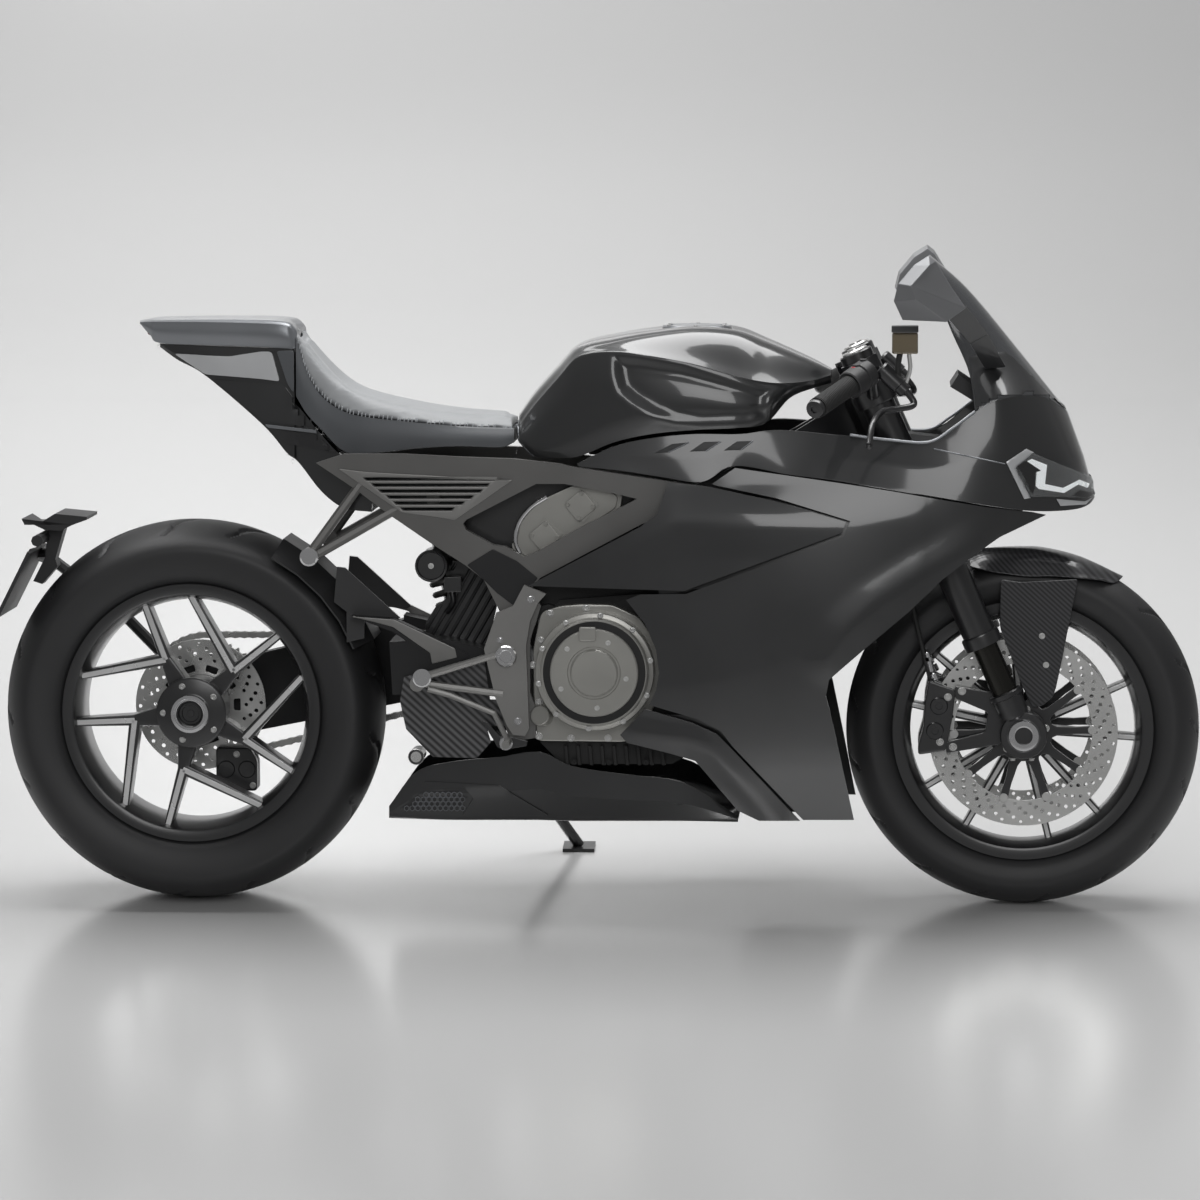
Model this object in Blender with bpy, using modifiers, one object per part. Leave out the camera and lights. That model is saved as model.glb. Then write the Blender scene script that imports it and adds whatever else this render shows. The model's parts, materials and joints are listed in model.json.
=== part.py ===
"""Faired sport motorcycle with a single-sided swingarm, leaning on its side stand.

Upright frame of the drawing: x forward from the rear axle, y to the left, z up from the ground.
The whole bike is then leaned to its left and set down with its bounding box on the origin.
"""
import math

import bmesh
import bpy
from mathutils import Matrix, Vector

# Main sizes, metres
WHEELBASE = 1.415
OVERALL_HEIGHT = 1.115
HEIGHT_PER_WHEELBASE = 1.115 / 1.415
GAP = 0.0003
OVERLAP = 0.002

# Wheels
REAR_RADIUS = 0.326
REAR_TYRE_HALF = 0.100
FRONT_RADIUS = 0.300
FRONT_TYRE_HALF = 0.060
BEAD_RADIUS = 0.2165
RIM_EDGE_RADIUS = 0.2205
RIM_SEAT_RADIUS = 0.2160
RIM_INNER_RADIUS = 0.2020
RIM_WELL_RADIUS = 0.1900
REAR_RIM_HALF = 0.082
FRONT_RIM_HALF = 0.0505
FLANGE_WIDTH = 0.0060
TYRE_STEPS = 40
RIM_STEPS = 48
WHEEL_STEPS = 24

# How the photo was taken: a long lens, from the right, a little from the front and from above
VIEW_YAW_DEG = 3.2
VIEW_PITCH_DEG = 5.5
VIEW_ROLL_DEG = -0.068
VIEW_DISTANCE_SHARE = 9.4 / 1.415
VIEW_TARGET_X_SHARE = 0.6941 / 1.415
VIEW_TARGET_Z_SHARE = 0.5149 / 1.415
VIEW_FOCAL_PX = 5500.7
VIEW_CENTRE_PX = 600.0

# How it parks
LEAN_DEG = 8.5
TYRE_CROWN_RADIUS = 0.085

# Steering
RAKE_DEG = 23.9
AXIS_OFFSET = 0.030
FORK_HALF = 0.105
FORK_TUBE_RADIUS = 0.0285
FORK_INNER_RADIUS = 0.0215
FORK_TOP = 0.705
FORK_COLLAR = 0.165
FORK_COLLAR_RADIUS = 0.033
FORK_COLLAR_LENGTH = 0.020
FORK_FOOT = 0.075
FORK_STEPS = 16

# Side-view rows of the body, metres across from the middle
ENGINE_HALF = 0.128
HEAD_HALF = 0.131
FRAME_IN = 0.140
FRAME_OUT = 0.158
SKIN = 0.003


def look():
    """Directions of the photo's camera: from target to camera, to its right, and up."""
    yaw = math.radians(VIEW_YAW_DEG)
    pitch = math.radians(VIEW_PITCH_DEG)
    roll = math.radians(VIEW_ROLL_DEG)
    back = Vector((math.sin(yaw) * math.cos(pitch), -math.cos(yaw) * math.cos(pitch), math.sin(pitch)))
    level = Vector((math.cos(yaw), math.sin(yaw), 0.0))
    rise = back.cross(level)
    right = level * math.cos(roll) + rise * math.sin(roll)
    up = rise * math.cos(roll) - level * math.sin(roll)
    return back, right, up


BACK, RIGHT, UP = look()
VIEW_TARGET = Vector((VIEW_TARGET_X_SHARE, 0.0, VIEW_TARGET_Z_SHARE)) * WHEELBASE
CAMERA = VIEW_TARGET + BACK * VIEW_DISTANCE_SHARE * WHEELBASE
RISE = OVERALL_HEIGHT / (HEIGHT_PER_WHEELBASE * WHEELBASE)


def spot(px, py, half, side=-1):
    """Point seen at a photo pixel, on the plane that lies half metres to the right, or its twin on the left."""
    ray = RIGHT * ((px - VIEW_CENTRE_PX) / VIEW_FOCAL_PX) - UP * ((py - VIEW_CENTRE_PX) / VIEW_FOCAL_PX) - BACK
    reach = (-half - CAMERA.y) / ray.y
    found = CAMERA + ray * reach
    return Vector((found.x, side * half, found.z * RISE))


def flat(pixels, half):
    """Side-view outline (x, z) of photo pixels that lie half metres to the right."""
    points = [spot(px, py, half) for px, py in pixels]
    return [(p.x, p.z) for p in points]


# Scene and helpers
for old in list(bpy.data.objects):
    bpy.data.objects.remove(old)
MAIN = bpy.data.collections.new("sport_motorcycle")
CUTTERS = bpy.data.collections.new("cutters")
bpy.context.scene.collection.children.link(MAIN)
bpy.context.scene.collection.children.link(CUTTERS)
CUTTERS.hide_render = True

FINISHES = {
    "satin_body": ((0.045, 0.046, 0.048), 0.32, 0.5),
    "frame_grey": ((0.085, 0.083, 0.080), 0.45, 0.6),
    "engine_metal": ((0.150, 0.145, 0.135), 0.40, 0.7),
    "black_metal": ((0.018, 0.018, 0.019), 0.40, 0.4),
    "steel": ((0.550, 0.550, 0.550), 0.30, 0.9),
    "silver": ((0.620, 0.620, 0.620), 0.25, 1.0),
    "tyre": ((0.020, 0.020, 0.021), 0.75, 0.0),
    "rubber": ((0.022, 0.022, 0.022), 0.70, 0.0),
    "plastic": ((0.025, 0.025, 0.026), 0.55, 0.0),
    "carbon": ((0.030, 0.030, 0.032), 0.35, 0.2),
    "leather": ((0.075, 0.080, 0.086), 0.60, 0.0),
    "screen": ((0.020, 0.021, 0.023), 0.08, 0.0),
    "lamp": ((0.800, 0.800, 0.820), 0.10, 0.0),
    "reservoir": ((0.090, 0.060, 0.030), 0.20, 0.0),
}


def finish_of(name):
    """Principled material with the named colour, roughness and metallic value."""
    found = bpy.data.materials.get(name)
    if found:
        return found
    colour, roughness, metallic = FINISHES[name]
    made = bpy.data.materials.new(name)
    made.use_nodes = True
    shader = made.node_tree.nodes["Principled BSDF"]
    shader.inputs["Base Color"].default_value = (*colour, 1.0)
    shader.inputs["Roughness"].default_value = roughness
    shader.inputs["Metallic"].default_value = metallic
    made.diffuse_color = (*colour, 1.0)
    return made


def put(mesh, name, operand=False):
    """Object of a mesh, in the object's collection or among the cutters."""
    made = bpy.data.objects.new(name, mesh)
    home = CUTTERS if operand else MAIN
    home.objects.link(made)
    if operand:
        made.display_type = "WIRE"
        made.hide_render = True
    return made


def shape(bm, name):
    """Mesh of a bmesh with its faces turned outward, put among the cutters until it is used."""
    bmesh.ops.recalc_face_normals(bm, faces=bm.faces)
    mesh = bpy.data.meshes.new(name)
    bm.to_mesh(mesh)
    bm.free()
    return put(mesh, name, operand=True)


def loft(name, rings):
    """Closed solid through rings of equally many points."""
    bm = bmesh.new()
    rows = [[bm.verts.new(p) for p in ring] for ring in rings]
    count = len(rows[0])
    for one, two in zip(rows, rows[1:]):
        for i in range(count):
            j = (i + 1) % count
            bm.faces.new((one[i], one[j], two[j], two[i]))
    bm.faces.new(rows[0][::-1])
    bm.faces.new(rows[-1])
    return shape(bm, name)


def prism(name, outline, y_one, y_two):
    """Plate of a side-view outline between two distances across."""
    rings = [[Vector((x, y, z)) for x, z in outline] for y in (y_one, y_two)]
    return loft(name, rings)


def plate(name, pixels, half_in, half_out, side=-1):
    """Plate on one side of the bike, its outline read from the photo at its outer face."""
    return prism(name, flat(pixels, half_out), side * half_in, side * half_out)


def box(name, low, high):
    """Block between two corners."""
    outline = [(low[0], low[2]), (high[0], low[2]), (high[0], high[2]), (low[0], high[2])]
    return prism(name, outline, low[1], high[1])


def rod(name, start, end, radius, end_radius=None, steps=12):
    """Round rod or cone between two points."""
    start = Vector(start)
    end = Vector(end)
    along = end - start
    bm = bmesh.new()
    last = radius if end_radius is None else end_radius
    bmesh.ops.create_cone(bm, cap_ends=True, segments=steps, radius1=radius, radius2=last, depth=along.length)
    turn = Vector((0, 0, 1)).rotation_difference(along.normalized()).to_matrix().to_4x4()
    if abs(along.normalized().y) > 0.999:
        turn = Matrix.Rotation(math.radians(-90.0 if along.y > 0 else 90.0), 4, "X")
    bmesh.ops.transform(bm, matrix=Matrix.Translation((start + end) / 2) @ turn, verts=bm.verts)
    return shape(bm, name)


def tube(name, path, radius, steps=8):
    """Bent round rod through the points of a path."""
    curve = bpy.data.curves.new(name, "CURVE")
    curve.dimensions = "3D"
    curve.bevel_depth = radius
    curve.bevel_resolution = steps // 4
    curve.use_fill_caps = True
    line = curve.splines.new("POLY")
    line.points.add(len(path) - 1)
    for point, place in zip(line.points, path):
        point.co = (*place, 1.0)
    holder = put(curve, name, operand=True)
    mesh = bpy.data.meshes.new_from_object(holder)
    bpy.data.objects.remove(holder)
    bm = bmesh.new()
    bm.from_mesh(mesh)
    bmesh.ops.remove_doubles(bm, verts=bm.verts, dist=0.00001)
    return shape(bm, name)


def ring(name, centre, profile, steps):
    """Ring turned round an axle along y: profile rows are (radius, y) and run round the section."""
    bm = bmesh.new()
    verts = [bm.verts.new((radius, 0.0, across)) for radius, across in profile]
    for one, two in zip(verts, verts[1:] + verts[:1]):
        bm.edges.new((one, two))
    mesh = bpy.data.meshes.new(name)
    bm.to_mesh(mesh)
    bm.free()
    made = put(mesh, name, operand=True)
    turn = made.modifiers.new("turn", "SCREW")
    turn.steps = steps
    turn.render_steps = steps
    turn.use_merge_vertices = True
    turn.merge_threshold = 0.0001
    turn.use_normal_calculate = True
    bpy.context.view_layer.update()
    solid = bpy.data.meshes.new_from_object(made.evaluated_get(bpy.context.evaluated_depsgraph_get()))
    bpy.data.objects.remove(made)
    bm = bmesh.new()
    bm.from_mesh(solid)
    bmesh.ops.remove_doubles(bm, verts=bm.verts, dist=0.00001)
    tip = Matrix.Rotation(math.radians(-90.0), 4, "X")
    drop = Matrix.Rotation(math.radians(90.0), 4, "Y")
    bmesh.ops.transform(bm, matrix=Matrix.Translation(centre) @ drop @ tip, verts=bm.verts)
    return shape(bm, name)


def turned(name, centre, rows, steps=WHEEL_STEPS):
    """Solid turned round an axle along y: rows are (radius, y), with a flat face at each end."""
    rings = []
    for radius, across in rows:
        circle = []
        for step in range(steps):
            angle = 2.0 * math.pi * step / steps
            circle.append(Vector((centre[0] + radius * math.sin(angle), across, centre[1] - radius * math.cos(angle))))
        rings.append(circle)
    return loft(name, rings)


def washer(name, centre, outer, inner, y_one, y_two, steps=WHEEL_STEPS):
    """Flat ring round an axle along y."""
    profile = [(outer, y_two), (outer, y_one), (inner, y_one), (inner, y_two)]
    return ring(name, Vector((centre[0], 0.0, centre[1])), profile, steps)


def join(target, *others):
    """Adds solids to a solid."""
    for other in others:
        step = target.modifiers.new("join", "BOOLEAN")
        step.operation = "UNION"
        step.solver = "EXACT"
        step.object = other
    return target


def cut(target, *others):
    """Takes solids away from a solid."""
    for other in others:
        step = target.modifiers.new("cut", "BOOLEAN")
        step.operation = "DIFFERENCE"
        step.solver = "EXACT"
        step.object = other
    return target


def keep(target, other):
    """Keeps what two solids share."""
    step = target.modifiers.new("keep", "BOOLEAN")
    step.operation = "INTERSECT"
    step.solver = "EXACT"
    step.object = other
    return target


BODIES = {"chassis": [], "steering": [], "front_wheel": [], "rear_wheel": [], "side_stand": []}


def node(made, name, body, finish):
    """Makes a finished solid one sub-part of the bike."""
    CUTTERS.objects.unlink(made)
    MAIN.objects.link(made)
    made.name = name
    made.display_type = "SOLID"
    made.hide_render = False
    made.data.materials.clear()
    made.data.materials.append(finish_of(finish))
    BODIES[body].append(made)
    return made


def both(build):
    """Builds a piece for the right side and its twin for the left."""
    for word, side in (("right", -1), ("left", 1)):
        build(word, side)


REAR_AXLE = (0.0, REAR_RADIUS)
FRONT_AXLE = (WHEELBASE, FRONT_RADIUS)

# Rear tyre section, (radius, across) on one half
REAR_TYRE_OUTER = (
    (0.2168, 0.0755), (0.2212, 0.0757), (0.2360, 0.0905), (0.2600, 0.0990), (0.2820, 0.1000),
    (0.2990, 0.0850), (0.3130, 0.0600), (0.3225, 0.0310), (REAR_RADIUS, 0.0000))
REAR_TYRE_INNER = ((0.3150, 0.0000), (0.3020, 0.0560), (0.2800, 0.0860), (0.2560, 0.0880), (0.2168, 0.0560))
FRONT_TYRE_OUTER = (
    (0.2168, 0.0440), (0.2212, 0.0442), (0.2350, 0.0545), (0.2560, 0.0600),
    (0.2730, 0.0540), (0.2870, 0.0395), (0.2965, 0.0205), (FRONT_RADIUS, 0.0000))
FRONT_TYRE_INNER = ((0.2900, 0.0000), (0.2760, 0.0370), (0.2540, 0.0500), (0.2168, 0.0320))


def mirrored_section(outer, inner):
    """Whole section of a ring from its half: outside from one bead to the other, then the inside back."""
    right = [(r, -a) for r, a in outer]
    left = [(r, a) for r, a in reversed(outer[:-1])]
    back = [(r, a) for r, a in reversed(inner[1:])]
    fore = [(r, -a) for r, a in inner]
    return right + left + back + fore


def tyre(name, body, centre, outer, inner):
    """Hollow tyre, open towards the rim."""
    section = mirrored_section(outer, inner)
    node(ring(name, Vector((centre[0], 0.0, centre[1])), section, TYRE_STEPS), name, body, "tyre")


tyre("rear_tyre", "rear_wheel", REAR_AXLE, REAR_TYRE_OUTER, REAR_TYRE_INNER)
tyre("front_tyre", "front_wheel", FRONT_AXLE, FRONT_TYRE_OUTER, FRONT_TYRE_INNER)


def rim_ring(name, centre, half):
    """Barrel of a rim with an edge on each side."""
    seat = half - FLANGE_WIDTH
    section = [
        (RIM_EDGE_RADIUS, -half), (RIM_EDGE_RADIUS, -seat), (RIM_SEAT_RADIUS, -seat), (RIM_SEAT_RADIUS, seat),
        (RIM_EDGE_RADIUS, seat), (RIM_EDGE_RADIUS, half), (RIM_INNER_RADIUS, half),
        (RIM_WELL_RADIUS, half / 2), (RIM_WELL_RADIUS, -half / 2), (RIM_INNER_RADIUS, -half)]
    return ring(name, Vector((centre[0], 0.0, centre[1])), section, RIM_STEPS)


def around(centre, radius, angle_deg):
    """Side-view point at a radius and angle from a centre, angle counted from forward to up."""
    angle = math.radians(angle_deg)
    return (centre[0] + radius * math.cos(angle), centre[1] + radius * math.sin(angle))


def arm(name, one, two, wide_one, wide_two, y_one, y_two):
    """Straight spoke between two side-view points."""
    along = Vector((two[0] - one[0], two[1] - one[1])).normalized()
    over = Vector((-along.y, along.x))
    outline = [
        (one[0] - over.x * wide_one, one[1] - over.y * wide_one),
        (two[0] - over.x * wide_two, two[1] - over.y * wide_two),
        (two[0] + over.x * wide_two, two[1] + over.y * wide_two),
        (one[0] + over.x * wide_one, one[1] + over.y * wide_one)]
    return prism(name, outline, y_one, y_two)


# Rear wheel: hub, five uneven V spokes and the shaft that runs through the swingarm
SHAFT_RADIUS = 0.0290
SHAFT_END = 0.190
REAR_HUB_RADIUS = 0.0600
REAR_HUB_IN = 0.0450
REAR_HUB_OUT = -0.0800
REAR_NUT_RADIUS = 0.0310
REAR_NUT_OUT = -0.0980
REAR_NUT_HOLE = 0.0200
REAR_NUT_DEPTH = 0.030
SEAT_RADIUS = 0.0446
SEAT_END = 0.0560
REAR_VERTEX_RADIUS = 0.1000
REAR_VERTEX_DEG = 44.5
REAR_ARM_DEGS = (-3.0, 45.5)
REAR_ARM_END = 0.1960
REAR_ARM_WIDE = 0.0085
REAR_ARM_THIN = 0.0060
REAR_SPOKE_IN = -0.0180
REAR_SPOKE_OUT = -0.0640
REAR_ROOT_RADIUS = 0.0450
SPOKE_SETS = 5


def rear_rim():
    """Rear rim with hub and shaft."""
    made = rim_ring("rear_rim", REAR_AXLE, REAR_RIM_HALF)
    made_hub = turned("rear_hub", REAR_AXLE, (
        (REAR_NUT_HOLE, REAR_NUT_OUT + REAR_NUT_DEPTH), (REAR_NUT_HOLE, REAR_NUT_OUT), (REAR_NUT_RADIUS, REAR_NUT_OUT),
        (REAR_NUT_RADIUS, REAR_HUB_OUT), (REAR_HUB_RADIUS, REAR_HUB_OUT), (REAR_HUB_RADIUS, REAR_HUB_IN),
        (SEAT_RADIUS, REAR_HUB_IN), (SEAT_RADIUS, SEAT_END), (SHAFT_RADIUS, SEAT_END), (SHAFT_RADIUS, SHAFT_END)))
    for step in range(SPOKE_SETS):
        angle = REAR_VERTEX_DEG + step * 360.0 / SPOKE_SETS
        vertex = around(REAR_AXLE, REAR_VERTEX_RADIUS, angle)
        root = around(REAR_AXLE, REAR_ROOT_RADIUS, angle)
        end = around(REAR_AXLE, REAR_VERTEX_RADIUS + REAR_ARM_THIN, angle)
        join(made_hub, arm("root", root, end, REAR_ARM_WIDE * 2.0, REAR_ARM_WIDE, REAR_SPOKE_IN, REAR_SPOKE_OUT))
        for turn in REAR_ARM_DEGS:
            tip = around(REAR_AXLE, REAR_ARM_END, angle + turn)
            join(made_hub, arm("arm", vertex, tip, REAR_ARM_WIDE, REAR_ARM_THIN, REAR_SPOKE_IN - GAP * 3, REAR_SPOKE_OUT + GAP * 3))
    join(made, made_hub)
    node(made, "rear_rim", "rear_wheel", "black_metal")


rear_rim()

REAR_DISC_RADIUS = 0.113
REAR_DISC_IN = 0.0500
REAR_DISC_OUT = 0.0550
REAR_DISC_BORE = SEAT_RADIUS + GAP
SPROCKET_TEETH = 40
SPROCKET_TIP = 0.1010
SPROCKET_ROOT = 0.0950
SPROCKET_IN = 0.1650
SPROCKET_OUT = 0.1710
SPROCKET_BORE = SHAFT_RADIUS + GAP

node(washer("rear_disc", REAR_AXLE, REAR_DISC_RADIUS, REAR_DISC_BORE, REAR_DISC_IN, REAR_DISC_OUT),
     "rear_disc", "rear_wheel", "steel")


def sprocket():
    """Toothed wheel that the chain runs round."""
    outline = []
    for step in range(SPROCKET_TEETH):
        start = 360.0 * step / SPROCKET_TEETH
        tooth = 360.0 / SPROCKET_TEETH
        outline.append(around(REAR_AXLE, SPROCKET_TIP, start + tooth * 0.40))
        outline.append(around(REAR_AXLE, SPROCKET_TIP, start + tooth * 0.60))
        outline.append(around(REAR_AXLE, SPROCKET_ROOT, start + tooth * 0.90))
    made = prism("rear_sprocket", outline, SPROCKET_IN, SPROCKET_OUT)
    bore = rod("sprocket_bore", (0, SPROCKET_IN - OVERLAP, REAR_RADIUS), (0, SPROCKET_OUT + OVERLAP, REAR_RADIUS),
               SPROCKET_BORE, steps=WHEEL_STEPS)
    cut(made, bore)
    node(made, "rear_sprocket", "rear_wheel", "steel")


sprocket()

# Front wheel: hub, ten slim spokes in five pairs, two discs on star-shaped carriers
AXLE_RADIUS = 0.0125
FRONT_BORE_RADIUS = 0.0131
FRONT_HUB_RADIUS = 0.0340
FRONT_HUB_HALF = 0.0620
FRONT_PAIR_DEG = 9.8
FRONT_PAIR_HALF_DEG = 14.2
FRONT_SPOKE_WIDE = 0.0065
FRONT_SPOKE_THIN = 0.0055
FRONT_SPOKE_HALF = 0.0160
FRONT_SPOKE_ROOT = 0.0200
FRONT_SPOKE_END = 0.1960
DISC_RADIUS = 0.160
DISC_INNER = 0.116
DISC_IN = 0.0623
DISC_OUT = 0.0673
CARRIER_RING = 0.0440
CARRIER_ARMS = 10
CARRIER_FIRST_DEG = 2.0
CARRIER_ARM_WIDE = 0.0060
CARRIER_TIP = 0.1180


def front_rim():
    """Front rim with hub and spokes."""
    made = rim_ring("front_rim", FRONT_AXLE, FRONT_RIM_HALF)
    hub = rod("front_hub", (WHEELBASE, -FRONT_HUB_HALF, FRONT_RADIUS), (WHEELBASE, FRONT_HUB_HALF, FRONT_RADIUS),
              FRONT_HUB_RADIUS, steps=WHEEL_STEPS)
    for step in range(SPOKE_SETS):
        middle = FRONT_PAIR_DEG + step * 360.0 / SPOKE_SETS
        for turn in (-FRONT_PAIR_HALF_DEG, FRONT_PAIR_HALF_DEG):
            root = around(FRONT_AXLE, FRONT_SPOKE_ROOT, middle + turn)
            tip = around(FRONT_AXLE, FRONT_SPOKE_END, middle + turn)
            join(hub, arm("spoke", root, tip, FRONT_SPOKE_WIDE, FRONT_SPOKE_THIN, -FRONT_SPOKE_HALF, FRONT_SPOKE_HALF))
    join(made, hub)
    bore = rod("front_bore", (WHEELBASE, -FRONT_RIM_HALF * 2, FRONT_RADIUS), (WHEELBASE, FRONT_RIM_HALF * 2, FRONT_RADIUS),
               FRONT_BORE_RADIUS, steps=WHEEL_STEPS)
    cut(made, bore)
    node(made, "front_rim", "front_wheel", "black_metal")


front_rim()


def front_disc(word, side):
    """Brake disc with the carrier that holds it."""
    y_one = side * DISC_IN
    y_two = side * DISC_OUT
    made = washer("front_disc", FRONT_AXLE, DISC_RADIUS, DISC_INNER, y_one, y_two, steps=36)
    star = washer("carrier", FRONT_AXLE, CARRIER_RING, FRONT_BORE_RADIUS * 1.4, y_one + side * GAP, y_two - side * GAP)
    for step in range(CARRIER_ARMS):
        angle = CARRIER_FIRST_DEG + step * 360.0 / CARRIER_ARMS
        root = around(FRONT_AXLE, CARRIER_RING - OVERLAP * 2, angle)
        tip = around(FRONT_AXLE, CARRIER_TIP, angle)
        join(star, arm("carrier_arm", root, tip, CARRIER_ARM_WIDE, CARRIER_ARM_WIDE, y_one + side * GAP * 2, y_two - side * GAP * 2))
    join(made, star)
    node(made, f"front_disc_{word}", "front_wheel", "steel")


both(front_disc)

# Steering: yokes, two fork legs, bars, fender and calipers
RAKE = math.radians(RAKE_DEG)
FORK_UP = Vector((-math.sin(RAKE), 0.0, math.cos(RAKE)))
FORK_FORE = Vector((math.cos(RAKE), 0.0, math.sin(RAKE)))
AXLE_POINT = Vector((WHEELBASE, 0.0, FRONT_RADIUS))


def on_fork(height, across, fore=0.0):
    """Point at a height up the fork line, across, and ahead of it."""
    return AXLE_POINT + FORK_UP * height + FORK_FORE * fore + Vector((0.0, across, 0.0))


YOKE_LOW = (0.425, 0.460)
YOKE_HIGH = (0.668, 0.690)
YOKE_OUTLINE = (
    # ahead of the fork line, across
    (-0.040, -0.014), (-0.016, -0.040), (-0.016, -0.070), (-0.032, -0.090), (-0.032, -0.118), (-0.018, -0.142),
    (0.018, -0.142), (0.032, -0.105), (0.014, -0.050), (0.014, 0.050), (0.032, 0.105), (0.018, 0.142), (-0.018, 0.142),
    (-0.032, 0.118), (-0.032, 0.090), (-0.016, 0.070), (-0.016, 0.040), (-0.040, 0.014))
STEM_RADIUS = 0.0130
HEAD_BORE_RADIUS = 0.0138
HEAD_RADIUS = 0.0290
HEAD_LOW = 0.4630
HEAD_HIGH = 0.6650


def yokes():
    """Upper and lower yoke joined by the stem."""
    made, top = [loft("yoke", [[on_fork(height, across, fore) for fore, across in YOKE_OUTLINE] for height in heights])
                 for heights in (YOKE_LOW, YOKE_HIGH)]
    stem = rod("stem", on_fork(YOKE_LOW[0] + OVERLAP, 0, -AXIS_OFFSET), on_fork(YOKE_HIGH[1] + OVERLAP * 3, 0, -AXIS_OFFSET),
               STEM_RADIUS, steps=FORK_STEPS)
    join(made, top, stem)
    for side in (-1, 1):
        bore = rod("fork_bore", on_fork(YOKE_LOW[0] - OVERLAP * 5, side * FORK_HALF), on_fork(FORK_TOP, side * FORK_HALF),
                   FORK_TUBE_RADIUS + GAP, steps=FORK_STEPS)
        cut(made, bore)
    node(made, "yokes", "steering", "black_metal")


yokes()

FOOT_RADIUS = 0.0400
FOOT_IN = 0.0780
FOOT_OUT = 0.1240
FOOT_LEG_RADIUS = 0.0250
LUG_IN = 0.0790
LUG_OUT = 0.0890
AXLE_END = 0.1300
NUT_RADIUS = 0.0250
LUG_TOP_PX = ((955, 686), (992, 692), (1010, 716), (1000, 744), (946, 753), (946, 742), (985, 732), (988, 712), (955, 698))


def fork(word, side):
    """Upside-down fork leg with its foot, axle clamp and caliper lugs."""
    across = side * FORK_HALF
    made = rod("leg", on_fork(FORK_COLLAR, across), on_fork(FORK_TOP, across), FORK_TUBE_RADIUS, steps=FORK_STEPS)
    collar = rod("collar", on_fork(FORK_COLLAR, across), on_fork(FORK_COLLAR + FORK_COLLAR_LENGTH, across),
                 FORK_COLLAR_RADIUS, steps=FORK_STEPS)
    inner = rod("inner", on_fork(FORK_FOOT - OVERLAP, across), on_fork(FORK_COLLAR + OVERLAP, across),
                FORK_INNER_RADIUS, steps=FORK_STEPS)
    casting = rod("casting", on_fork(0.0, across), on_fork(FORK_FOOT, across), FOOT_LEG_RADIUS, steps=FORK_STEPS)
    clamp = rod("clamp", (WHEELBASE, side * FOOT_IN, FRONT_RADIUS), (WHEELBASE, side * FOOT_OUT, FRONT_RADIUS),
                FOOT_RADIUS, steps=WHEEL_STEPS)
    nut = rod("axle_nut", (WHEELBASE, side * (FOOT_OUT - OVERLAP), FRONT_RADIUS), (WHEELBASE, side * AXLE_END, FRONT_RADIUS),
              NUT_RADIUS, steps=WHEEL_STEPS)
    lug = plate("lug", LUG_TOP_PX, LUG_IN, LUG_OUT, side)
    join(made, collar, inner, casting, clamp, nut, lug)
    reach = -(FOOT_IN + OVERLAP) if side < 0 else FOOT_IN + OVERLAP
    stop = -GAP / 2 if side < 0 else GAP / 2
    axle = rod("axle", (WHEELBASE, reach, FRONT_RADIUS), (WHEELBASE, stop, FRONT_RADIUS), AXLE_RADIUS, steps=WHEEL_STEPS)
    join(made, axle)
    node(made, f"fork_{word}", "steering", "black_metal")


both(fork)

CALIPER_PX = ((929, 680), (956, 690), (952, 720), (946, 751), (918, 755), (918, 746), (923, 729), (925, 701))
CALIPER_IN = 0.0440
CALIPER_OUT = 0.0900
CALIPER_LUG = LUG_OUT + GAP
CALIPER_SLOT = (0.0570, 0.0726)
CALIPER_SLOT_RADIUS = 0.168
HOSE_PX = ((932, 686), (923, 650), (914, 612), (909, 575), (910, 540), (914, 509.5))
HOSE_HALVES = (0.068, 0.068, 0.070, 0.070, 0.062, 0.050)
HOSE_RADIUS = 0.0042
HOSE_FITTING_PX = ((936, 680), (926, 656))
HOSE_FITTING_RADIUS = 0.0075


def caliper(word, side):
    """Front brake caliper that reaches round the disc's edge, with its hose up to the lower yoke."""
    made = plate("caliper", CALIPER_PX, CALIPER_IN, CALIPER_OUT, side)
    hose = tube("hose", [spot(*place, half, side) for place, half in zip(HOSE_PX, HOSE_HALVES)], HOSE_RADIUS)
    fitting = rod("fitting", *[spot(*place, HOSE_HALVES[0], side) for place in HOSE_FITTING_PX],
                  HOSE_FITTING_RADIUS, steps=FORK_STEPS)
    join(made, hose, fitting)
    slot = rod("slot", (WHEELBASE, side * CALIPER_SLOT[0], FRONT_RADIUS), (WHEELBASE, side * CALIPER_SLOT[1], FRONT_RADIUS),
               CALIPER_SLOT_RADIUS, steps=WHEEL_STEPS * 2)
    lug = plate("lug_room", grown(LUG_TOP_PX), LUG_IN - GAP, LUG_OUT + GAP, side)
    cut(made, slot, lug)
    node(made, f"caliper_{word}", "steering", "black_metal")


def grown(pixels, by=0.6):
    """Outline a little larger all round, so that a piece fits in it with a gap."""
    middle_x = sum(p[0] for p in pixels) / len(pixels)
    middle_y = sum(p[1] for p in pixels) / len(pixels)
    count = len(pixels)
    area = sum(pixels[i][0] * pixels[(i + 1) % count][1] - pixels[(i + 1) % count][0] * pixels[i][1] for i in range(count))
    turn = 1.0 if area > 0 else -1.0
    out = []
    for i in range(count):
        a = Vector(pixels[i - 1])
        b = Vector(pixels[i])
        c = Vector(pixels[(i + 1) % count])
        one = (b - a).normalized()
        two = (c - b).normalized()
        normal_one = Vector((one.y, -one.x)) * turn
        normal_two = Vector((two.y, -two.x)) * turn
        mean = (normal_one + normal_two)
        mean = mean / max(0.3, mean.dot(normal_one))
        out.append((b.x + mean.x * by, b.y + mean.y * by))
    return tuple(out)


both(caliper)

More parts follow.
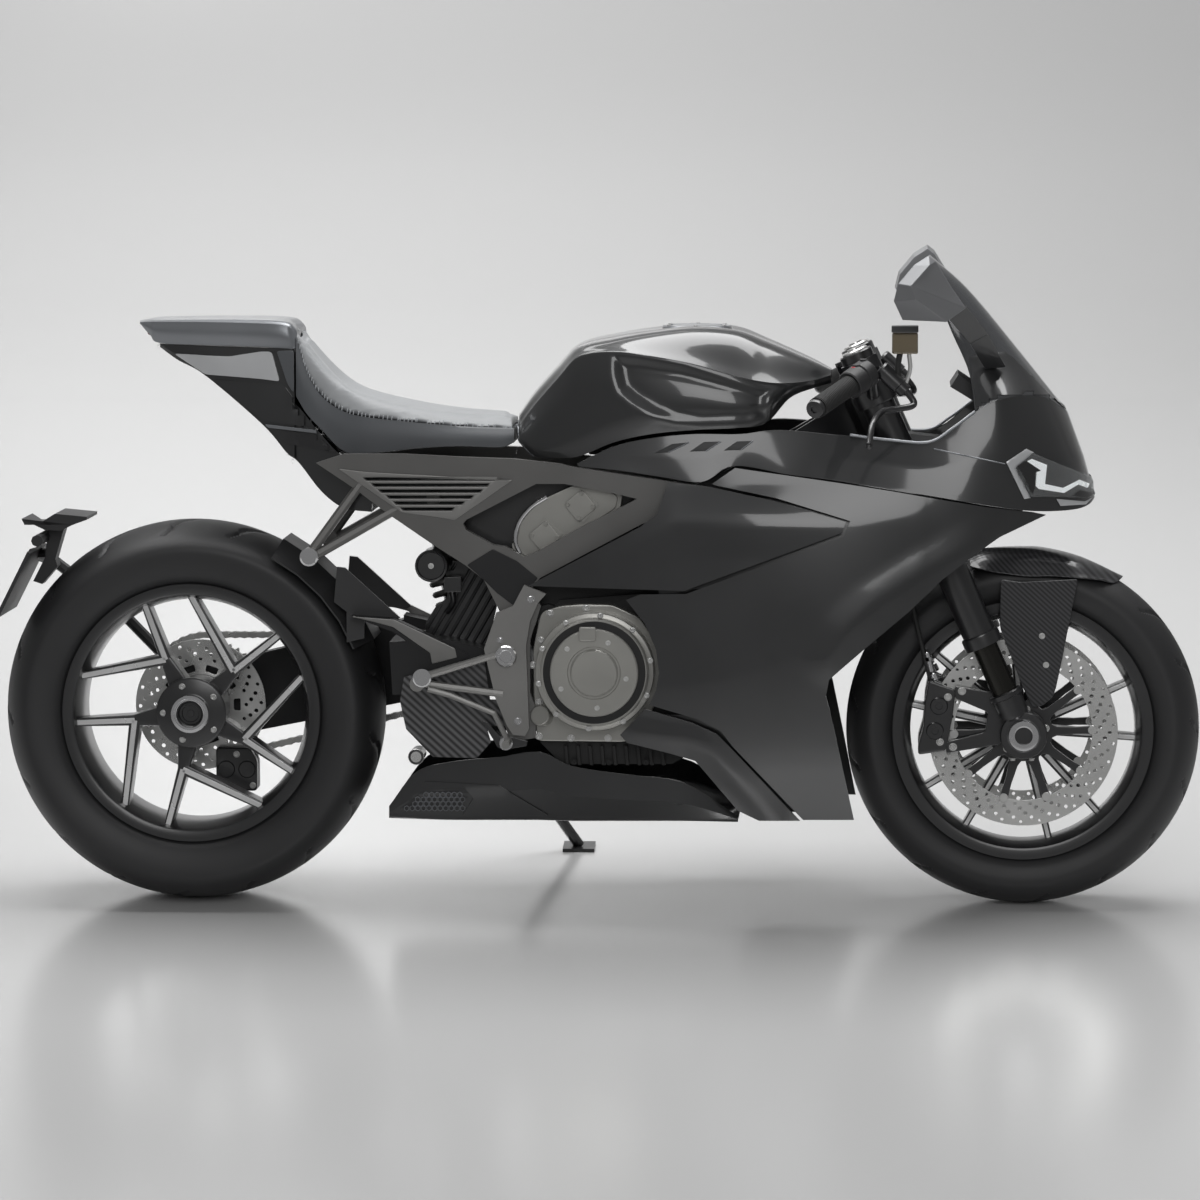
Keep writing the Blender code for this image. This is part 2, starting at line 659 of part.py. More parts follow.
# Front fender: curved blade over the tyre with a leg on each side
FENDER_ROWS = (
    # px, py of the crown, then of the fold; half width at the fold
    ((968, 552), (970, 566), 0.054),
    ((985, 548), (989, 571), 0.066),
    ((1022, 546.5), (1026, 576), 0.0695),
    ((1046, 548), (1052, 576), 0.0695),
    ((1082, 557), (1082, 578), 0.066),
    ((1123, 576), (1104, 579), 0.050),
)
FENDER_THICK = 0.003
FENDER_LEG_PX = ((1001, 579), (1078, 579), (1073, 604), (1062, 660), (1056, 688), (1053, 697), (1042, 706), (1033, 708),
                 (1023, 688), (1000, 628), (1001, 605))
FENDER_LEG_IN = 0.0728
FENDER_LEG_OUT = 0.0756
FENDER_SHOULDER_HALF = 0.045
FENDER_SHOULDER_DROP = 0.008
FENDER_LUG_PX = ((1000, 688), (1024, 676), (1042, 690), (1036, 704), (1020, 708), (1002, 706))
FENDER_TOP_LAP = 0.0055


def toward(point, centre, by):
    """Side-view neighbour of a point, nearer to a wheel's middle."""
    way = Vector((centre[0] - point.x, 0.0, centre[1] - point.z)).normalized()
    return point + way * by


def fender():
    """Front fender with its two legs."""
    rings = []
    for crown_px, fold_px, fold_half in FENDER_ROWS:
        crown = spot(crown_px[0], crown_px[1], 0.0)
        fold = spot(fold_px[0], fold_px[1], fold_half)
        drop = toward(crown, FRONT_AXLE, FENDER_SHOULDER_DROP)
        over = []
        for side, row in ((-1, (fold, drop)), (1, (drop, fold))):
            for kind in row:
                half = fold_half if kind is fold else FENDER_SHOULDER_HALF * fold_half / FENDER_ROWS[2][2]
                over.append(Vector((kind.x, side * half, kind.z)))
            if side < 0:
                over.append(crown)
        under = []
        for p in reversed(over):
            inner = toward(p, FRONT_AXLE, FENDER_THICK)
            share = 1.0 if abs(p.y) < fold_half * 0.9 else 1.0 - FENDER_THICK / fold_half
            under.append(Vector((inner.x, p.y * share, inner.z)))
        rings.append(over + under)
    made = loft("front_fender", rings)
    for side in (-1, 1):
        leg = plate("fender_leg", FENDER_LEG_PX, FENDER_LEG_IN, FENDER_LEG_OUT, side)
        top = plate("fender_top", ((1001, 572), (1078, 573), (1078, 583), (1001, 584)), FENDER_LEG_IN - FENDER_TOP_LAP, FENDER_LEG_OUT, side)
        lug = plate("fender_lug", FENDER_LUG_PX, FENDER_LEG_IN + GAP, LUG_IN - GAP, side)
        join(made, leg, top, lug)
    node(made, "front_fender", "steering", "carbon")


fender()

# Bars: clamp on the fork tube, bar, grip, control housing, lever; brake reservoir on the right
CLAMP_LOW = 0.610
CLAMP_HIGH = 0.650
CLAMP_WALL = 0.008
BAR_RADIUS = 0.0115
BAR_ROOT_HALF = 0.138
BAR_TIP_HALF = 0.345
GRIP_TIP_PX = (814, 410)
GRIP_ROOT_PX = (852, 384)
GRIP_ROOT_HALF = 0.225
BAR_ROOT_PX = (873, 366)
GRIP_RADIUS = 0.0170
HOUSING_RADIUS = 0.0240
HOUSING_END_HALF = 0.195
HOUSING_END_PX = (868, 372)
LEVER_PX = ((904, 388), (914, 404), (898, 409), (882, 412), (873, 424), (869, 445))
LEVER_HALVES = (0.190, 0.192, 0.215, 0.250, 0.300, 0.330)
LEVER_RADIUS = 0.0055
MASTER_PX = ((880, 368), (906, 392))
MASTER_HALF = 0.190
MASTER_RADIUS = 0.0150
RESERVOIR_PX = ((892, 354), (918, 354), (918, 326), (892, 326))
RESERVOIR_HALVES = (0.182, 0.212)
STALK_PX = ((900, 350), (904, 388))
STALK_RADIUS = 0.006


def bars(word, side):
    """Handlebar half with clamp, grip, housing and lever."""
    across = side * FORK_HALF
    made = rod("clamp", on_fork(CLAMP_LOW, across), on_fork(CLAMP_HIGH, across), FORK_TUBE_RADIUS + CLAMP_WALL, steps=FORK_STEPS)
    root = spot(*BAR_ROOT_PX, BAR_ROOT_HALF, side)
    grip_root = spot(*GRIP_ROOT_PX, GRIP_ROOT_HALF, side)
    grip_tip = spot(*GRIP_TIP_PX, BAR_TIP_HALF, side)
    housing_end = spot(*HOUSING_END_PX, HOUSING_END_HALF, side)
    inner = on_fork((CLAMP_LOW + CLAMP_HIGH) / 2, side * (FORK_HALF + FORK_TUBE_RADIUS + CLAMP_WALL / 2))
    bar = tube("bar", (inner, housing_end, grip_root), BAR_RADIUS)
    grip = rod("grip", grip_root, grip_tip, GRIP_RADIUS)
    housing = rod("housing", housing_end, grip_root + (grip_tip - grip_root) * 0.06, HOUSING_RADIUS)
    master = rod("master", spot(*MASTER_PX[0], MASTER_HALF, side), spot(*MASTER_PX[1], MASTER_HALF, side), MASTER_RADIUS)
    lever = tube("lever", [spot(*p, h, side) for p, h in zip(LEVER_PX, LEVER_HALVES)], LEVER_RADIUS)
    join(made, bar, grip, housing, master, lever)
    room = rod("tube_room", on_fork(CLAMP_LOW - OVERLAP * 5, across), on_fork(CLAMP_HIGH + OVERLAP * 5, across),
               FORK_TUBE_RADIUS + GAP, steps=FORK_STEPS)
    cut(made, room)
    if side < 0:
        tank = prism("reservoir", flat(RESERVOIR_PX, RESERVOIR_HALVES[1]), -RESERVOIR_HALVES[0], -RESERVOIR_HALVES[1])
        stalk = rod("stalk", spot(*STALK_PX[0], MASTER_HALF), spot(*STALK_PX[1], MASTER_HALF), STALK_RADIUS, steps=8)
        join(made, tank, stalk)
    node(made, f"bar_{word}", "steering", "plastic")


both(bars)

# Frame: X-shaped plate on each side with a window and slots, pillion struts, cross tubes
FRAME_PX = (
    (316, 463), (344, 454), (404, 454), (459, 457), (514, 459), (560, 464), (572, 467), (667, 481), (710, 487),
    (714, 505), (704, 545), (662, 545), (652, 520), (640, 525), (540, 578), (530, 590), (541, 606), (530, 640), (530, 692), (537, 712), (535, 738),
    (510, 742), (494, 690), (486, 650), (500, 612), (484, 580), (465, 565), (432, 544), (388, 514), (355, 489))
WINDOW_PX = (
    (536, 484), (564, 484), (612, 493), (637, 499), (612, 512), (576, 530), (539, 551), (524, 557), (506, 547),
    (493, 545), (466, 530), (463, 524), (466, 520))
SLOT_ROWS = (
    # left end px, right end px, height py
    (363, 497, 479), (371, 490, 485), (378, 483, 491), (386, 474, 497), (393, 465, 503), (400, 455, 509))
SLOT_HALF_PX = 1.5
STRUTS_PX = (((362, 482), (309, 555)), ((398, 508), (314, 556)))
STRUT_RADIUS = 0.0085
STRUT_HALF = 0.150
STRUT_END_HALF = 0.166
STRUT_KNOB_PX = (309, 557)
STRUT_KNOB_RADIUS = 0.015
STRUT_KNOB_OUT = 0.190
CROSS_TUBES_PX = ((432, 500), (500, 590))
CROSS_RADIUS = 0.012


def frame_side(word, side):
    """Frame plate with the struts that carry the pillion peg."""
    made = plate("frame", FRAME_PX, FRAME_IN, FRAME_OUT, side)
    cut(made, plate("window", WINDOW_PX, FRAME_IN - OVERLAP, FRAME_OUT + OVERLAP, side))
    for left, right, py in SLOT_ROWS:
        slot_px = ((left, py - SLOT_HALF_PX), (right, py - SLOT_HALF_PX), (right - 4, py + SLOT_HALF_PX), (left + 4, py + SLOT_HALF_PX))
        cut(made, plate("slot", slot_px, FRAME_IN - OVERLAP, FRAME_OUT + OVERLAP, side))
    for one, two in STRUTS_PX:
        join(made, rod("strut", spot(*one, STRUT_HALF, side), spot(*two, STRUT_END_HALF, side), STRUT_RADIUS, steps=8))
    middle = spot(*STRUT_KNOB_PX, STRUT_KNOB_OUT, side)
    join(made, rod("knob", middle, (middle.x, side * (STRUT_HALF + OVERLAP), middle.z), STRUT_KNOB_RADIUS, steps=12))
    if side > 0:
        for px, py in CROSS_TUBES_PX:
            spot_out = spot(px, py, FRAME_OUT)
            join(made, rod("cross", (spot_out.x, FRAME_IN + OVERLAP, spot_out.z), (spot_out.x, -FRAME_IN + GAP, spot_out.z), CROSS_RADIUS))
    node(made, f"frame_{word}", "chassis", "frame_grey")


both(frame_side)

# Head tube with two arms to the frame plates and the stay that carries the nose
ARM_MIDDLE_PX = ((751, 503.4), (751, 458.9))
ARM_ROOT_PX = ((685, 525.3), (685, 489.7))
ARM_PAD_PX = ((652.2, 528.2), (689.1, 528.3), (689.1, 489.7), (652.2, 495.5))
ARM_HALF = 0.110
ARM_THICK = 0.022
ARM_TIP_HALF = 0.012
ARM_TIP_THICK = 0.010
ARM_TIP_BEHIND = 0.015
ARM_TIP_LOW = HEAD_LOW + 0.020
ARM_TIP_HIGH = HEAD_HIGH - 0.030
STAY_HEIGHT = 0.545
STAY_RADIUS = 0.014
STAY_END = spot(1065.3, 458.1, 0.0)
STAY_CROSS_HALF = 0.060
STAY_CROSS_RADIUS = 0.0112
STAY_CROSS_BACK = 0.006


def headstock():
    """Head tube, its arms and the fairing stay."""
    made = rod("headstock", on_fork(HEAD_LOW, 0, -AXIS_OFFSET), on_fork(HEAD_HIGH, 0, -AXIS_OFFSET), HEAD_RADIUS, steps=FORK_STEPS)
    for side in (-1, 1):
        outside = FRAME_IN - GAP
        inside = outside - ARM_THICK
        rings = []
        for pair, out in ((ARM_ROOT_PX, outside), (ARM_MIDDLE_PX, ARM_HALF)):
            low, high = [spot(px, py, out, side) for px, py in pair]
            step = Vector((0, -side * ARM_THICK, 0))
            rings.append([low, low + step, high + step, high])
        low, high = [on_fork(height, side * ARM_TIP_HALF, -AXIS_OFFSET - ARM_TIP_BEHIND)
                     for height in (ARM_TIP_LOW, ARM_TIP_HIGH)]
        step = Vector((0, -side * ARM_TIP_THICK, 0))
        rings.append([low, low + step, high + step, high])
        pad = prism("arm_pad", flat(ARM_PAD_PX, outside), side * outside, side * inside)
        join(made, loft("arm", rings), pad)
    start = on_fork(STAY_HEIGHT, 0, -AXIS_OFFSET + HEAD_RADIUS * 0.8)
    end = STAY_END
    reach = Vector((0, STAY_CROSS_HALF, 0))
    back = Vector((-STAY_CROSS_BACK, 0, 0))
    join(made, rod("stay", start, end, STAY_RADIUS, steps=8))
    join(made, rod("stay_cross", end + back - reach, end + back + reach, STAY_CROSS_RADIUS, steps=8))
    bore = rod("head_bore", on_fork(HEAD_LOW - OVERLAP, 0, -AXIS_OFFSET), on_fork(HEAD_HIGH + OVERLAP, 0, -AXIS_OFFSET), HEAD_BORE_RADIUS, steps=FORK_STEPS)
    cut(made, bore)
    node(made, "headstock", "chassis", "black_metal")


headstock()

# Engine: crankcase block with the visible covers
CRANKCASE_PX = (
    (540, 700), (539, 672), (542, 620), (560, 600), (640, 594), (720, 600), (765, 640), (768, 690), (722, 736),
    (672, 764), (562, 764), (540, 742))
REAR_BANK_PX = ((540, 610), (526, 566), (598, 498), (632, 520), (668, 604))
FRONT_BANK_PX = ((690, 610), (715, 545), (770, 552), (776, 640), (752, 650))
BANK_HALF = 0.118
FRONT_BANK_HALF = 0.105
MOUNT_BOLTS_PX = (((548, 615), 0.018), ((539, 716), 0.014))
RIBS = (560, 578, 596, 614, 632, 650)
HEAD_PX = ((514, 556), (512, 544), (596, 484), (622, 496), (620, 508), (540, 564))
HEAD_LID_CENTRES = ((546, 535), (582, 506))
HEAD_LID_HALF_PX = 13
HEAD_LID_OUT = 0.1370
HEAD_LID_TURN_DEG = 40.0
CLUTCH_PX = (594, 673)
CLUTCH_ROWS = (
    # radius, half at its outer face
    (0.100, 0.186), (0.089, 0.194), (0.073, 0.202), (0.039, 0.206))
CLUTCH_SIZE_PX = 59
CAP_PX = (587, 633)
CAP_HALF_X = 0.012
CAP_HALF_Z = 0.010
LEFT_COVER_PX = (594, 673)
LEFT_COVER_RADIUS = 0.085
LEFT_COVER_OUT = 0.150
DRIVE_X = 0.635
DRIVE_Z = 0.405
DRIVE_RADIUS = 0.026
DRIVE_OUT = 0.1760


def engine():
    """Crankcase with two banks, mounting bosses and the output shaft."""
    made_outline = flat(CRANKCASE_PX, ENGINE_HALF)
    made = prism("engine_block", made_outline, -ENGINE_HALF, ENGINE_HALF)
    join(made, prism("rear_bank", flat(REAR_BANK_PX, BANK_HALF), -BANK_HALF, BANK_HALF))
    join(made, prism("front_bank", flat(FRONT_BANK_PX, FRONT_BANK_HALF), -FRONT_BANK_HALF, FRONT_BANK_HALF))
    for (px, py), radius in MOUNT_BOLTS_PX:
        middle = spot(px, py, FRAME_IN)
        join(made, rod("boss", (middle.x, -FRAME_IN + GAP, middle.z), (middle.x, FRAME_IN - GAP, middle.z), radius))
    join(made, rod("drive", (DRIVE_X, ENGINE_HALF - OVERLAP, DRIVE_Z), (DRIVE_X, DRIVE_OUT, DRIVE_Z), DRIVE_RADIUS, steps=WHEEL_STEPS))
    node(made, "engine_block", "chassis", "black_metal")


engine()


def cylinder_head():
    """Head of the rear bank with the two square lids seen through the frame window."""
    made = prism("cylinder_head", flat(HEAD_PX, HEAD_HALF), -HEAD_HALF, HEAD_HALF)
    for px, py in HEAD_LID_CENTRES:
        for side in (-1, 1):
            corners = []
            for turn in (45, 135, 225, 315):
                angle = math.radians(turn + HEAD_LID_TURN_DEG)
                corners.append((px + HEAD_LID_HALF_PX * 1.3 * math.cos(angle), py + HEAD_LID_HALF_PX * 1.3 * math.sin(angle)))
            join(made, plate("lid", corners, HEAD_HALF - OVERLAP, HEAD_LID_OUT, side))
    bank = prism("bank_room", flat(grown(REAR_BANK_PX), BANK_HALF), -BANK_HALF - GAP, BANK_HALF + GAP)
    cut(made, bank)
    node(made, "cylinder_head", "chassis", "engine_metal")


cylinder_head()


def clutch_cover():
    """Round stepped cover on the engine's right side, with the filler cap block."""
    middle = spot(*CLUTCH_PX, CLUTCH_ROWS[0][1])
    rows = [(CLUTCH_ROWS[0][0], -ENGINE_HALF - GAP)]
    for number, (radius, out) in enumerate(CLUTCH_ROWS):
        if number:
            rows.append((radius, -CLUTCH_ROWS[number - 1][1]))
        rows.append((radius, -out))
    made = turned("clutch_cover", (middle.x, middle.z), rows, WHEEL_STEPS * 2)
    cap = spot(*CAP_PX, CLUTCH_ROWS[-1][1])
    join(made, box("cap", (cap.x - CAP_HALF_X, -CLUTCH_ROWS[-1][1] - OVERLAP, cap.z - CAP_HALF_Z), (cap.x + CAP_HALF_X, -CLUTCH_ROWS[1][1] + 0.01, cap.z + CAP_HALF_Z)))
    node(made, "clutch_cover", "chassis", "engine_metal")


clutch_cover()

# Tank, seat and tail: rings of a few points, read from the photo and given half widths
TANK_ROWS = (
    # px, top py, crease py, bottom py, half at crease, half at side, half at bottom
    (519, 414, 424, 440, 0.070, 0.092, 0.100),
    (535, 391, 404, 456, 0.090, 0.112, 0.120),
    (558, 365, 378, 458, 0.108, 0.128, 0.130),
    (580, 343, 355, 456, 0.122, 0.140, 0.134),
    (615, 334, 351, 441, 0.142, 0.160, 0.148),
    (652, 329, 356, 433, 0.152, 0.172, 0.156),
    (694, 326, 364, 429, 0.158, 0.180, 0.160),
    (736, 330, 376, 428, 0.154, 0.178, 0.156),
    (772, 343, 384, 422, 0.142, 0.160, 0.140),
    (800, 355, 383, 394, 0.112, 0.116, 0.098),
    (831, 369, 375, 383, 0.046, 0.048, 0.040),
)
TANK_TOP_SHARE = 0.62
TANK_TOP_DROP_PX = 4.0
TANK_LUG_PX = ((542, 450), (576, 450), (576, 476), (542, 474))
CAP_PX_X = 700
CAP_RADIUS = 0.058
CAP_HEIGHT = 0.004
CAP_TOP_PX = (697, 326)


def hull_ring(px, rows):
    """Ring across the bike: rows of (py, half) from the middle of the top to the middle of the bottom."""
    right = [spot(px, py, half) for py, half in rows]
    left = [Vector((p.x, -p.y, p.z)) for p in reversed(right[1:-1])]
    return right + left


def tank():
    """Fuel tank with its lug between the frame plates and the flat filler ring."""
    rings = []
    for px, top, crease, bottom, w_crease, w_side, w_bottom in TANK_ROWS:
        side_py = crease + (bottom - crease) * 0.45
        rings.append(hull_ring(px, (
            (top, 0.0), (top + TANK_TOP_DROP_PX, w_crease * TANK_TOP_SHARE), (crease, w_crease),
            (side_py, w_side), (bottom, w_bottom), (bottom, 0.0))))
    made = loft("fuel_tank", rings)
    lug = prism("tank_lug", flat(TANK_LUG_PX, FRAME_IN), -FRAME_IN + GAP, FRAME_IN - GAP)
    top = spot(*CAP_TOP_PX, 0.0)
    cap = rod("filler", (top.x, 0.0, top.z - 0.020), (top.x, 0.0, top.z + CAP_HEIGHT), CAP_RADIUS, steps=WHEEL_STEPS)
    join(made, lug, cap)
    node(made, "fuel_tank", "chassis", "satin_body")


tank()

SEAT_ROWS = (
    # px, top py, shoulder py, lower py, half at shoulder, half at lower edge
    (299, 330, 334, 346, 0.075, 0.088),
    (307, 343, 347, 371, 0.080, 0.094),
    (322, 362, 367, 394, 0.088, 0.104),
    (344, 384, 390, 410, 0.100, 0.118),
    (370, 396, 403, 416, 0.110, 0.128),
    (418, 407, 414, 421, 0.112, 0.132),
    (459, 412, 419, 425, 0.100, 0.120),
    (500, 414, 420, 426, 0.078, 0.096),
    (514, 414, 420, 426.5, 0.070, 0.088),
)
BASE_ROWS = (
    # px, upper py, lower py, half at upper edge, half at lower edge
    (299, 346, 400, 0.088, 0.094),
    (307, 371, 414, 0.094, 0.102),
    (322, 394, 430, 0.104, 0.112),
    (344, 410, 452, 0.118, 0.124),
    (370, 416, 453, 0.128, 0.134),
    (418, 421, 448, 0.132, 0.138),
    (459, 425, 446, 0.120, 0.132),
    (500, 426, 447, 0.096, 0.112),
    (514, 426.5, 442, 0.088, 0.100),
)
BASE_GAP_PX = 0.25
SEAT_LUG_PX = ((425, 442), (475, 442), (475, 476), (425, 472))


def seat():
    """Leather pad and the base under it."""
    pad_rings = []
    for px, top, shoulder, lower, w_shoulder, w_lower in SEAT_ROWS:
        pad_rings.append(hull_ring(px, ((top, 0.0), (shoulder, w_shoulder), (lower, w_lower), (lower, 0.0))))
    node(loft("seat_pad", pad_rings), "seat_pad", "chassis", "leather")
    base_rings = []
    for px, upper, lower, w_upper, w_lower in BASE_ROWS:
        base_rings.append(hull_ring(px, ((upper + BASE_GAP_PX, 0.0), (upper + BASE_GAP_PX, w_upper), (lower, w_lower), (lower, 0.0))))
    made = loft("seat_base", base_rings)
    join(made, prism("seat_lug", flat(SEAT_LUG_PX, FRAME_IN), -FRAME_IN + GAP, FRAME_IN - GAP))
    node(made, "seat_base", "chassis", "leather")


seat()

COWL_ROWS = (
    # px, top py, edge py, lower py, half at edge, half at lower
    (140, 320, 322, 324, 0.058, 0.056),
    (160, 318, 324, 343, 0.068, 0.062),
    (206, 317, 326, 345, 0.078, 0.072),
    (262, 317, 327, 347, 0.084, 0.080),
    (286, 319, 328, 348, 0.084, 0.084),
    (294, 326, 331, 346, 0.076, 0.086),
)
UNDER_ROWS = (
    # px, upper py, lower py, half at upper, half at lower
    (160, 343, 347, 0.062, 0.058),
    (178, 344, 360, 0.066, 0.062),
    (206, 345, 376, 0.072, 0.070),
    (262, 347, 424, 0.080, 0.086),
    (286, 348, 452, 0.084, 0.092),
    (294.5, 349, 462, 0.086, 0.096),
)
UNDER_BACK_ROWS = (
    (300, 408, 464, 0.093, 0.096),
    (322, 435, 492, 0.110, 0.112),
    (344, 456, 508, 0.122, 0.124),
    (372, 458, 512, 0.130, 0.130),
)
PANEL_PX = ((174, 352), (206, 375), (261, 422), (268, 430), (330, 440), (286, 384), (274, 351))
TAIL_BRIDGE_PX = ((284, 420), (310, 434), (310, 470), (284, 450))
UNDER_LUG_PX = ((330, 460), (372, 462), (372, 495), (352, 480))


def tail():
    """Rear cowl over the tail's lower body."""
    rings = []
    for px, top, edge, lower, w_edge, w_lower in COWL_ROWS:
        rings.append(hull_ring(px, ((top, 0.0), (top + 2, w_edge * 0.7), (edge, w_edge), (lower, w_lower), (lower, 0.0))))
    node(loft("tail_cowl", rings), "tail_cowl", "chassis", "satin_body")
    rings = []
    for px, upper, lower, w_upper, w_lower in UNDER_ROWS:
        rings.append(hull_ring(px, ((upper + BASE_GAP_PX, 0.0), (upper + BASE_GAP_PX, w_upper), (lower, w_lower), (lower, 0.0))))
    made = loft("tail_body", rings)
    rings = []
    for px, upper, lower, w_upper, w_lower in UNDER_BACK_ROWS:
        rings.append(hull_ring(px, ((upper, 0.0), (upper, w_upper), (lower, w_lower), (lower, 0.0))))
    back = loft("tail_back", rings)
    bridge = prism("tail_bridge", flat(TAIL_BRIDGE_PX, 0.09), -0.085, 0.085)
    lug = prism("tail_lug", flat(UNDER_LUG_PX, FRAME_IN), -FRAME_IN + GAP, FRAME_IN - GAP)
    join(made, bridge, back, lug)
    node(made, "tail_body", "chassis", "satin_body")


tail()

# Outside of the fairing: half widths over photo columns and rows
SIDE_COLUMNS = (520, 600, 680, 760, 840, 920, 980, 1040)
SIDE_ROWS = (
    # py, then the half width at each column
    (430, 0.148, 0.152, 0.160, 0.168, 0.176, 0.178, 0.166, 0.128),
    (480, 0.160, 0.172, 0.182, 0.192, 0.198, 0.194, 0.180, 0.138),
    (520, 0.166, 0.184, 0.200, 0.214, 0.216, 0.204, 0.184, 0.134),
    (580, 0.168, 0.190, 0.208, 0.224, 0.226, 0.208, 0.184, 0.130),
    (640, 0.170, 0.195, 0.214, 0.226, 0.228, 0.208, 0.184, 0.130),
    (700, 0.170, 0.195, 0.212, 0.220, 0.218, 0.200, 0.180, 0.130),
    (760, 0.158, 0.182, 0.196, 0.202, 0.198, 0.186, 0.170, 0.130),
    (830, 0.120, 0.145, 0.160, 0.166, 0.160, 0.150, 0.140, 0.120),
)


def side_half(px, py):
    """Half width of the fairing at a photo pixel."""
    columns = SIDE_COLUMNS
    px = min(max(px, columns[0]), columns[-1])
    py = min(max(py, SIDE_ROWS[0][0]), SIDE_ROWS[-1][0])
    i = max(k for k in range(len(columns) - 1) if px >= columns[k])
    j = max(k for k in range(len(SIDE_ROWS) - 1) if py >= SIDE_ROWS[k][0])
    u = (px - columns[i]) / (columns[i + 1] - columns[i])
    v = (py - SIDE_ROWS[j][0]) / (SIDE_ROWS[j + 1][0] - SIDE_ROWS[j][0])
    low = SIDE_ROWS[j][i + 1] * (1 - u) + SIDE_ROWS[j][i + 2] * u
    high = SIDE_ROWS[j + 1][i + 1] * (1 - u) + SIDE_ROWS[j + 1][i + 2] * u
    return low * (1 - v) + high * v


def skin(name, outline_px, side, offset=0.0, thick=SKIN, step_px=40):
    """Thin panel that follows the fairing's outside within an outline read from the photo."""
    xs = [p[0] for p in outline_px]
    ys = [p[1] for p in outline_px]
    left = min(xs) - 8
    low = min(ys) - 8
    across = max(1, math.ceil((max(xs) + 8 - left) / step_px))
    down = max(1, math.ceil((max(ys) + 8 - low) / step_px))
    wide = (max(xs) + 8 - left) / across
    high = (max(ys) + 8 - low) / down
    bm = bmesh.new()
    shells = []
    for inward in (0.0, thick):
        grid = []
        for j in range(down + 1):
            row = []
            for i in range(across + 1):
                px = left + i * wide
                py = low + j * high
                half = side_half(px, py) + offset
                found = spot(px, py, half, side)
                row.append(bm.verts.new((found.x, side * (half - inward), found.z)))
            grid.append(row)
        shells.append(grid)
    for number, grid in enumerate(shells):
        for j in range(down):
            for i in range(across):
                a, b, c, d = grid[j][i], grid[j][i + 1], grid[j + 1][i + 1], grid[j + 1][i]
                diagonal = (side < 0)
                if diagonal:
                    bm.faces.new((a, b, c))
                    bm.faces.new((a, c, d))
                else:
                    bm.faces.new((a, b, c))
                    bm.faces.new((a, c, d))
    outer, inner = shells
    rim = [(0, i) for i in range(across)] + [(j, across) for j in range(down)]
    rim += [(down, i) for i in range(across, 0, -1)] + [(j, 0) for j in range(down, 0, -1)]
    for one, two in zip(rim, rim[1:] + rim[:1]):
        bm.faces.new((outer[one[0]][one[1]], outer[two[0]][two[1]], inner[two[0]][two[1]], inner[one[0]][one[1]]))
    made = shape(bm, name)
    far = [spot(px, py, side_half(px, py) + offset, side) for px, py in outline_px]
    band = prism("trim", [(p.x, p.z) for p in far], side * 0.05, side * 0.30)
    keep(made, band)
    return made


def panel_stud(made, pixel, half_to, side, offset=0.0, radius=0.009):
    """Stud from a panel's inside to the piece that carries it."""
    half = side_half(*pixel) + offset
    place = spot(*pixel, half, side)
    stud = rod("stud", (place.x, side * (half - SKIN + 0.001), place.z), (place.x, side * half_to, place.z), radius, steps=8)
    join(made, stud)


WING_PX = ((528, 586), (684, 591), (842, 533), (846, 522), (774, 501), (710, 487), (668, 482), (657, 514), (640, 527), (541, 579))
WING_LIFT = 0.004
WING_STUD_PX = (680, 530)
FAIRING_PX = (
    (712, 484), (735, 468), (790, 476), (839, 483), (890, 491), (936, 499), (985, 507), (1032, 513), (1046, 518), (1000, 537), (983, 549),
    (942, 580), (910, 611), (866, 648), (837, 673), (829, 680), (826, 696), (829, 707), (854, 820), (803, 820),
    (732, 746), (721, 731), (697, 719), (649, 705), (656, 690), (659, 673), (656, 650), (645, 624), (626, 600), (640, 594.5),
    (686, 594), (845, 536), (850, 521), (776, 498), (716, 485.5))
FAIRING_STUDS = (((700, 650), ENGINE_HALF + GAP), ((740, 700), ENGINE_HALF + GAP), ((725, 620), ENGINE_HALF + GAP))
DUCT_PX = ((645, 709), (620, 735), (627, 743), (671, 754), (695, 761), (702, 769), (738, 811), (759, 821), (800, 821), (729, 746), (717, 734), (692, 723))
DUCT_STUD = ((660, 735), ENGINE_HALF + GAP)


def side_panels(word, side):
    """Main fairing panel, the wing panel over it and the duct panel at its lower rear edge."""
    wing = skin("wing", WING_PX, side, WING_LIFT)
    panel_stud(wing, WING_STUD_PX, FRAME_OUT + GAP, side, WING_LIFT)
    node(wing, f"side_wing_{word}", "chassis", "satin_body")
    main = skin("fairing", FAIRING_PX, side)
    for pixel, half_to in FAIRING_STUDS:
        panel_stud(main, pixel, half_to, side)
    node(main, f"side_fairing_{word}", "chassis", "satin_body")
    duct = skin("duct", DUCT_PX, side, -0.004, 0.012)
    panel_stud(duct, DUCT_STUD[0], DUCT_STUD[1], side)
    node(duct, f"lower_duct_{word}", "chassis", "satin_body")


both(side_panels)

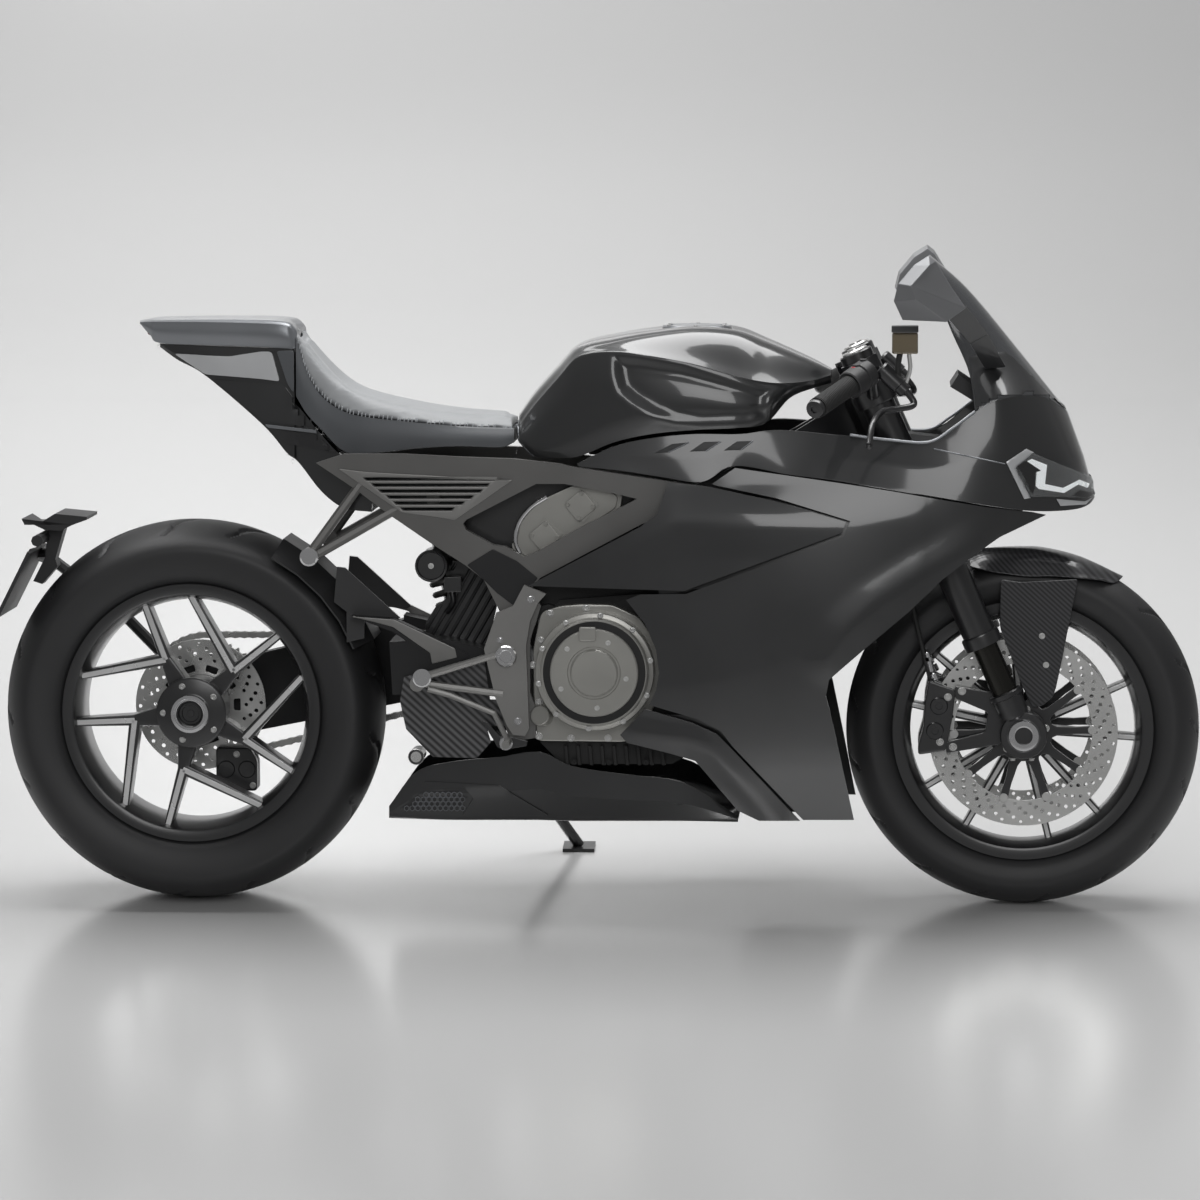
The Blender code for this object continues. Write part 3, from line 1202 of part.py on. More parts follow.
# Nose: grid of points from the right rear tip round the front to the left
NOSE_GRID = (
    # each column: (px, py, half) at the top edge, at mid height, at the lower edge
    ((577, 463.5, 0.150), (578, 465, 0.151), (579, 466.5, 0.152)),
    ((615, 446, 0.154), (617, 458, 0.158), (619, 470.5, 0.162)),
    ((652, 438, 0.158), (655, 456, 0.164), (658, 476.5, 0.168)),
    ((694, 434, 0.160), (698, 458, 0.168), (702, 482, 0.174)),
    ((740, 434, 0.160), (738, 450, 0.166), (734, 466, 0.170)),
    ((780, 430, 0.158), (785, 456, 0.174), (790, 475, 0.186)),
    ((850, 436, 0.160), (846, 458, 0.180), (839, 481, 0.198)),
    ((929, 443, 0.162), (932, 468, 0.180), (936, 497, 0.194)),
    ((975, 412, 0.156), (980, 460, 0.174), (985, 505, 0.184)),
    ((1005, 398, 0.150), (1018, 455, 0.155), (1032, 511, 0.152)),
    ((1040, 396, 0.100), (1058, 456, 0.112), (1070, 510, 0.108)),
    ((1062, 408, 0.045), (1078, 456, 0.060), (1088, 505, 0.062)),
    ((1068, 412, 0.000), (1084, 456, 0.000), (1095, 496, 0.000)),
)


SHELL_RISE_SHARE = 0.3


def shell(name, columns, thick, centre, lift=0.0, sides=0):
    """Thin shell through columns of points, thickened towards a point inside and lifted away from it."""
    bm = bmesh.new()
    shells = []
    for inward in (-lift, thick - lift):
        grid = []
        for column in columns:
            row = []
            for point in column:
                to_middle = Vector((centre[0] - point.x, -point.y, centre[1] - point.z))
                to_middle.z *= SHELL_RISE_SHARE
                to_middle.x = min(to_middle.x, abs(point.y))
                row.append(bm.verts.new(point + to_middle.normalized() * inward))
            grid.append(row)
        shells.append(grid)
    across = len(columns) - 1
    down = len(columns[0]) - 1
    for grid in shells:
        for i in range(across):
            for j in range(down):
                a, b, c, d = grid[i][j], grid[i + 1][j], grid[i + 1][j + 1], grid[i][j + 1]
                if (sides or across / 2 - i - 0.5) > 0:
                    bm.faces.new((a, b, c))
                    bm.faces.new((a, c, d))
                else:
                    bm.faces.new((a, b, d))
                    bm.faces.new((b, c, d))
    outer, inner = shells
    rim = [(i, 0) for i in range(across)] + [(across, j) for j in range(down)]
    rim += [(i, down) for i in range(across, 0, -1)] + [(0, j) for j in range(down, 0, -1)]
    for one, two in zip(rim, rim[1:] + rim[:1]):
        bm.faces.new((outer[one[0]][one[1]], outer[two[0]][two[1]], inner[two[0]][two[1]], inner[one[0]][one[1]]))
    return shape(bm, name)


def round_front(columns, inset=0.0):
    """Columns of the right half with their twins on the left."""
    right = [[spot(px, py, max(0.0, half - inset)) for px, py, half in column] for column in columns]
    left = [[Vector((p.x, -p.y, p.z)) for p in column] for column in reversed(right[:-1])]
    return right + left


NOSE_CENTRE = flat(((926, 469),), 0.0)[0]
NOSE_BOSS_PX = (1083.4, 456)
NOSE_BOSS_UP = 0.012
NOSE_BOSS_DOWN = 0.030
NOSE_BOSS_HALF = 0.020


def nose():
    """Upper fairing with the boss that sits on the stay."""
    made = shell("upper_fairing", round_front(NOSE_GRID), SKIN, NOSE_CENTRE)
    back = STAY_END.x + STAY_CROSS_RADIUS / 2
    front = spot(*NOSE_BOSS_PX, 0.0).x
    low = STAY_END.z - NOSE_BOSS_DOWN
    high = STAY_END.z + NOSE_BOSS_UP
    join(made, prism("nose_boss", [(back, low), (front, low), (front, high), (back, high)],
                     -NOSE_BOSS_HALF, NOSE_BOSS_HALF))
    node(made, "upper_fairing", "chassis", "satin_body")


nose()

# Screen: columns run up from the nose's top edge to the top of the screen
SCREEN_GRID = (
    # each column: (px, py, half) from the top edge down
    ((928, 275, 0.070), (951, 330, 0.098), (969, 372, 0.124), (975, 411.7, 0.1560)),
    ((928, 262, 0.064), (960, 318, 0.090), (986, 366, 0.117), (1005, 397.7, 0.1500)),
    ((929, 257, 0.040), (968, 302, 0.064), (1008, 352, 0.080), (1040, 395.7, 0.1000)),
    ((929.7, 255.5, 0.018), (969, 291.5, 0.030), (1018, 351, 0.038), (1062, 407.7, 0.0450)),
    ((930, 255, 0.000), (968, 290, 0.000), (1021, 353, 0.000), (1068, 411.7, 0.0000)),
)
SCREEN_CENTRE = (1.20, 0.80)
SCREEN_TAB = 0.010


def screen():
    """Windscreen standing on the nose."""
    made = shell("windscreen", round_front(SCREEN_GRID), SKIN, SCREEN_CENTRE)
    node(made, "windscreen", "chassis", "screen")


screen()

LAMP_PX = ((1032, 453), (1089, 477), (1096, 494), (1084, 500), (1063, 498), (1030, 497), (1014, 468))
LAMP_COLUMNS = 9
LAMP_THICK = 0.004
LAMP_BAND = (0.030, 0.200)


def lamp(word, side):
    """Headlight glass that lies on the nose."""
    columns = [[spot(px, py, half, side) for px, py, half in column] for column in NOSE_GRID[LAMP_COLUMNS - 1:]]
    made = shell("lamp", columns, LAMP_THICK, NOSE_CENTRE, LAMP_THICK + GAP, 1)
    outline = [(p.x, p.z) for p in (spot(px, py, 0.11) for px, py in LAMP_PX)]
    keep(made, prism("lamp_trim", outline, side * LAMP_BAND[0], side * LAMP_BAND[1]))
    node(made, f"headlight_{word}", "chassis", "lamp")


both(lamp)

# Belly pan: open tray under the engine
BELLY_ROWS = (
    # px, upper py, lower py, half at upper edge, half at lower edge
    (389, 806, 818, 0.095, 0.080),
    (416, 772, 819, 0.112, 0.085),
    (450, 762, 820, 0.122, 0.088),
    (500, 757, 820, 0.132, 0.090),
    (540, 752, 820, 0.138, 0.092),
    (572, 766, 821, 0.142, 0.094),
    (630, 775, 821, 0.146, 0.094),
    (685, 783, 821, 0.148, 0.092),
    (738, 816, 822, 0.120, 0.090),
)
BELLY_THICK = 0.003
BELLY_STUDS_PX = ((520, 755), (640, 780))
BELLY_STUD_HALF = 0.020
SUMP_HALF = 0.085
SUMP_PX = ((548, 755), (680, 755), (672, 790), (556, 790))


def belly():
    """Belly pan as an open tray with its own standoffs."""
    rings = []
    for px, upper, lower, w_upper, w_lower in BELLY_ROWS:
        a = spot(px, upper, w_upper)
        b = spot(px, (upper + lower * 2) / 3, w_upper + 0.002)
        c = spot(px, lower, w_lower)
        outer = [a, b, c, Vector((c.x, -c.y, c.z)), Vector((b.x, -b.y, b.z)), Vector((a.x, -a.y, a.z))]
        lift = Vector((0, 0, BELLY_THICK))
        inner = []
        for p in reversed(outer):
            sign = -1 if p.y < 0 else 1
            inner.append(Vector((p.x, p.y - sign * BELLY_THICK, p.z)) + (lift if abs(p.z - c.z) < 0.0005 else Vector()))
        rings.append(outer + inner)
    made = loft("belly_pan", rings)
    low = spot(600, 819, 0.0)
    block = spot(600, 764, ENGINE_HALF)
    for px in (590, 650):
        x = spot(px, 760, ENGINE_HALF).x
        join(made, box("standoff", (x - 0.012, -0.05, low.z - 0.001), (x + 0.012, 0.05, block.z - GAP)))
    node(made, "belly_pan", "chassis", "satin_body")


belly()

RADIATOR_PX = ((796.5, 667.8), (829.1, 527.8))
RADIATOR_MOUNT_PX = ((799.0, 603.8), (799.0, 589.0))
RADIATOR_MOUNT_LENGTH = 0.050
RADIATOR_MOUNT_THICK = 0.016
RADIATOR_THICK = 0.035
RADIATOR_HALF = 0.150


def radiator():
    """Radiator leaning back in front of the engine, with its two mounts."""
    (low_x, low_z), (high_x, high_z) = flat(RADIATOR_PX, 0.0)
    outline = [(low_x, low_z), (high_x, high_z), (high_x - RADIATOR_THICK, high_z), (low_x - RADIATOR_THICK, low_z)]
    made = prism("radiator", outline, -RADIATOR_HALF, RADIATOR_HALF)
    back = spot(*FRONT_BANK_PX[2], FRONT_BANK_HALF).x - RADIATOR_MOUNT_LENGTH
    (front, low), (front, high) = flat(RADIATOR_MOUNT_PX, FRONT_BANK_HALF)
    near = FRONT_BANK_HALF + GAP
    far = FRONT_BANK_HALF + RADIATOR_MOUNT_THICK
    join(made, box("radiator_mount", (back, -far, low), (front, -near, high)))
    join(made, box("radiator_mount", (back, near, low), (front, far, high)))
    node(made, "radiator", "chassis", "black_metal")


radiator()

# Mirrors on stalks from the nose
MIRROR_PX = ((929, 255), (914, 265), (898, 284), (894, 301), (902, 320), (946, 322), (964, 308), (936, 262))
MIRROR_IN = 0.235
MIRROR_OUT = 0.345
MIRROR_SHRINK = 0.80
MIRROR_STALK_PX = (950, 314)
MIRROR_STALK_HALF = 0.245
MIRROR_STALK_RADIUS = 0.010
MIRROR_CELL = ((0, 2), (1, 2), (1, 3), (0, 3))
MIRROR_FOOT_THICK = 0.006
MIRROR_FOOT_PX = ((968, 368), (990, 366), (1006, 392), (976, 408))


def mirror(word, side):
    """Mirror head on its stalk."""
    inner = [spot(px, py, MIRROR_IN, side) for px, py in MIRROR_PX]
    middle = sum(inner, Vector()) / len(inner)
    outer = []
    for p in inner:
        q = middle + (p - middle) * MIRROR_SHRINK
        outer.append(Vector((q.x, side * MIRROR_OUT, q.z - 0.004)))
    made = loft("mirror", [inner, outer])
    cell = [spot(*SCREEN_GRID[i][j], side) for i, j in MIRROR_CELL]
    centre = sum(cell, Vector()) / len(cell)
    away = Vector((centre.x - SCREEN_CENTRE[0], centre.y, (centre.z - SCREEN_CENTRE[1]) * 0.3)).normalized()
    stalk = rod("stalk", spot(*MIRROR_STALK_PX, MIRROR_STALK_HALF, side), centre + away * MIRROR_FOOT_THICK * 2.0, MIRROR_STALK_RADIUS, steps=8)
    columns = [[spot(px, py, half, side) for px, py, half in column[2:]] for column in SCREEN_GRID[:2]]
    foot = shell("mirror_foot", columns, MIRROR_FOOT_THICK, SCREEN_CENTRE, MIRROR_FOOT_THICK + GAP, 1)
    keep(foot, prism("foot_trim", flat(MIRROR_FOOT_PX, cell[0].y * side), side * LAMP_BAND[0], side * LAMP_BAND[1]))
    join(made, stalk, foot)
    node(made, f"mirror_{word}", "chassis", "satin_body")


both(mirror)

DASH_PX = ((958, 372), (1000, 400), (996, 412), (950, 384))
DASH_HALF = 0.085
DASH_FOOT_X = 1.330


def dash():
    """Instrument panel on a post from the stay."""
    made = prism("dash", flat(DASH_PX, 0.0), -DASH_HALF, DASH_HALF)
    start = on_fork(STAY_HEIGHT, 0, -AXIS_OFFSET + HEAD_RADIUS * 0.8)
    share = (DASH_FOOT_X - start.x) / (STAY_END.x - start.x)
    foot_z = start.z + (STAY_END.z - start.z) * share + STAY_RADIUS * 1.0
    top = spot(985, 402, 0.0)
    join(made, prism("post", [(DASH_FOOT_X - 0.010, foot_z + 0.0016), (DASH_FOOT_X + 0.010, foot_z + 0.0016), (top.x + 0.01, top.z), (top.x - 0.01, top.z)], -0.010, 0.010))
    node(made, "dash", "chassis", "plastic")


dash()

# Footrests with pedal, and the guard below them
REST_PX = ((524, 585), (513, 606), (496, 613), (493, 623), (484, 649), (488, 667), (496, 700), (507, 726), (513, 735), (525, 736),
           (529, 729), (528, 700), (526, 646), (530, 621), (538, 603), (546, 594))
REST_THICK = 0.010
REST_IN = {-1: FRAME_OUT + GAP, 1: 0.1880}
REST_ARMS_PX = (((424, 677), (496, 655)), ((424, 684), (503, 694)))
REST_ARM_RADIUS = 0.0065
PEG_PX = (422, 678)
PEG_RADIUS = 0.0125
PEG_OUT = 0.265
PEDAL_PX = ((428, 689), (450, 695), (494, 713), (508, 741))
PEDAL_RADIUS = 0.0050
PEDAL_TIP_OUT = 0.225
REST_SPACERS_PX = ((532, 599), (505, 672))
REST_SPACER_RADIUS = 0.010


def footrest(word, side):
    """Footrest plate with its arms, peg and pedal."""
    y_in = REST_IN[side]
    y_out = y_in + REST_THICK
    made = prism("footrest", flat(REST_PX, FRAME_OUT + REST_THICK), side * y_in, side * y_out)
    mid = y_in + REST_ARM_RADIUS + GAP
    peg = spot(*PEG_PX, FRAME_OUT + REST_THICK)
    join(made, rod("peg", (peg.x, side * (y_in + 0.001), peg.z), (peg.x, side * PEG_OUT, peg.z), PEG_RADIUS))
    for one, two in REST_ARMS_PX:
        a = spot(*one, FRAME_OUT + REST_THICK)
        b = spot(*two, FRAME_OUT + REST_THICK)
        join(made, rod("rest_arm", (a.x, side * mid, a.z), (b.x, side * mid, b.z), REST_ARM_RADIUS, steps=8))
    path = []
    for number, (px, py) in enumerate(PEDAL_PX):
        p = spot(px, py, FRAME_OUT + REST_THICK)
        path.append((p.x, side * (y_out + 0.002), p.z))
    join(made, tube("pedal", path, PEDAL_RADIUS))
    end = path[-1]
    join(made, rod("toe", (end[0], side * (y_out - 0.004), end[2]), (end[0], side * PEDAL_TIP_OUT, end[2]), PEDAL_RADIUS * 1.4, steps=8))
    if side > 0:
        for px, py in REST_SPACERS_PX:
            p = spot(px, py, FRAME_OUT + REST_THICK)
            join(made, rod("spacer", (p.x, FRAME_OUT + GAP, p.z), (p.x, y_in + OVERLAP, p.z), REST_SPACER_RADIUS, steps=8))
    node(made, f"footrest_{word}", "chassis", "frame_grey")


both(footrest)

GUARD_PX = ((404, 677), (432, 670), (458, 662), (484, 657), (490, 700), (486, 726), (491, 742), (477, 758), (433, 757), (406, 729), (400, 701))
GUARD_IN = 0.1370
GUARD_OUT = 0.1397


def guard():
    """Carbon guard between the footrest and the rear wheel on the right side."""
    made = plate("heel_guard", GUARD_PX, GUARD_IN, GUARD_OUT, -1)
    inner = plate("guard_pad", ((470, 700), (512, 700), (512, 726), (470, 726)), GUARD_IN - 0.007, GUARD_OUT, -1)
    join(made, inner)
    node(made, "heel_guard", "chassis", "carbon")


guard()

# Swingarm on the left, its cross piece and its right lug
PIVOT = (0.545, 0.405)
PIVOT_RADIUS = 0.030
ARM_HUB_RADIUS = 0.078
ARM_HUB_IN = 0.0750
ARM_HUB_OUT = 0.1500
ARM_BORE_RADIUS = 0.0298
ARM_REAR_IN = 0.1065
ARM_REAR_OUT = 0.1480
ARM_FRONT_IN = 0.0800
ARM_FRONT_OUT = 0.1370
ARM_REAR_OUTLINE = ((-0.050, 0.380), (-0.060, 0.290), (0.060, 0.268), (0.420, 0.340), (0.440, 0.455), (0.350, 0.470), (0.060, 0.400))
ARM_FRONT_OUTLINE = ((0.350, 0.480), (0.350, 0.345), (0.430, 0.350), (0.560, 0.378), (0.570, 0.425), (0.480, 0.450))
ARM_CROSS_OUTLINE = ((0.345, 0.455), (0.350, 0.365), (0.560, 0.380), (0.565, 0.430), (0.440, 0.460))
ARM_LUG_PX = ((351, 616), (394, 619), (456, 648), (470, 655), (456, 664), (431, 672), (430, 658), (393, 632))
ARM_LUG_IN = 0.1095
ARM_LUG_OUT = 0.1360


def swingarm():
    """Single-sided swingarm with the bearing bore for the wheel's shaft."""
    made = prism("swingarm", ARM_REAR_OUTLINE, ARM_REAR_IN, ARM_REAR_OUT)
    front = prism("arm_front", ARM_FRONT_OUTLINE, ARM_FRONT_IN, ARM_FRONT_OUT)
    cross = prism("arm_cross", ARM_CROSS_OUTLINE, -ARM_LUG_OUT + 0.002, ARM_FRONT_IN + 0.02)
    pivot = rod("arm_pivot", (PIVOT[0], -FRAME_IN + GAP, PIVOT[1]), (PIVOT[0], FRAME_IN - GAP, PIVOT[1]), PIVOT_RADIUS, steps=WHEEL_STEPS)
    hub = rod("arm_hub", (0, ARM_HUB_IN, REAR_RADIUS), (0, ARM_HUB_OUT, REAR_RADIUS), ARM_HUB_RADIUS, steps=WHEEL_STEPS)
    lug = plate("arm_lug", ARM_LUG_PX, ARM_LUG_IN, ARM_LUG_OUT, -1)
    join(made, hub, front, cross, pivot, lug)
    bore = rod("arm_bore", (0, ARM_HUB_IN - OVERLAP, REAR_RADIUS), (0, ARM_HUB_OUT + OVERLAP, REAR_RADIUS), ARM_BORE_RADIUS, steps=WHEEL_STEPS)
    cut(made, bore)
    node(made, "swingarm", "chassis", "frame_grey")


swingarm()

# Shock with its reservoir, seated on the swingarm's cross piece and on a frame tube
SHOCK_TOP_PX = (436, 515)
SHOCK_LOW = (0.470, 0.4590)
SHOCK_RADIUS = 0.030
SHOCK_ROD_RADIUS = 0.012
RES_PX = (431, 566)
RES_RADIUS = 0.026
RES_HALF = (0.030, 0.125)


def shock():
    """Rear shock absorber with a reservoir that shows on the right."""
    top = spot(*SHOCK_TOP_PX, FRAME_OUT)
    tube_at = spot(*CROSS_TUBES_PX[0], FRAME_OUT)
    high = Vector((tube_at.x, 0.0, tube_at.z - CROSS_RADIUS - GAP * 3))
    low = Vector((SHOCK_LOW[0], 0.0, SHOCK_LOW[1]))
    way = (low - high)
    made = rod("rear_shock", high + way * 0.12, high + way * 0.80, SHOCK_RADIUS)
    join(made, rod("shock_rod", high, high + way * 0.999, SHOCK_ROD_RADIUS))
    res = spot(*RES_PX, RES_HALF[1])
    join(made, rod("reservoir", (res.x, -RES_HALF[0], res.z), (res.x, -RES_HALF[1], res.z), RES_RADIUS))
    link = high + way * 0.35
    join(made, rod("link", (link.x, 0, link.z), (res.x, -RES_HALF[0] - 0.012, res.z), 0.012, steps=8))
    node(made, "rear_shock", "chassis", "black_metal")


shock()

HUGGER_DEGS = (22, 32, 42, 52, 62)
HUGGER_RADIUS = 0.334
HUGGER_THICK = 0.003
HUGGER_HALF = 0.060
HUGGER_SIDE_HALF = 0.1055
HUGGER_SIDE_RADIUS = 0.302
FIN_PX = ((337, 567), (345, 568), (400, 618), (395, 621), (352, 616), (334, 602))
FIN_HALF = (0.1010, 0.1090)
HUGGER_TAB_X = (0.270, 0.300)
HUGGER_TAB_TOP = 0.510
HUGGER_TAB_HALF = (0.1010, 0.1180, 0.1075)
HUGGER_STRAP_PX = ((352, 600), (398, 612), (398, 650), (360, 640))


def hugger():
    """Close rear fender with a fin on each side."""
    rings = []
    for angle in HUGGER_DEGS:
        turn = math.radians(angle)
        outward = Vector((math.cos(turn), 0.0, math.sin(turn)))
        centre = Vector((0.0, 0.0, REAR_RADIUS))
        outer = []
        for half, radius in ((-HUGGER_SIDE_HALF, HUGGER_SIDE_RADIUS), (-HUGGER_HALF, HUGGER_RADIUS), (HUGGER_HALF, HUGGER_RADIUS), (HUGGER_SIDE_HALF, HUGGER_SIDE_RADIUS)):
            outer.append(centre + outward * (radius + HUGGER_THICK) + Vector((0, half, 0)))
        inner = []
        for half, radius in ((HUGGER_SIDE_HALF - 0.002, HUGGER_SIDE_RADIUS), (HUGGER_HALF, HUGGER_RADIUS), (-HUGGER_HALF, HUGGER_RADIUS), (-HUGGER_SIDE_HALF + 0.002, HUGGER_SIDE_RADIUS)):
            inner.append(centre + outward * radius + Vector((0, half, 0)))
        rings.append(outer + inner)
    made = loft("rear_hugger", rings)
    for side in (-1, 1):
        join(made, plate("fin", FIN_PX, FIN_HALF[0], FIN_HALF[1], side))
    high, low = ARM_REAR_OUTLINE[-2], ARM_REAR_OUTLINE[-1]
    slope = (high[1] - low[1]) / (high[0] - low[0])
    feet = [(x, low[1] + slope * (x - low[0]) + GAP * 1.1) for x in HUGGER_TAB_X]
    outline = [feet[0], feet[1], (HUGGER_TAB_X[1], HUGGER_TAB_TOP), (HUGGER_TAB_X[0], HUGGER_TAB_TOP)]
    for side in (-1, 1):
        join(made, prism("hugger_tab", outline, side * HUGGER_TAB_HALF[0], side * HUGGER_TAB_HALF[1 if side > 0 else 2]))
    node(made, "rear_hugger", "chassis", "carbon")


hugger()

# Chain: one band with waisted links round both sprockets
CHAIN_IN = 0.1600
CHAIN_OUT = 0.1760
CHAIN_INNER_RADIUS = 0.1030
CHAIN_OUTER_RADIUS = 0.1160
CHAIN_SMALL_INNER = DRIVE_RADIUS + GAP
CHAIN_PITCH = 0.015875
CHAIN_WAIST = 0.0016


def belt(big, small, gap_in):
    """Closed path of a belt round two circles, as a list of points with their outward directions."""
    a = Vector(REAR_AXLE)
    b = Vector((DRIVE_X, DRIVE_Z))
    along = (b - a)
    length = along.length
    base = math.atan2(along.y, along.x)
    lean = math.acos((big - small) / length)
    return a, b, base, lean


def chain():
    """Drive chain as one closed band."""
    height = CHAIN_OUTER_RADIUS - CHAIN_INNER_RADIUS
    small_inner = CHAIN_SMALL_INNER
    a, b, base, lean = belt(CHAIN_INNER_RADIUS, small_inner, 0.0)
    points = []
    big_mid = CHAIN_INNER_RADIUS + height / 2
    small_mid = small_inner + height / 2
    big_arc = 2 * math.pi - 2 * lean
    small_arc = 2 * lean
    straight = math.sqrt((b - a).length ** 2 - (big_mid - small_mid) ** 2)
    total = big_mid * big_arc + small_mid * small_arc + 2 * straight
    count = int(round(total / CHAIN_PITCH)) * 2
    for step in range(count):
        s = total * step / count
        if s < big_mid * big_arc:
            angle = base + lean + s / big_mid
            place = (a, angle, big_mid)
        elif s < big_mid * big_arc + straight:
            angle = base - lean
            share = (s - big_mid * big_arc) / straight
            one = a + Vector((math.cos(angle), math.sin(angle))) * big_mid
            two = b + Vector((math.cos(angle), math.sin(angle))) * small_mid
            place = (one + (two - one) * share, angle, 0.0)
        elif s < big_mid * big_arc + straight + small_mid * small_arc:
            angle = base - lean + (s - big_mid * big_arc - straight) / small_mid
            place = (b, angle, small_mid)
        else:
            angle = base + lean
            share = (s - big_mid * big_arc - straight - small_mid * small_arc) / straight
            one = b + Vector((math.cos(angle), math.sin(angle))) * small_mid
            two = a + Vector((math.cos(angle), math.sin(angle))) * big_mid
            place = (one + (two - one) * share, angle, 0.0)
        origin, angle, radius = place
        out = Vector((math.cos(angle), math.sin(angle)))
        waist = CHAIN_WAIST if step % 2 else 0.0
        points.append((origin + out * (radius + height / 2 - waist), origin + out * (radius - height / 2 + waist * 0.5)))
    bm = bmesh.new()
    rows = []
    for outer, inner in points:
        rows.append([bm.verts.new((outer.x, CHAIN_IN, outer.y)), bm.verts.new((outer.x, CHAIN_OUT, outer.y)),
                     bm.verts.new((inner.x, CHAIN_OUT, inner.y)), bm.verts.new((inner.x, CHAIN_IN, inner.y))])
    for one, two in zip(rows, rows[1:] + rows[:1]):
        for i in range(4):
            j = (i + 1) % 4
            bm.faces.new((one[i], one[j], two[j], two[i]))
    node(shape(bm, "drive_chain"), "drive_chain", "chassis", "steel")


chain()

REAR_CALIPER = (0.028, -0.150, 0.100, -0.070)
REAR_CALIPER_HALF = (0.0300, 0.0747)
REAR_SLOT = (0.0448, 0.0602)
REAR_SLOT_RADIUS = 0.1190


def rear_caliper():
    """Rear caliper that reaches round the disc, bolted to the swingarm's hub."""
    x0, z0, x1, z1 = REAR_CALIPER
    made = prism("rear_caliper", [(x0, REAR_RADIUS + z0), (x1, REAR_RADIUS + z0 + 0.03), (x1, REAR_RADIUS + z1), (x0, REAR_RADIUS + z1)], *REAR_CALIPER_HALF)
    slot = rod("slot", (0, REAR_SLOT[0], REAR_RADIUS), (0, REAR_SLOT[1], REAR_RADIUS), REAR_SLOT_RADIUS, steps=WHEEL_STEPS * 2)
    cut(made, slot)
    node(made, "rear_caliper", "chassis", "black_metal")


rear_caliper()

# Plate hanger: an arm from the swingarm that runs behind the tyre
HANGER_WING_PX = ((27, 516), (30, 522), (44, 522), (52, 516), (60, 511), (92, 514), (92, 517), (78, 522), (66, 528), (50, 527))
HANGER_WING_HALF = 0.060
HANGER_STALK_PX = ((50, 526), (66, 527), (57, 558), (59, 565), (44, 583), (35, 580), (47, 556))
HANGER_STALK_HALF = 0.020
PLATE_PX = ((36, 547), (39, 549), (8, 612), (4, 612))
PLATE_HALF = 0.095
INDICATOR_PX = (46, 536)
INDICATOR_RADIUS = 0.010
INDICATOR_HALF = 0.100
HANGER_ARM = ((-0.0549, 0.1300, 0.3824), (-0.150, 0.1300, 0.480), (-0.262, 0.1300, 0.565), (-0.290, 0.060, 0.586), (-0.2460, 0.010, 0.590))
HANGER_ARM_RADIUS = 0.010


def hanger():
    """Rear hanger with lamp wing, indicators and the blank plate."""
    made = prism("plate_hanger", flat(HANGER_STALK_PX, 0.0), -HANGER_STALK_HALF, HANGER_STALK_HALF)
    join(made, prism("wing", flat(HANGER_WING_PX, 0.0), -HANGER_WING_HALF, HANGER_WING_HALF))
    join(made, prism("plate", flat(PLATE_PX, 0.0), -PLATE_HALF, PLATE_HALF))
    spot_in = spot(*INDICATOR_PX, 0.0)
    join(made, rod("indicators", (spot_in.x, -INDICATOR_HALF, spot_in.z), (spot_in.x, INDICATOR_HALF, spot_in.z), INDICATOR_RADIUS, steps=8))
    join(made, tube("hanger_arm", HANGER_ARM, HANGER_ARM_RADIUS))
    node(made, "plate_hanger", "chassis", "plastic")


hanger()

# Side stand: foot ahead of and outside its pivot, resting on its stop
LEAN = math.radians(LEAN_DEG)
STAND_PIVOT = Vector((0.490, 0.1760, 0.2880))
STAND_FOOT = (0.640, 0.300)
STAND_RADIUS = 0.0095
STAND_PIN_RADIUS = 0.0080
STAND_BORE_RADIUS = 0.0084
STAND_LUG_RADIUS = 0.018
STAND_FOOT_HALF = (0.028, 0.024)
STAND_FOOT_THICK = 0.006
STAND_EYE_HALF = 0.008


def ground_at(y):
    """Height of the ground in the upright frame, below a point y to the left."""
    lift = TYRE_CROWN_RADIUS * (1.0 - math.cos(LEAN))
    return y * math.tan(LEAN) - lift / math.cos(LEAN)


def side_stand():
    """Side stand leg with its foot flat on the ground."""
    foot_z = ground_at(STAND_FOOT[1])
    foot = Vector((STAND_FOOT[0], STAND_FOOT[1], foot_z))
    eye = rod("eye", STAND_PIVOT + Vector((0, -STAND_EYE_HALF, 0)), STAND_PIVOT + Vector((0, STAND_EYE_HALF, 0)), STAND_LUG_RADIUS, steps=16)
    made = rod("side_stand", STAND_PIVOT, foot + Vector((0, 0, STAND_FOOT_THICK)), STAND_RADIUS)
    pad = loft("foot", [
        [Vector((foot.x + sx * STAND_FOOT_HALF[0], foot.y + sy * STAND_FOOT_HALF[1], ground_at(foot.y + sy * STAND_FOOT_HALF[1]) + lift))
         for sx, sy in ((-1, -1), (1, -1), (1, 1), (-1, 1))] for lift in (0.0, STAND_FOOT_THICK)])
    join(made, eye, pad)
    bore = rod("stand_bore", STAND_PIVOT + Vector((0, -0.03, 0)), STAND_PIVOT + Vector((0, 0.03, 0)), STAND_BORE_RADIUS, steps=16)
    cut(made, bore)
    node(made, "side_stand", "side_stand", "black_metal")


side_stand()
STAND_BRACKET_Z = (0.270, 0.314)
STAND_BRACKET_FORE = 0.575


def stand_bracket():
    """Bracket and pin that carry the side stand, on the left frame plate."""
    low, high = STAND_BRACKET_Z
    made = rod("stand_bracket", STAND_PIVOT + Vector((0, -STAND_EYE_HALF - 0.006, 0)), STAND_PIVOT + Vector((0, STAND_EYE_HALF + 0.003, 0)), STAND_PIN_RADIUS, steps=16)
    join(made, box("bracket", (STAND_PIVOT.x - 0.016, FRAME_OUT + GAP, low), (STAND_BRACKET_FORE, STAND_PIVOT.y - STAND_EYE_HALF - 0.001, high)))
    node(made, "stand_bracket", "chassis", "black_metal")


stand_bracket()


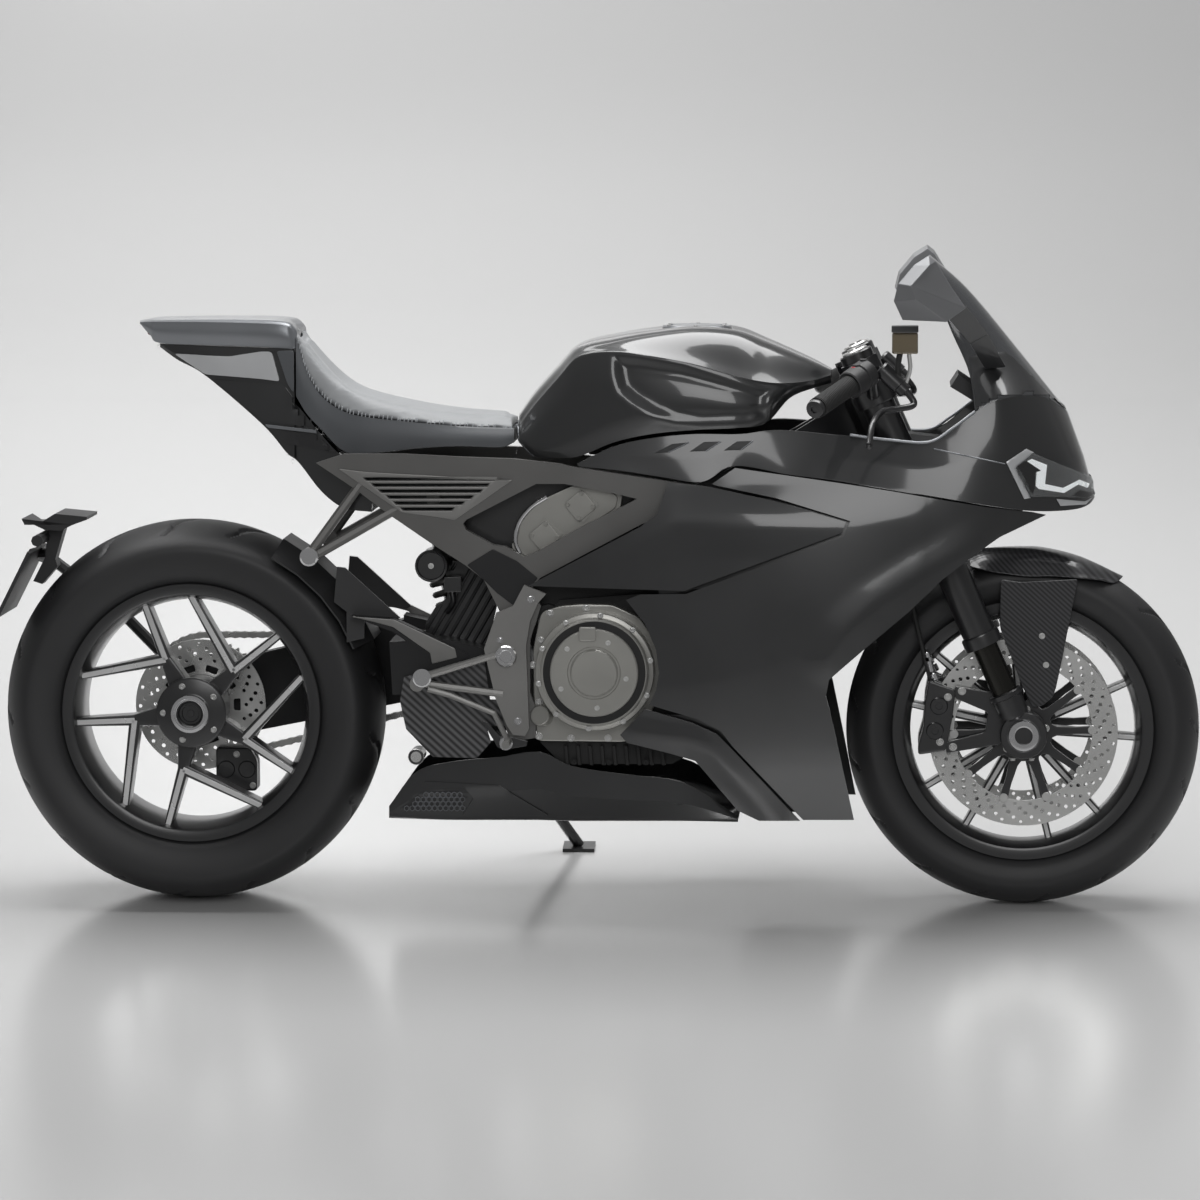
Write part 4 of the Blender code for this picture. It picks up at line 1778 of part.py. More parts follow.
# Joints' axes as empties, the lean, and setting the bike down
def empty(name, place, parent=None):
    """Empty on a joint's axis."""
    made = bpy.data.objects.new(name, None)
    MAIN.objects.link(made)
    made.location = place
    made.parent = parent
    return made


def carry():
    """Parents the bodies to their joints, leans the bike and centres it on the ground."""
    bike = empty("bike", (0, 0, 0))
    steer_at = on_fork(HEAD_LOW, 0.0, -AXIS_OFFSET)
    steering = empty("steering_axis", steer_at, bike)
    holders = {
        "chassis": (bike, Vector()),
        "steering": (steering, steer_at),
        "front_wheel": (None, Vector((WHEELBASE, 0, FRONT_RADIUS))),
        "rear_wheel": (None, Vector((0, 0, REAR_RADIUS))),
        "side_stand": (None, STAND_PIVOT),
    }
    for body, (holder, place) in holders.items():
        if holder is None:
            above = steering if body == "front_wheel" else bike
            offset = place - steer_at if body == "front_wheel" else place
            holder = empty(f"{body}_axis", offset, above)
        for piece in BODIES[body]:
            piece.parent = holder
            piece.location = -place
            for step in piece.modifiers:
                if getattr(step, "object", None):
                    place_operand(step.object, holder, place)
    bike.rotation_euler = (-LEAN, 0.0, 0.0)
    bpy.context.view_layer.update()
    low = Vector((1e9, 1e9, 1e9))
    high = -low
    graph = bpy.context.evaluated_depsgraph_get()
    for pieces in BODIES.values():
        for piece in pieces:
            seen = piece.evaluated_get(graph)
            mesh = seen.to_mesh()
            for vertex in mesh.vertices:
                p = seen.matrix_world @ vertex.co
                low = Vector(map(min, low, p))
                high = Vector(map(max, high, p))
            seen.to_mesh_clear()
    bike.location = (-(low.x + high.x) / 2, -(low.y + high.y) / 2, -low.z)
    bpy.context.view_layer.update()


def place_operand(operand, holder, place):
    """Parents a Boolean's other solid, and its own operands, with the piece that uses it."""
    operand.parent = holder
    operand.location = -place
    for step in operand.modifiers:
        if getattr(step, "object", None):
            place_operand(step.object, holder, place)


carry()
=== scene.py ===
import json
import math

import bmesh
import bpy
import numpy as np
from mathutils import Matrix, Vector
from mathutils.bvhtree import BVHTree

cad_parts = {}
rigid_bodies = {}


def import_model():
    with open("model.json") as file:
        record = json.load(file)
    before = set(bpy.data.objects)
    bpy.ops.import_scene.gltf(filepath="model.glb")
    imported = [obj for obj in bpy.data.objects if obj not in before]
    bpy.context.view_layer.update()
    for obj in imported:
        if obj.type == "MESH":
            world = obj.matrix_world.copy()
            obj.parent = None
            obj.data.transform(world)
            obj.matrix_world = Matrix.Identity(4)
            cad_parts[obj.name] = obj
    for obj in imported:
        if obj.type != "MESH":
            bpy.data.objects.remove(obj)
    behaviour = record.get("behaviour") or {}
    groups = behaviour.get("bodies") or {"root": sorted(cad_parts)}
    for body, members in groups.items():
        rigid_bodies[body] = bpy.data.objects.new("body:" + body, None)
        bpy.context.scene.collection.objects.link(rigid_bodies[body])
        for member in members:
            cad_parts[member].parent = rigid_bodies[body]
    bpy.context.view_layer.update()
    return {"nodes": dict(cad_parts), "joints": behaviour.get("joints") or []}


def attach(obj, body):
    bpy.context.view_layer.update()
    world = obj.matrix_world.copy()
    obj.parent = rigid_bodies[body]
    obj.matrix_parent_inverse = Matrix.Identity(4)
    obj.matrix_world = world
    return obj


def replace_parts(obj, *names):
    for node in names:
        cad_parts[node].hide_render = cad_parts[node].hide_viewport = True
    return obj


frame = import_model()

# Sizes of the bike, in its upright frame: x forward from the rear axle, y to the left, z up
WHEELBASE = 1.415
REAR_RADIUS = 0.326
FRONT_RADIUS = 0.300
RAKE = math.radians(23.9)
FORK_HALF = 0.105
FRAME_OUT = 0.158
GAP = 0.0003
TINY = 1e-6

# How the photo was taken: a long lens, from the right, a little from the front and from above
VIEW_YAW = math.radians(3.2)
VIEW_PITCH = math.radians(5.5)
VIEW_ROLL = math.radians(-0.068)
VIEW_DISTANCE = 9.4
VIEW_TARGET = Vector((0.6941, 0.0, 0.5149))
VIEW_FOCAL_PX = 5500.7
VIEW_CENTRE_PX = 600.0
SENSOR = 36.0

JOINTS = {joint["name"]: joint for joint in frame["joints"]}
REAR_JOINT = JOINTS["rear_wheel_spin"]
LEAN = math.atan2(-REAR_JOINT["axis"][2], REAR_JOINT["axis"][1])
HOME = (Matrix.Translation(REAR_JOINT["pos_m"]) @ Matrix.Rotation(-LEAN, 4, "X")
        @ Matrix.Translation((0.0, 0.0, -REAR_RADIUS)))


def look():
    """Directions of the photo's camera: from target to camera, to its right, and up."""
    back = Vector((math.sin(VIEW_YAW) * math.cos(VIEW_PITCH), -math.cos(VIEW_YAW) * math.cos(VIEW_PITCH),
                   math.sin(VIEW_PITCH)))
    level = Vector((math.cos(VIEW_YAW), math.sin(VIEW_YAW), 0.0))
    rise = back.cross(level)
    right = level * math.cos(VIEW_ROLL) + rise * math.sin(VIEW_ROLL)
    up = rise * math.cos(VIEW_ROLL) - level * math.sin(VIEW_ROLL)
    return back, right, up


BACK, RIGHT, UP = look()
EYE = VIEW_TARGET + BACK * VIEW_DISTANCE


def ray_to(px, py):
    """Direction from the photo's camera through a pixel."""
    across = (px - VIEW_CENTRE_PX) / VIEW_FOCAL_PX
    down = (py - VIEW_CENTRE_PX) / VIEW_FOCAL_PX
    return RIGHT * across - UP * down - BACK


def spot(px, py, half, side=-1):
    """Point seen at a photo pixel, on the plane half metres to the right, or its twin on the left."""
    ray = ray_to(px, py)
    found = EYE + ray * ((-half - EYE.y) / ray.y)
    return Vector((found.x, side * half, found.z))


def flat(pixels, half):
    """Side-view outline (x, z) of photo pixels that lie half metres to the right."""
    return [(p.x, p.z) for p in (spot(px, py, half) for px, py in pixels)]


def seen_at(point):
    """Photo pixel at which a point shows."""
    way = point - EYE
    away = -way.dot(BACK)
    return (VIEW_CENTRE_PX + VIEW_FOCAL_PX * way.dot(RIGHT) / away,
            VIEW_CENTRE_PX - VIEW_FOCAL_PX * way.dot(UP) / away)


def off_line(pixels, px, py):
    """Distance in pixels from a photo line."""
    best = math.inf
    for (ax, ay), (bx, by) in zip(pixels, pixels[1:]):
        dx = bx - ax
        dy = by - ay
        t = min(1.0, max(0.0, ((px - ax) * dx + (py - ay) * dy) / (dx * dx + dy * dy)))
        best = min(best, math.hypot(px - ax - dx * t, py - ay - dy * t))
    return best


def within(outline, px, py):
    """Whether a pixel lies inside a photo outline."""
    inside = False
    for (ax, ay), (bx, by) in zip(outline, outline[1:] + outline[:1]):
        if (ay > py) != (by > py) and px < ax + (bx - ax) * (py - ay) / (by - ay):
            inside = not inside
    return inside


FORK_UP = Vector((-math.sin(RAKE), 0.0, math.cos(RAKE)))
REAR_AXLE = Vector((0.0, 0.0, REAR_RADIUS))
FRONT_AXLE = Vector((WHEELBASE, 0.0, FRONT_RADIUS))


def on_fork(height, across):
    """Point at a height up the fork line, and across."""
    return FRONT_AXLE + FORK_UP * height + Vector((0.0, across, 0.0))


# Camera, set with respect to the bike as the photo's was, so that it leans with it
def make_camera():
    """The photo's camera."""
    data = bpy.data.cameras.new("camera")
    data.lens = VIEW_FOCAL_PX / (2.0 * VIEW_CENTRE_PX) * SENSOR
    data.sensor_width = SENSOR
    data.clip_end = 100.0
    made = bpy.data.objects.new("camera", data)
    bpy.context.scene.collection.objects.link(made)
    axes = Matrix((RIGHT, UP, BACK)).transposed().to_4x4()
    made.matrix_world = HOME @ Matrix.Translation(EYE) @ axes
    bpy.context.scene.camera = made


make_camera()

# Materials


def nodes_of(material):
    """Node tree of a material and its Principled shader."""
    tree = material.node_tree
    shader = tree.nodes["Principled BSDF"]
    return tree, shader


def add(tree, kind, **values):
    """Node of a kind with some of its fields and sockets set."""
    made = tree.nodes.new(kind)
    for name, value in values.items():
        if name in made.inputs:
            made.inputs[name].default_value = value
        else:
            setattr(made, name, value)
    return made


def coords(tree, scale=1.0):
    """Object coordinates, in metres times a scale."""
    place = add(tree, "ShaderNodeTexCoord")
    mapping = add(tree, "ShaderNodeMapping")
    mapping.inputs["Scale"].default_value = (scale, scale, scale)
    tree.links.new(place.outputs["Object"], mapping.inputs["Vector"])
    return mapping.outputs["Vector"]


def finish(name, colour, rough, metal=0.0, vary=0.12, grain=900.0, bump=0.02, coat=0.0, patch=9.0,
           rough_vary=0.08,
           coat_rough=0.08):
    """Principled material with slow colour and roughness variation and a fine surface grain."""
    made = bpy.data.materials.new(name)
    made.use_nodes = True
    tree, shader = nodes_of(made)
    shader.inputs["Metallic"].default_value = metal
    shader.inputs["Coat Weight"].default_value = coat
    shader.inputs["Coat Roughness"].default_value = coat_rough
    slow = add(tree, "ShaderNodeTexNoise", Scale=1.0, Detail=4.0)
    tree.links.new(coords(tree, patch), slow.inputs["Vector"])
    mix = add(tree, "ShaderNodeMix", data_type="RGBA")
    mix.inputs["A"].default_value = (*[c * (1.0 - vary) for c in colour], 1.0)
    mix.inputs["B"].default_value = (*[min(1.0, c * (1.0 + vary)) for c in colour], 1.0)
    tree.links.new(slow.outputs["Fac"], mix.inputs["Factor"])
    tree.links.new(mix.outputs["Result"], shader.inputs["Base Color"])
    spread = add(tree, "ShaderNodeMapRange")
    spread.inputs["To Min"].default_value = max(0.02, rough - rough_vary)
    spread.inputs["To Max"].default_value = min(1.0, rough + rough_vary)
    tree.links.new(slow.outputs["Fac"], spread.inputs["Value"])
    tree.links.new(spread.outputs["Result"], shader.inputs["Roughness"])
    fine = add(tree, "ShaderNodeTexNoise", Scale=1.0, Detail=2.0)
    tree.links.new(coords(tree, grain), fine.inputs["Vector"])
    relief = add(tree, "ShaderNodeBump", Strength=bump, Distance=0.001)
    tree.links.new(fine.outputs["Fac"], relief.inputs["Height"])
    tree.links.new(relief.outputs["Normal"], shader.inputs["Normal"])
    return made


WAVE_PERIOD = 2 * math.pi / 20.0


def woven(name, colour, light, pitch=0.0024):
    """Clear-coated twill: diagonal bands of tows over each other."""
    made = finish(name, colour, 0.32, metal=0.15, coat=0.6)
    tree, shader = nodes_of(made)
    place = add(tree, "ShaderNodeTexCoord")
    turn = add(tree, "ShaderNodeMapping")
    turn.inputs["Rotation"].default_value = (0.0, math.radians(48.0), 0.0)
    tree.links.new(place.outputs["Object"], turn.inputs["Vector"])
    bands = add(tree, "ShaderNodeTexWave", Scale=WAVE_PERIOD / pitch, wave_type="BANDS", bands_direction="X")
    tree.links.new(turn.outputs["Vector"], bands.inputs["Vector"])
    cross = add(tree, "ShaderNodeTexWave", Scale=2.0 * WAVE_PERIOD / pitch, wave_type="BANDS",
                bands_direction="Z")
    tree.links.new(turn.outputs["Vector"], cross.inputs["Vector"])
    both_ways = add(tree, "ShaderNodeMath", operation="MULTIPLY")
    tree.links.new(bands.outputs["Fac"], both_ways.inputs[0])
    tree.links.new(cross.outputs["Fac"], both_ways.inputs[1])
    mix = add(tree, "ShaderNodeMix", data_type="RGBA")
    mix.inputs["A"].default_value = (*colour, 1.0)
    mix.inputs["B"].default_value = (*light, 1.0)
    tree.links.new(bands.outputs["Fac"], mix.inputs["Factor"])
    tree.links.new(mix.outputs["Result"], shader.inputs["Base Color"])
    relief = add(tree, "ShaderNodeBump", Strength=0.15, Distance=0.0004)
    tree.links.new(both_ways.outputs[0], relief.inputs["Height"])
    tree.links.new(relief.outputs["Normal"], shader.inputs["Normal"])
    return made


def hide(name, colour):
    """Leather: fine cells with creases between them."""
    made = finish(name, colour, 0.52, vary=0.10, patch=14.0)
    tree, shader = nodes_of(made)
    cells = add(tree, "ShaderNodeTexVoronoi", Scale=1.0, feature="DISTANCE_TO_EDGE")
    tree.links.new(coords(tree, 620.0), cells.inputs["Vector"])
    relief = add(tree, "ShaderNodeBump", Strength=0.35, Distance=0.0004)
    tree.links.new(cells.outputs["Distance"], relief.inputs["Height"])
    tree.links.new(relief.outputs["Normal"], shader.inputs["Normal"])
    shader.inputs["Sheen Weight"].default_value = 0.15
    return made


def see_through(name, colour, rough, amount):
    """Tinted clear plastic or glass."""
    made = finish(name, colour, rough, vary=0.05, bump=0.0, rough_vary=0.01)
    shader = made.node_tree.nodes["Principled BSDF"]
    shader.inputs["Transmission Weight"].default_value = amount
    shader.inputs["IOR"].default_value = 1.49
    return made


BODY = finish("body_satin", (0.021, 0.0215, 0.0225), 0.34, metal=0.25, coat=1.0, bump=0.008, coat_rough=0.075)
# Lighter copy of the body paint for the mirror heads: painted light on their faces.
MIRROR_SATIN_PAINTED_LIGHT = finish("mirror_satin_painted_light", (0.190, 0.193, 0.200), 0.48, metal=0.45, coat=0.25, bump=0.008, coat_rough=0.30)
# Lighter copy of the body paint: painted light on the tail cowl's bright top and on the vents' glints; also
# used for the filler cap, tank strips, tail lip, honeycomb and cockpit edge.
PALE_SATIN_AND_PAINTED_LIGHT = finish("pale_satin_and_painted_light", (0.230, 0.240, 0.255), 0.30, metal=0.6, coat=0.6, bump=0.010, coat_rough=0.12)
FRAME = finish("frame_coat", (0.135, 0.133, 0.129), 0.36, metal=0.50, grain=1500.0, bump=0.05)
# Lighter copy of the frame coat: a painted highlight along the swingarm's upper edge; also used for the slotted
# face and the footrests.
FRAME_PALE_AND_PAINTED_LIGHT = finish("frame_pale_and_painted_light", (0.230, 0.227, 0.220), 0.34, metal=0.50, grain=1500.0, bump=0.05)
NODE = finish("frame_dark", (0.018, 0.018, 0.019), 0.42, metal=0.45, grain=1500.0, bump=0.06)
ENGINE = finish("engine_cast", (0.330, 0.326, 0.306), 0.32, metal=0.60, grain=1200.0, bump=0.06)
ENGINE_DARK = finish("engine_dark", (0.018, 0.018, 0.018), 0.48, metal=0.5, grain=1200.0, bump=0.08)
BLACK = finish("black_metal", (0.009, 0.009, 0.010), 0.36, grain=1500.0, bump=0.03, coat=0.7, coat_rough=0.2)
STEEL = finish("steel", (0.62, 0.62, 0.61), 0.28, metal=0.75, grain=2500.0, bump=0.03)
CHROME = finish("chrome", (0.75, 0.75, 0.76), 0.10, metal=1.0, bump=0.0, vary=0.03, rough_vary=0.03)
MACHINED = finish("machined", (0.80, 0.80, 0.80), 0.26, metal=0.70, grain=2200.0, bump=0.05)
TYRE_SIDE = finish("tyre_side", (0.0065, 0.0065, 0.007), 0.40, grain=1600.0, bump=0.06, patch=6.0)
TYRE = finish("tyre_rubber", (0.017, 0.017, 0.018), 0.50, grain=1600.0, bump=0.15, patch=6.0, vary=0.2)
RUBBER = finish("rubber", (0.016, 0.016, 0.016), 0.68, grain=1400.0, bump=0.15)
PLASTIC = finish("plastic", (0.018, 0.018, 0.019), 0.50, grain=1300.0, bump=0.10)
CARBON = woven("carbon", (0.008, 0.008, 0.009), (0.050, 0.050, 0.054), 0.0062)
CARBON_COARSE = woven("carbon_coarse", (0.010, 0.010, 0.011), (0.120, 0.120, 0.124), 0.0095)
LEATHER = hide("leather", (0.072, 0.077, 0.084))
# Lighter copy of the leather for the seat's top: painted light from above.
LEATHER_PAINTED_LIGHT = hide("leather_painted_light", (0.250, 0.258, 0.266))
VANE = finish("vane", (0.560, 0.568, 0.580), 0.32, metal=0.4, coat=0.4)
HUGGER = finish("hugger_plastic", (0.024, 0.024, 0.025), 0.45, grain=1300.0, bump=0.08)
THREAD = finish("thread", (0.55, 0.57, 0.59), 0.7)
SCREEN = see_through("smoked_screen", (0.095, 0.098, 0.103), 0.05, 0.45)
GLASS = see_through("lamp_glass", (0.93, 0.95, 0.96), 0.03, 0.95)
AMBER = see_through("amber", (0.20, 0.165, 0.11), 0.10, 0.6)
WHITE = finish("light_guide", (0.85, 0.87, 0.88), 0.25, vary=0.02, bump=0.0)
WHITE.node_tree.nodes["Principled BSDF"].inputs["Emission Color"].default_value = (1.0, 1.0, 1.0, 1.0)
WHITE.node_tree.nodes["Principled BSDF"].inputs["Emission Strength"].default_value = 0.45
RED = finish("red", (0.45, 0.01, 0.02), 0.4)
LENS = see_through("red_lens", (0.35, 0.01, 0.01), 0.1, 0.5)
FORK_TUBE = finish("fork_tube", (0.030, 0.029, 0.026), 0.22, metal=0.8, bump=0.0)


# Making pieces
def piece(name, bm, body, material, smooth=35.0):
    """Object of a bmesh built in the upright frame, set in its place and riding on its body."""
    mesh = bpy.data.meshes.new(name)
    bm.to_mesh(mesh)
    bm.free()
    return settle(name, mesh, body, material, smooth)


def settle(name, mesh, body, material, smooth=35.0):
    """Puts a mesh that is built in the upright frame in its place, riding on its body."""
    mesh.transform(HOME)
    if material:
        mesh.materials.clear()
        mesh.materials.append(material)
    mesh.shade_smooth()
    if smooth < 180.0:
        mesh.set_sharp_from_angle(angle=math.radians(smooth))
    made = bpy.data.objects.new(name, mesh)
    bpy.context.scene.collection.objects.link(made)
    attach(made, body)
    return made


def joined(parts):
    """One bmesh of several."""
    whole = bmesh.new()
    for bm in parts:
        mesh = bpy.data.meshes.new("part")
        bm.to_mesh(mesh)
        bm.free()
        whole.from_mesh(mesh)
        bpy.data.meshes.remove(mesh)
    return whole


def merged(name, parts, body, material, smooth=35.0):
    """One piece of several bmeshes."""
    return piece(name, joined(parts), body, material, smooth)


def bevelled(obj, width, segments=2, angle=30.0):
    """Rounds an object's edges."""
    step = obj.modifiers.new("edges", "BEVEL")
    step.width = width
    step.segments = segments
    step.limit_method = "ANGLE"
    step.angle_limit = math.radians(angle)
    step.harden_normals = False
    return obj


def through(points, steps):
    """Smooth curve through points, as a list with steps intervals between each two."""
    p = np.array([tuple(q) for q in points], float)
    count = len(p)
    out = []
    for i in range(count - 1):
        a = p[i - 1] if i > 0 else 2 * p[0] - p[1]
        b = p[i]
        c = p[i + 1]
        d = p[i + 2] if i + 2 < count else 2 * p[-1] - p[-2]
        for k in range(steps):
            t = k / steps
            out.append(0.5 * (2 * b + (c - a) * t + (2 * a - 5 * b + 4 * c - d) * t * t
                              + (3 * b - a - 3 * c + d) * t ** 3))
    out.append(p[-1])
    return np.array(out)


def with_corners(points, steps, corners):
    """Smooth curve that keeps a corner at the points whose numbers are given."""
    stops = [0] + sorted(c for c in corners if 0 < c < len(points) - 1) + [len(points) - 1]
    rows = []
    for one, two in zip(stops, stops[1:]):
        stretch = through(points[one:two + 1], steps)
        rows.append(stretch if two == len(points) - 1 else stretch[:-1])
    return np.concatenate(rows)


def quilt(rings, along, across, ring_corners=(), corners=()):
    """Dense grid through rings of points: corners keep an edge along the piece, ring_corners across it."""
    fine = [with_corners(ring, across, corners) for ring in rings]
    columns = np.stack(fine)
    count = columns.shape[1]
    out = [with_corners(columns[:, j], along, ring_corners) for j in range(count)]
    return np.stack(out, axis=1)


def grid_mesh(grid, closed=False, caps=(False, False)):
    """Bmesh of a grid of points."""
    bm = bmesh.new()
    rows = [[bm.verts.new(p) for p in row] for row in grid]
    count = len(rows[0])
    spans = count if closed else count - 1
    for one, two in zip(rows, rows[1:]):
        for i in range(spans):
            j = (i + 1) % count
            bm.faces.new((one[i], one[j], two[j], two[i]))
    for row, wanted in ((rows[0], caps[0]), (rows[-1], caps[1])):
        if wanted:
            bm.faces.new(row)
    bmesh.ops.remove_doubles(bm, verts=bm.verts, dist=0.00002)
    bmesh.ops.recalc_face_normals(bm, faces=bm.faces)
    return bm


def mirror_ring(right):
    """Closed ring of a half ring that starts and ends on the middle plane."""
    left = [Vector((p[0], -p[1], p[2])) for p in reversed(right[1:-1])]
    return [Vector(p) for p in right] + left


def lofted(rings, along, across, corners):
    """Closed bmesh of half rings and their mirror images, smooth but for the corners."""
    grid = quilt(rings, along, across, (), corners)
    whole = [mirror_ring([Vector(p) for p in row]) for row in grid]
    return grid_mesh(whole, closed=True, caps=(True, True))


def thick(obj, depth):
    """Gives a surface its wall."""
    step = obj.modifiers.new("wall", "SOLIDIFY")
    step.thickness = depth
    step.offset = -1.0
    step.use_rim = True
    step.use_even_offset = False
    return obj


def turned(centre, axis, rows, steps=64):
    """Bmesh turned round an axis through a point: rows are (radius, distance along the axis)."""
    axis = Vector(axis).normalized()
    guide = Vector((0, 0, 1)) if abs(axis.z) < 0.9 else Vector((1, 0, 0))
    u = axis.cross(guide).normalized()
    v = axis.cross(u)
    grid = []
    for radius, reach in rows:
        row = []
        for step in range(steps):
            angle = 2 * math.pi * step / steps
            along_u = u * (radius * math.cos(angle))
            along_v = v * (radius * math.sin(angle))
            row.append(Vector(centre) + axis * reach + along_u + along_v)
        grid.append(row)
    return grid_mesh(grid, closed=True, caps=(rows[0][0] > TINY, rows[-1][0] > TINY))


def wheel_ring(centre, section, steps):
    """Bmesh of a closed section of (radius, across) turned round an axle along y."""
    grid = []
    for radius, across in list(section) + [section[0]]:
        row = []
        for step in range(steps):
            angle = 2 * math.pi * step / steps
            row.append(Vector((centre.x + radius * math.cos(angle), across,
                               centre.z + radius * math.sin(angle))))
        grid.append(row)
    return grid_mesh(grid, closed=True)


def tube(path, radius, steps=8, sides=12, smooth=True, tip=None):
    """Bmesh of a round bar or hose along a path."""
    line = through(path, steps) if smooth and len(path) > 2 else np.array([tuple(p) for p in path])
    count = len(line)
    grid = []
    side = None
    for i, p in enumerate(line):
        along = Vector(line[min(i + 1, count - 1)] - line[max(i - 1, 0)]).normalized()
        if side is None:
            guide = Vector((0, 1, 0)) if abs(along.y) < 0.9 else Vector((0, 0, 1))
            side = along.cross(guide).normalized()
        side = (side - along * side.dot(along)).normalized()
        up = along.cross(side)
        share = i / (count - 1)
        here = radius if tip is None else radius + (tip - radius) * share
        grid.append([Vector(p) + (side * math.cos(a) + up * math.sin(a)) * here
                     for a in (2 * math.pi * k / sides for k in range(sides))])
    return grid_mesh(grid, closed=True, caps=(True, True))


def rod(start, end, radius, sides=24, chamfer=0.0):
    """Bmesh of a round rod with a small chamfer at its ends."""
    start = Vector(start)
    end = Vector(end)
    length = (end - start).length
    c = min(chamfer, length * 0.4)
    rows = [(radius, c), (radius, length - c)]
    if c:
        rows = [(radius - c, 0.0)] + rows + [(radius - c, length)]
    return turned(start, end - start, rows, sides)


def plate(outlines, y_one, y_two, edge=0.0008):
    """Bmesh of a plate in (x, z) with rounded edges: its outside outline first, then its holes."""
    curve = bpy.data.curves.new("plate", "CURVE")
    curve.dimensions = "2D"
    curve.fill_mode = "BOTH"
    deep = abs(y_two - y_one)
    edge = min(edge, deep * 0.45)
    curve.extrude = deep / 2 - edge
    curve.bevel_depth = edge
    curve.offset = -edge
    curve.bevel_resolution = 1
    for number, outline in enumerate(outlines):
        area = sum(a[0] * b[1] - b[0] * a[1] for a, b in zip(outline, list(outline[1:]) + [outline[0]]))
        points = list(outline) if (area > 0) == (number == 0) else list(reversed(outline))
        line = curve.splines.new("POLY")
        line.points.add(len(points) - 1)
        for point, (x, z) in zip(line.points, points):
            point.co = (x, z, 0.0, 1.0)
        line.use_cyclic_u = True
    holder = bpy.data.objects.new("plate", curve)
    bpy.context.scene.collection.objects.link(holder)
    mesh = bpy.data.meshes.new_from_object(holder.evaluated_get(bpy.context.evaluated_depsgraph_get()))
    bpy.data.objects.remove(holder)
    bm = bmesh.new()
    bm.from_mesh(mesh)
    bpy.data.meshes.remove(mesh)
    bmesh.ops.remove_doubles(bm, verts=bm.verts, dist=0.00001)
    upright = Matrix(((1, 0, 0, 0), (0, 0, -1, (y_one + y_two) / 2), (0, 1, 0, 0), (0, 0, 0, 1)))
    bmesh.ops.transform(bm, matrix=upright, verts=bm.verts)
    bmesh.ops.recalc_face_normals(bm, faces=bm.faces)
    return bm


def circle(centre, radius, steps=16):
    """Side-view circle as an outline."""
    return [(centre[0] + radius * math.cos(2 * math.pi * k / steps),
             centre[1] + radius * math.sin(2 * math.pi * k / steps)) for k in range(steps)]


def rounded(outline, radius, steps=4):
    """Outline with its corners rounded."""
    out = []
    count = len(outline)
    for i in range(count):
        a = Vector(outline[i - 1])
        b = Vector(outline[i])
        c = Vector(outline[(i + 1) % count])
        r = min(radius, (a - b).length * 0.45, (c - b).length * 0.45)
        one = b + (a - b).normalized() * r
        two = b + (c - b).normalized() * r
        for k in range(steps + 1):
            t = k / steps
            p = one * (1 - t) ** 2 + b * (2 * t * (1 - t)) + two * t * t
            out.append((p.x, p.y))
    return out


def around(centre, radius, angle_deg):
    """Side-view point at a radius and angle from a centre, angle counted from forward to up."""
    angle = math.radians(angle_deg)
    return (centre[0] + radius * math.cos(angle), centre[1] + radius * math.sin(angle))


BOLT_SIDES = 20
BOLT_ROWS = (
    # shares of the radius and of the height: washer face, head, socket
    (1.25, 0.0), (1.25, 0.25), (1.0, 0.25), (1.0, 0.85), (0.85, 1.0), (0.5, 1.0), (0.5, 0.5))


def bolt(centre, axis, radius, height=0.004):
    """Bmesh of a bolt head: a washer face, the head and a socket."""
    return turned(centre, axis, [(radius * wide, height * high) for wide, high in BOLT_ROWS], BOLT_SIDES)


def both(build):
    """Builds a piece for the right side and its twin for the left."""
    for word, side in (("right", -1), ("left", 1)):
        build(word, side)


def hull(points):
    """Bmesh of the faceted body that wraps points."""
    bm = bmesh.new()
    for point in points:
        bm.verts.new(point)
    wrapped = bmesh.ops.convex_hull(bm, input=bm.verts)
    spare = [item for item in wrapped["geom_interior"] if isinstance(item, bmesh.types.BMVert)]
    bmesh.ops.delete(bm, geom=spare, context="VERTS")
    bmesh.ops.recalc_face_normals(bm, faces=bm.faces)
    return bm


SOFT_VOXEL = 0.005
SOFT_PRESSURE = 4.0
SOFT_FRAMES = 20
SOFT_SHRINK = 0.0008
SOFT_CAP = 0.003


def shown(obj):
    """New mesh of an object as its modifiers leave it."""
    graph = bpy.context.evaluated_depsgraph_get()
    return bpy.data.meshes.new_from_object(obj.evaluated_get(graph))


def puffed(obj):
    """Blows a pad up as cloth, no point of it further than a cap from its place."""
    for vert in obj.data.vertices:
        vert.co -= vert.normal * SOFT_SHRINK
    voxels = obj.modifiers.new("voxels", "REMESH")
    voxels.mode = "VOXEL"
    voxels.voxel_size = SOFT_VOXEL
    start = shown(obj)
    obj.modifiers.remove(voxels)
    obj.data = start
    cloth = obj.modifiers.new("cloth", "CLOTH")
    cloth.settings.use_pressure = True
    cloth.settings.uniform_pressure_force = SOFT_PRESSURE
    cloth.settings.effector_weights.gravity = 0.0
    cloth.point_cache.frame_start = 1
    cloth.point_cache.frame_end = SOFT_FRAMES
    for number in range(1, SOFT_FRAMES + 1):
        bpy.context.scene.frame_set(number)
    ended = shown(obj)
    obj.modifiers.remove(cloth)
    for vert, before in zip(ended.vertices, start.vertices):
        way = vert.co - before.co
        if way.length > SOFT_CAP:
            vert.co = before.co + way * (SOFT_CAP / way.length)
    ended.shade_smooth()
    obj.data = ended
    bpy.context.scene.frame_set(1)
    obj.modifiers.new("finer", "SUBSURF").levels = 1


NODES = frame["nodes"]


NODE_SMOOTH_DEG = 35.0


def dress(node, material, edge):
    """Gives a CAD node a better material and rounded edges."""
    obj = NODES[node]
    obj.data.materials.clear()
    obj.data.materials.append(material)
    obj.data.shade_smooth()
    obj.data.set_sharp_from_angle(angle=math.radians(NODE_SMOOTH_DEG))
    if edge:
        bevelled(obj, edge)


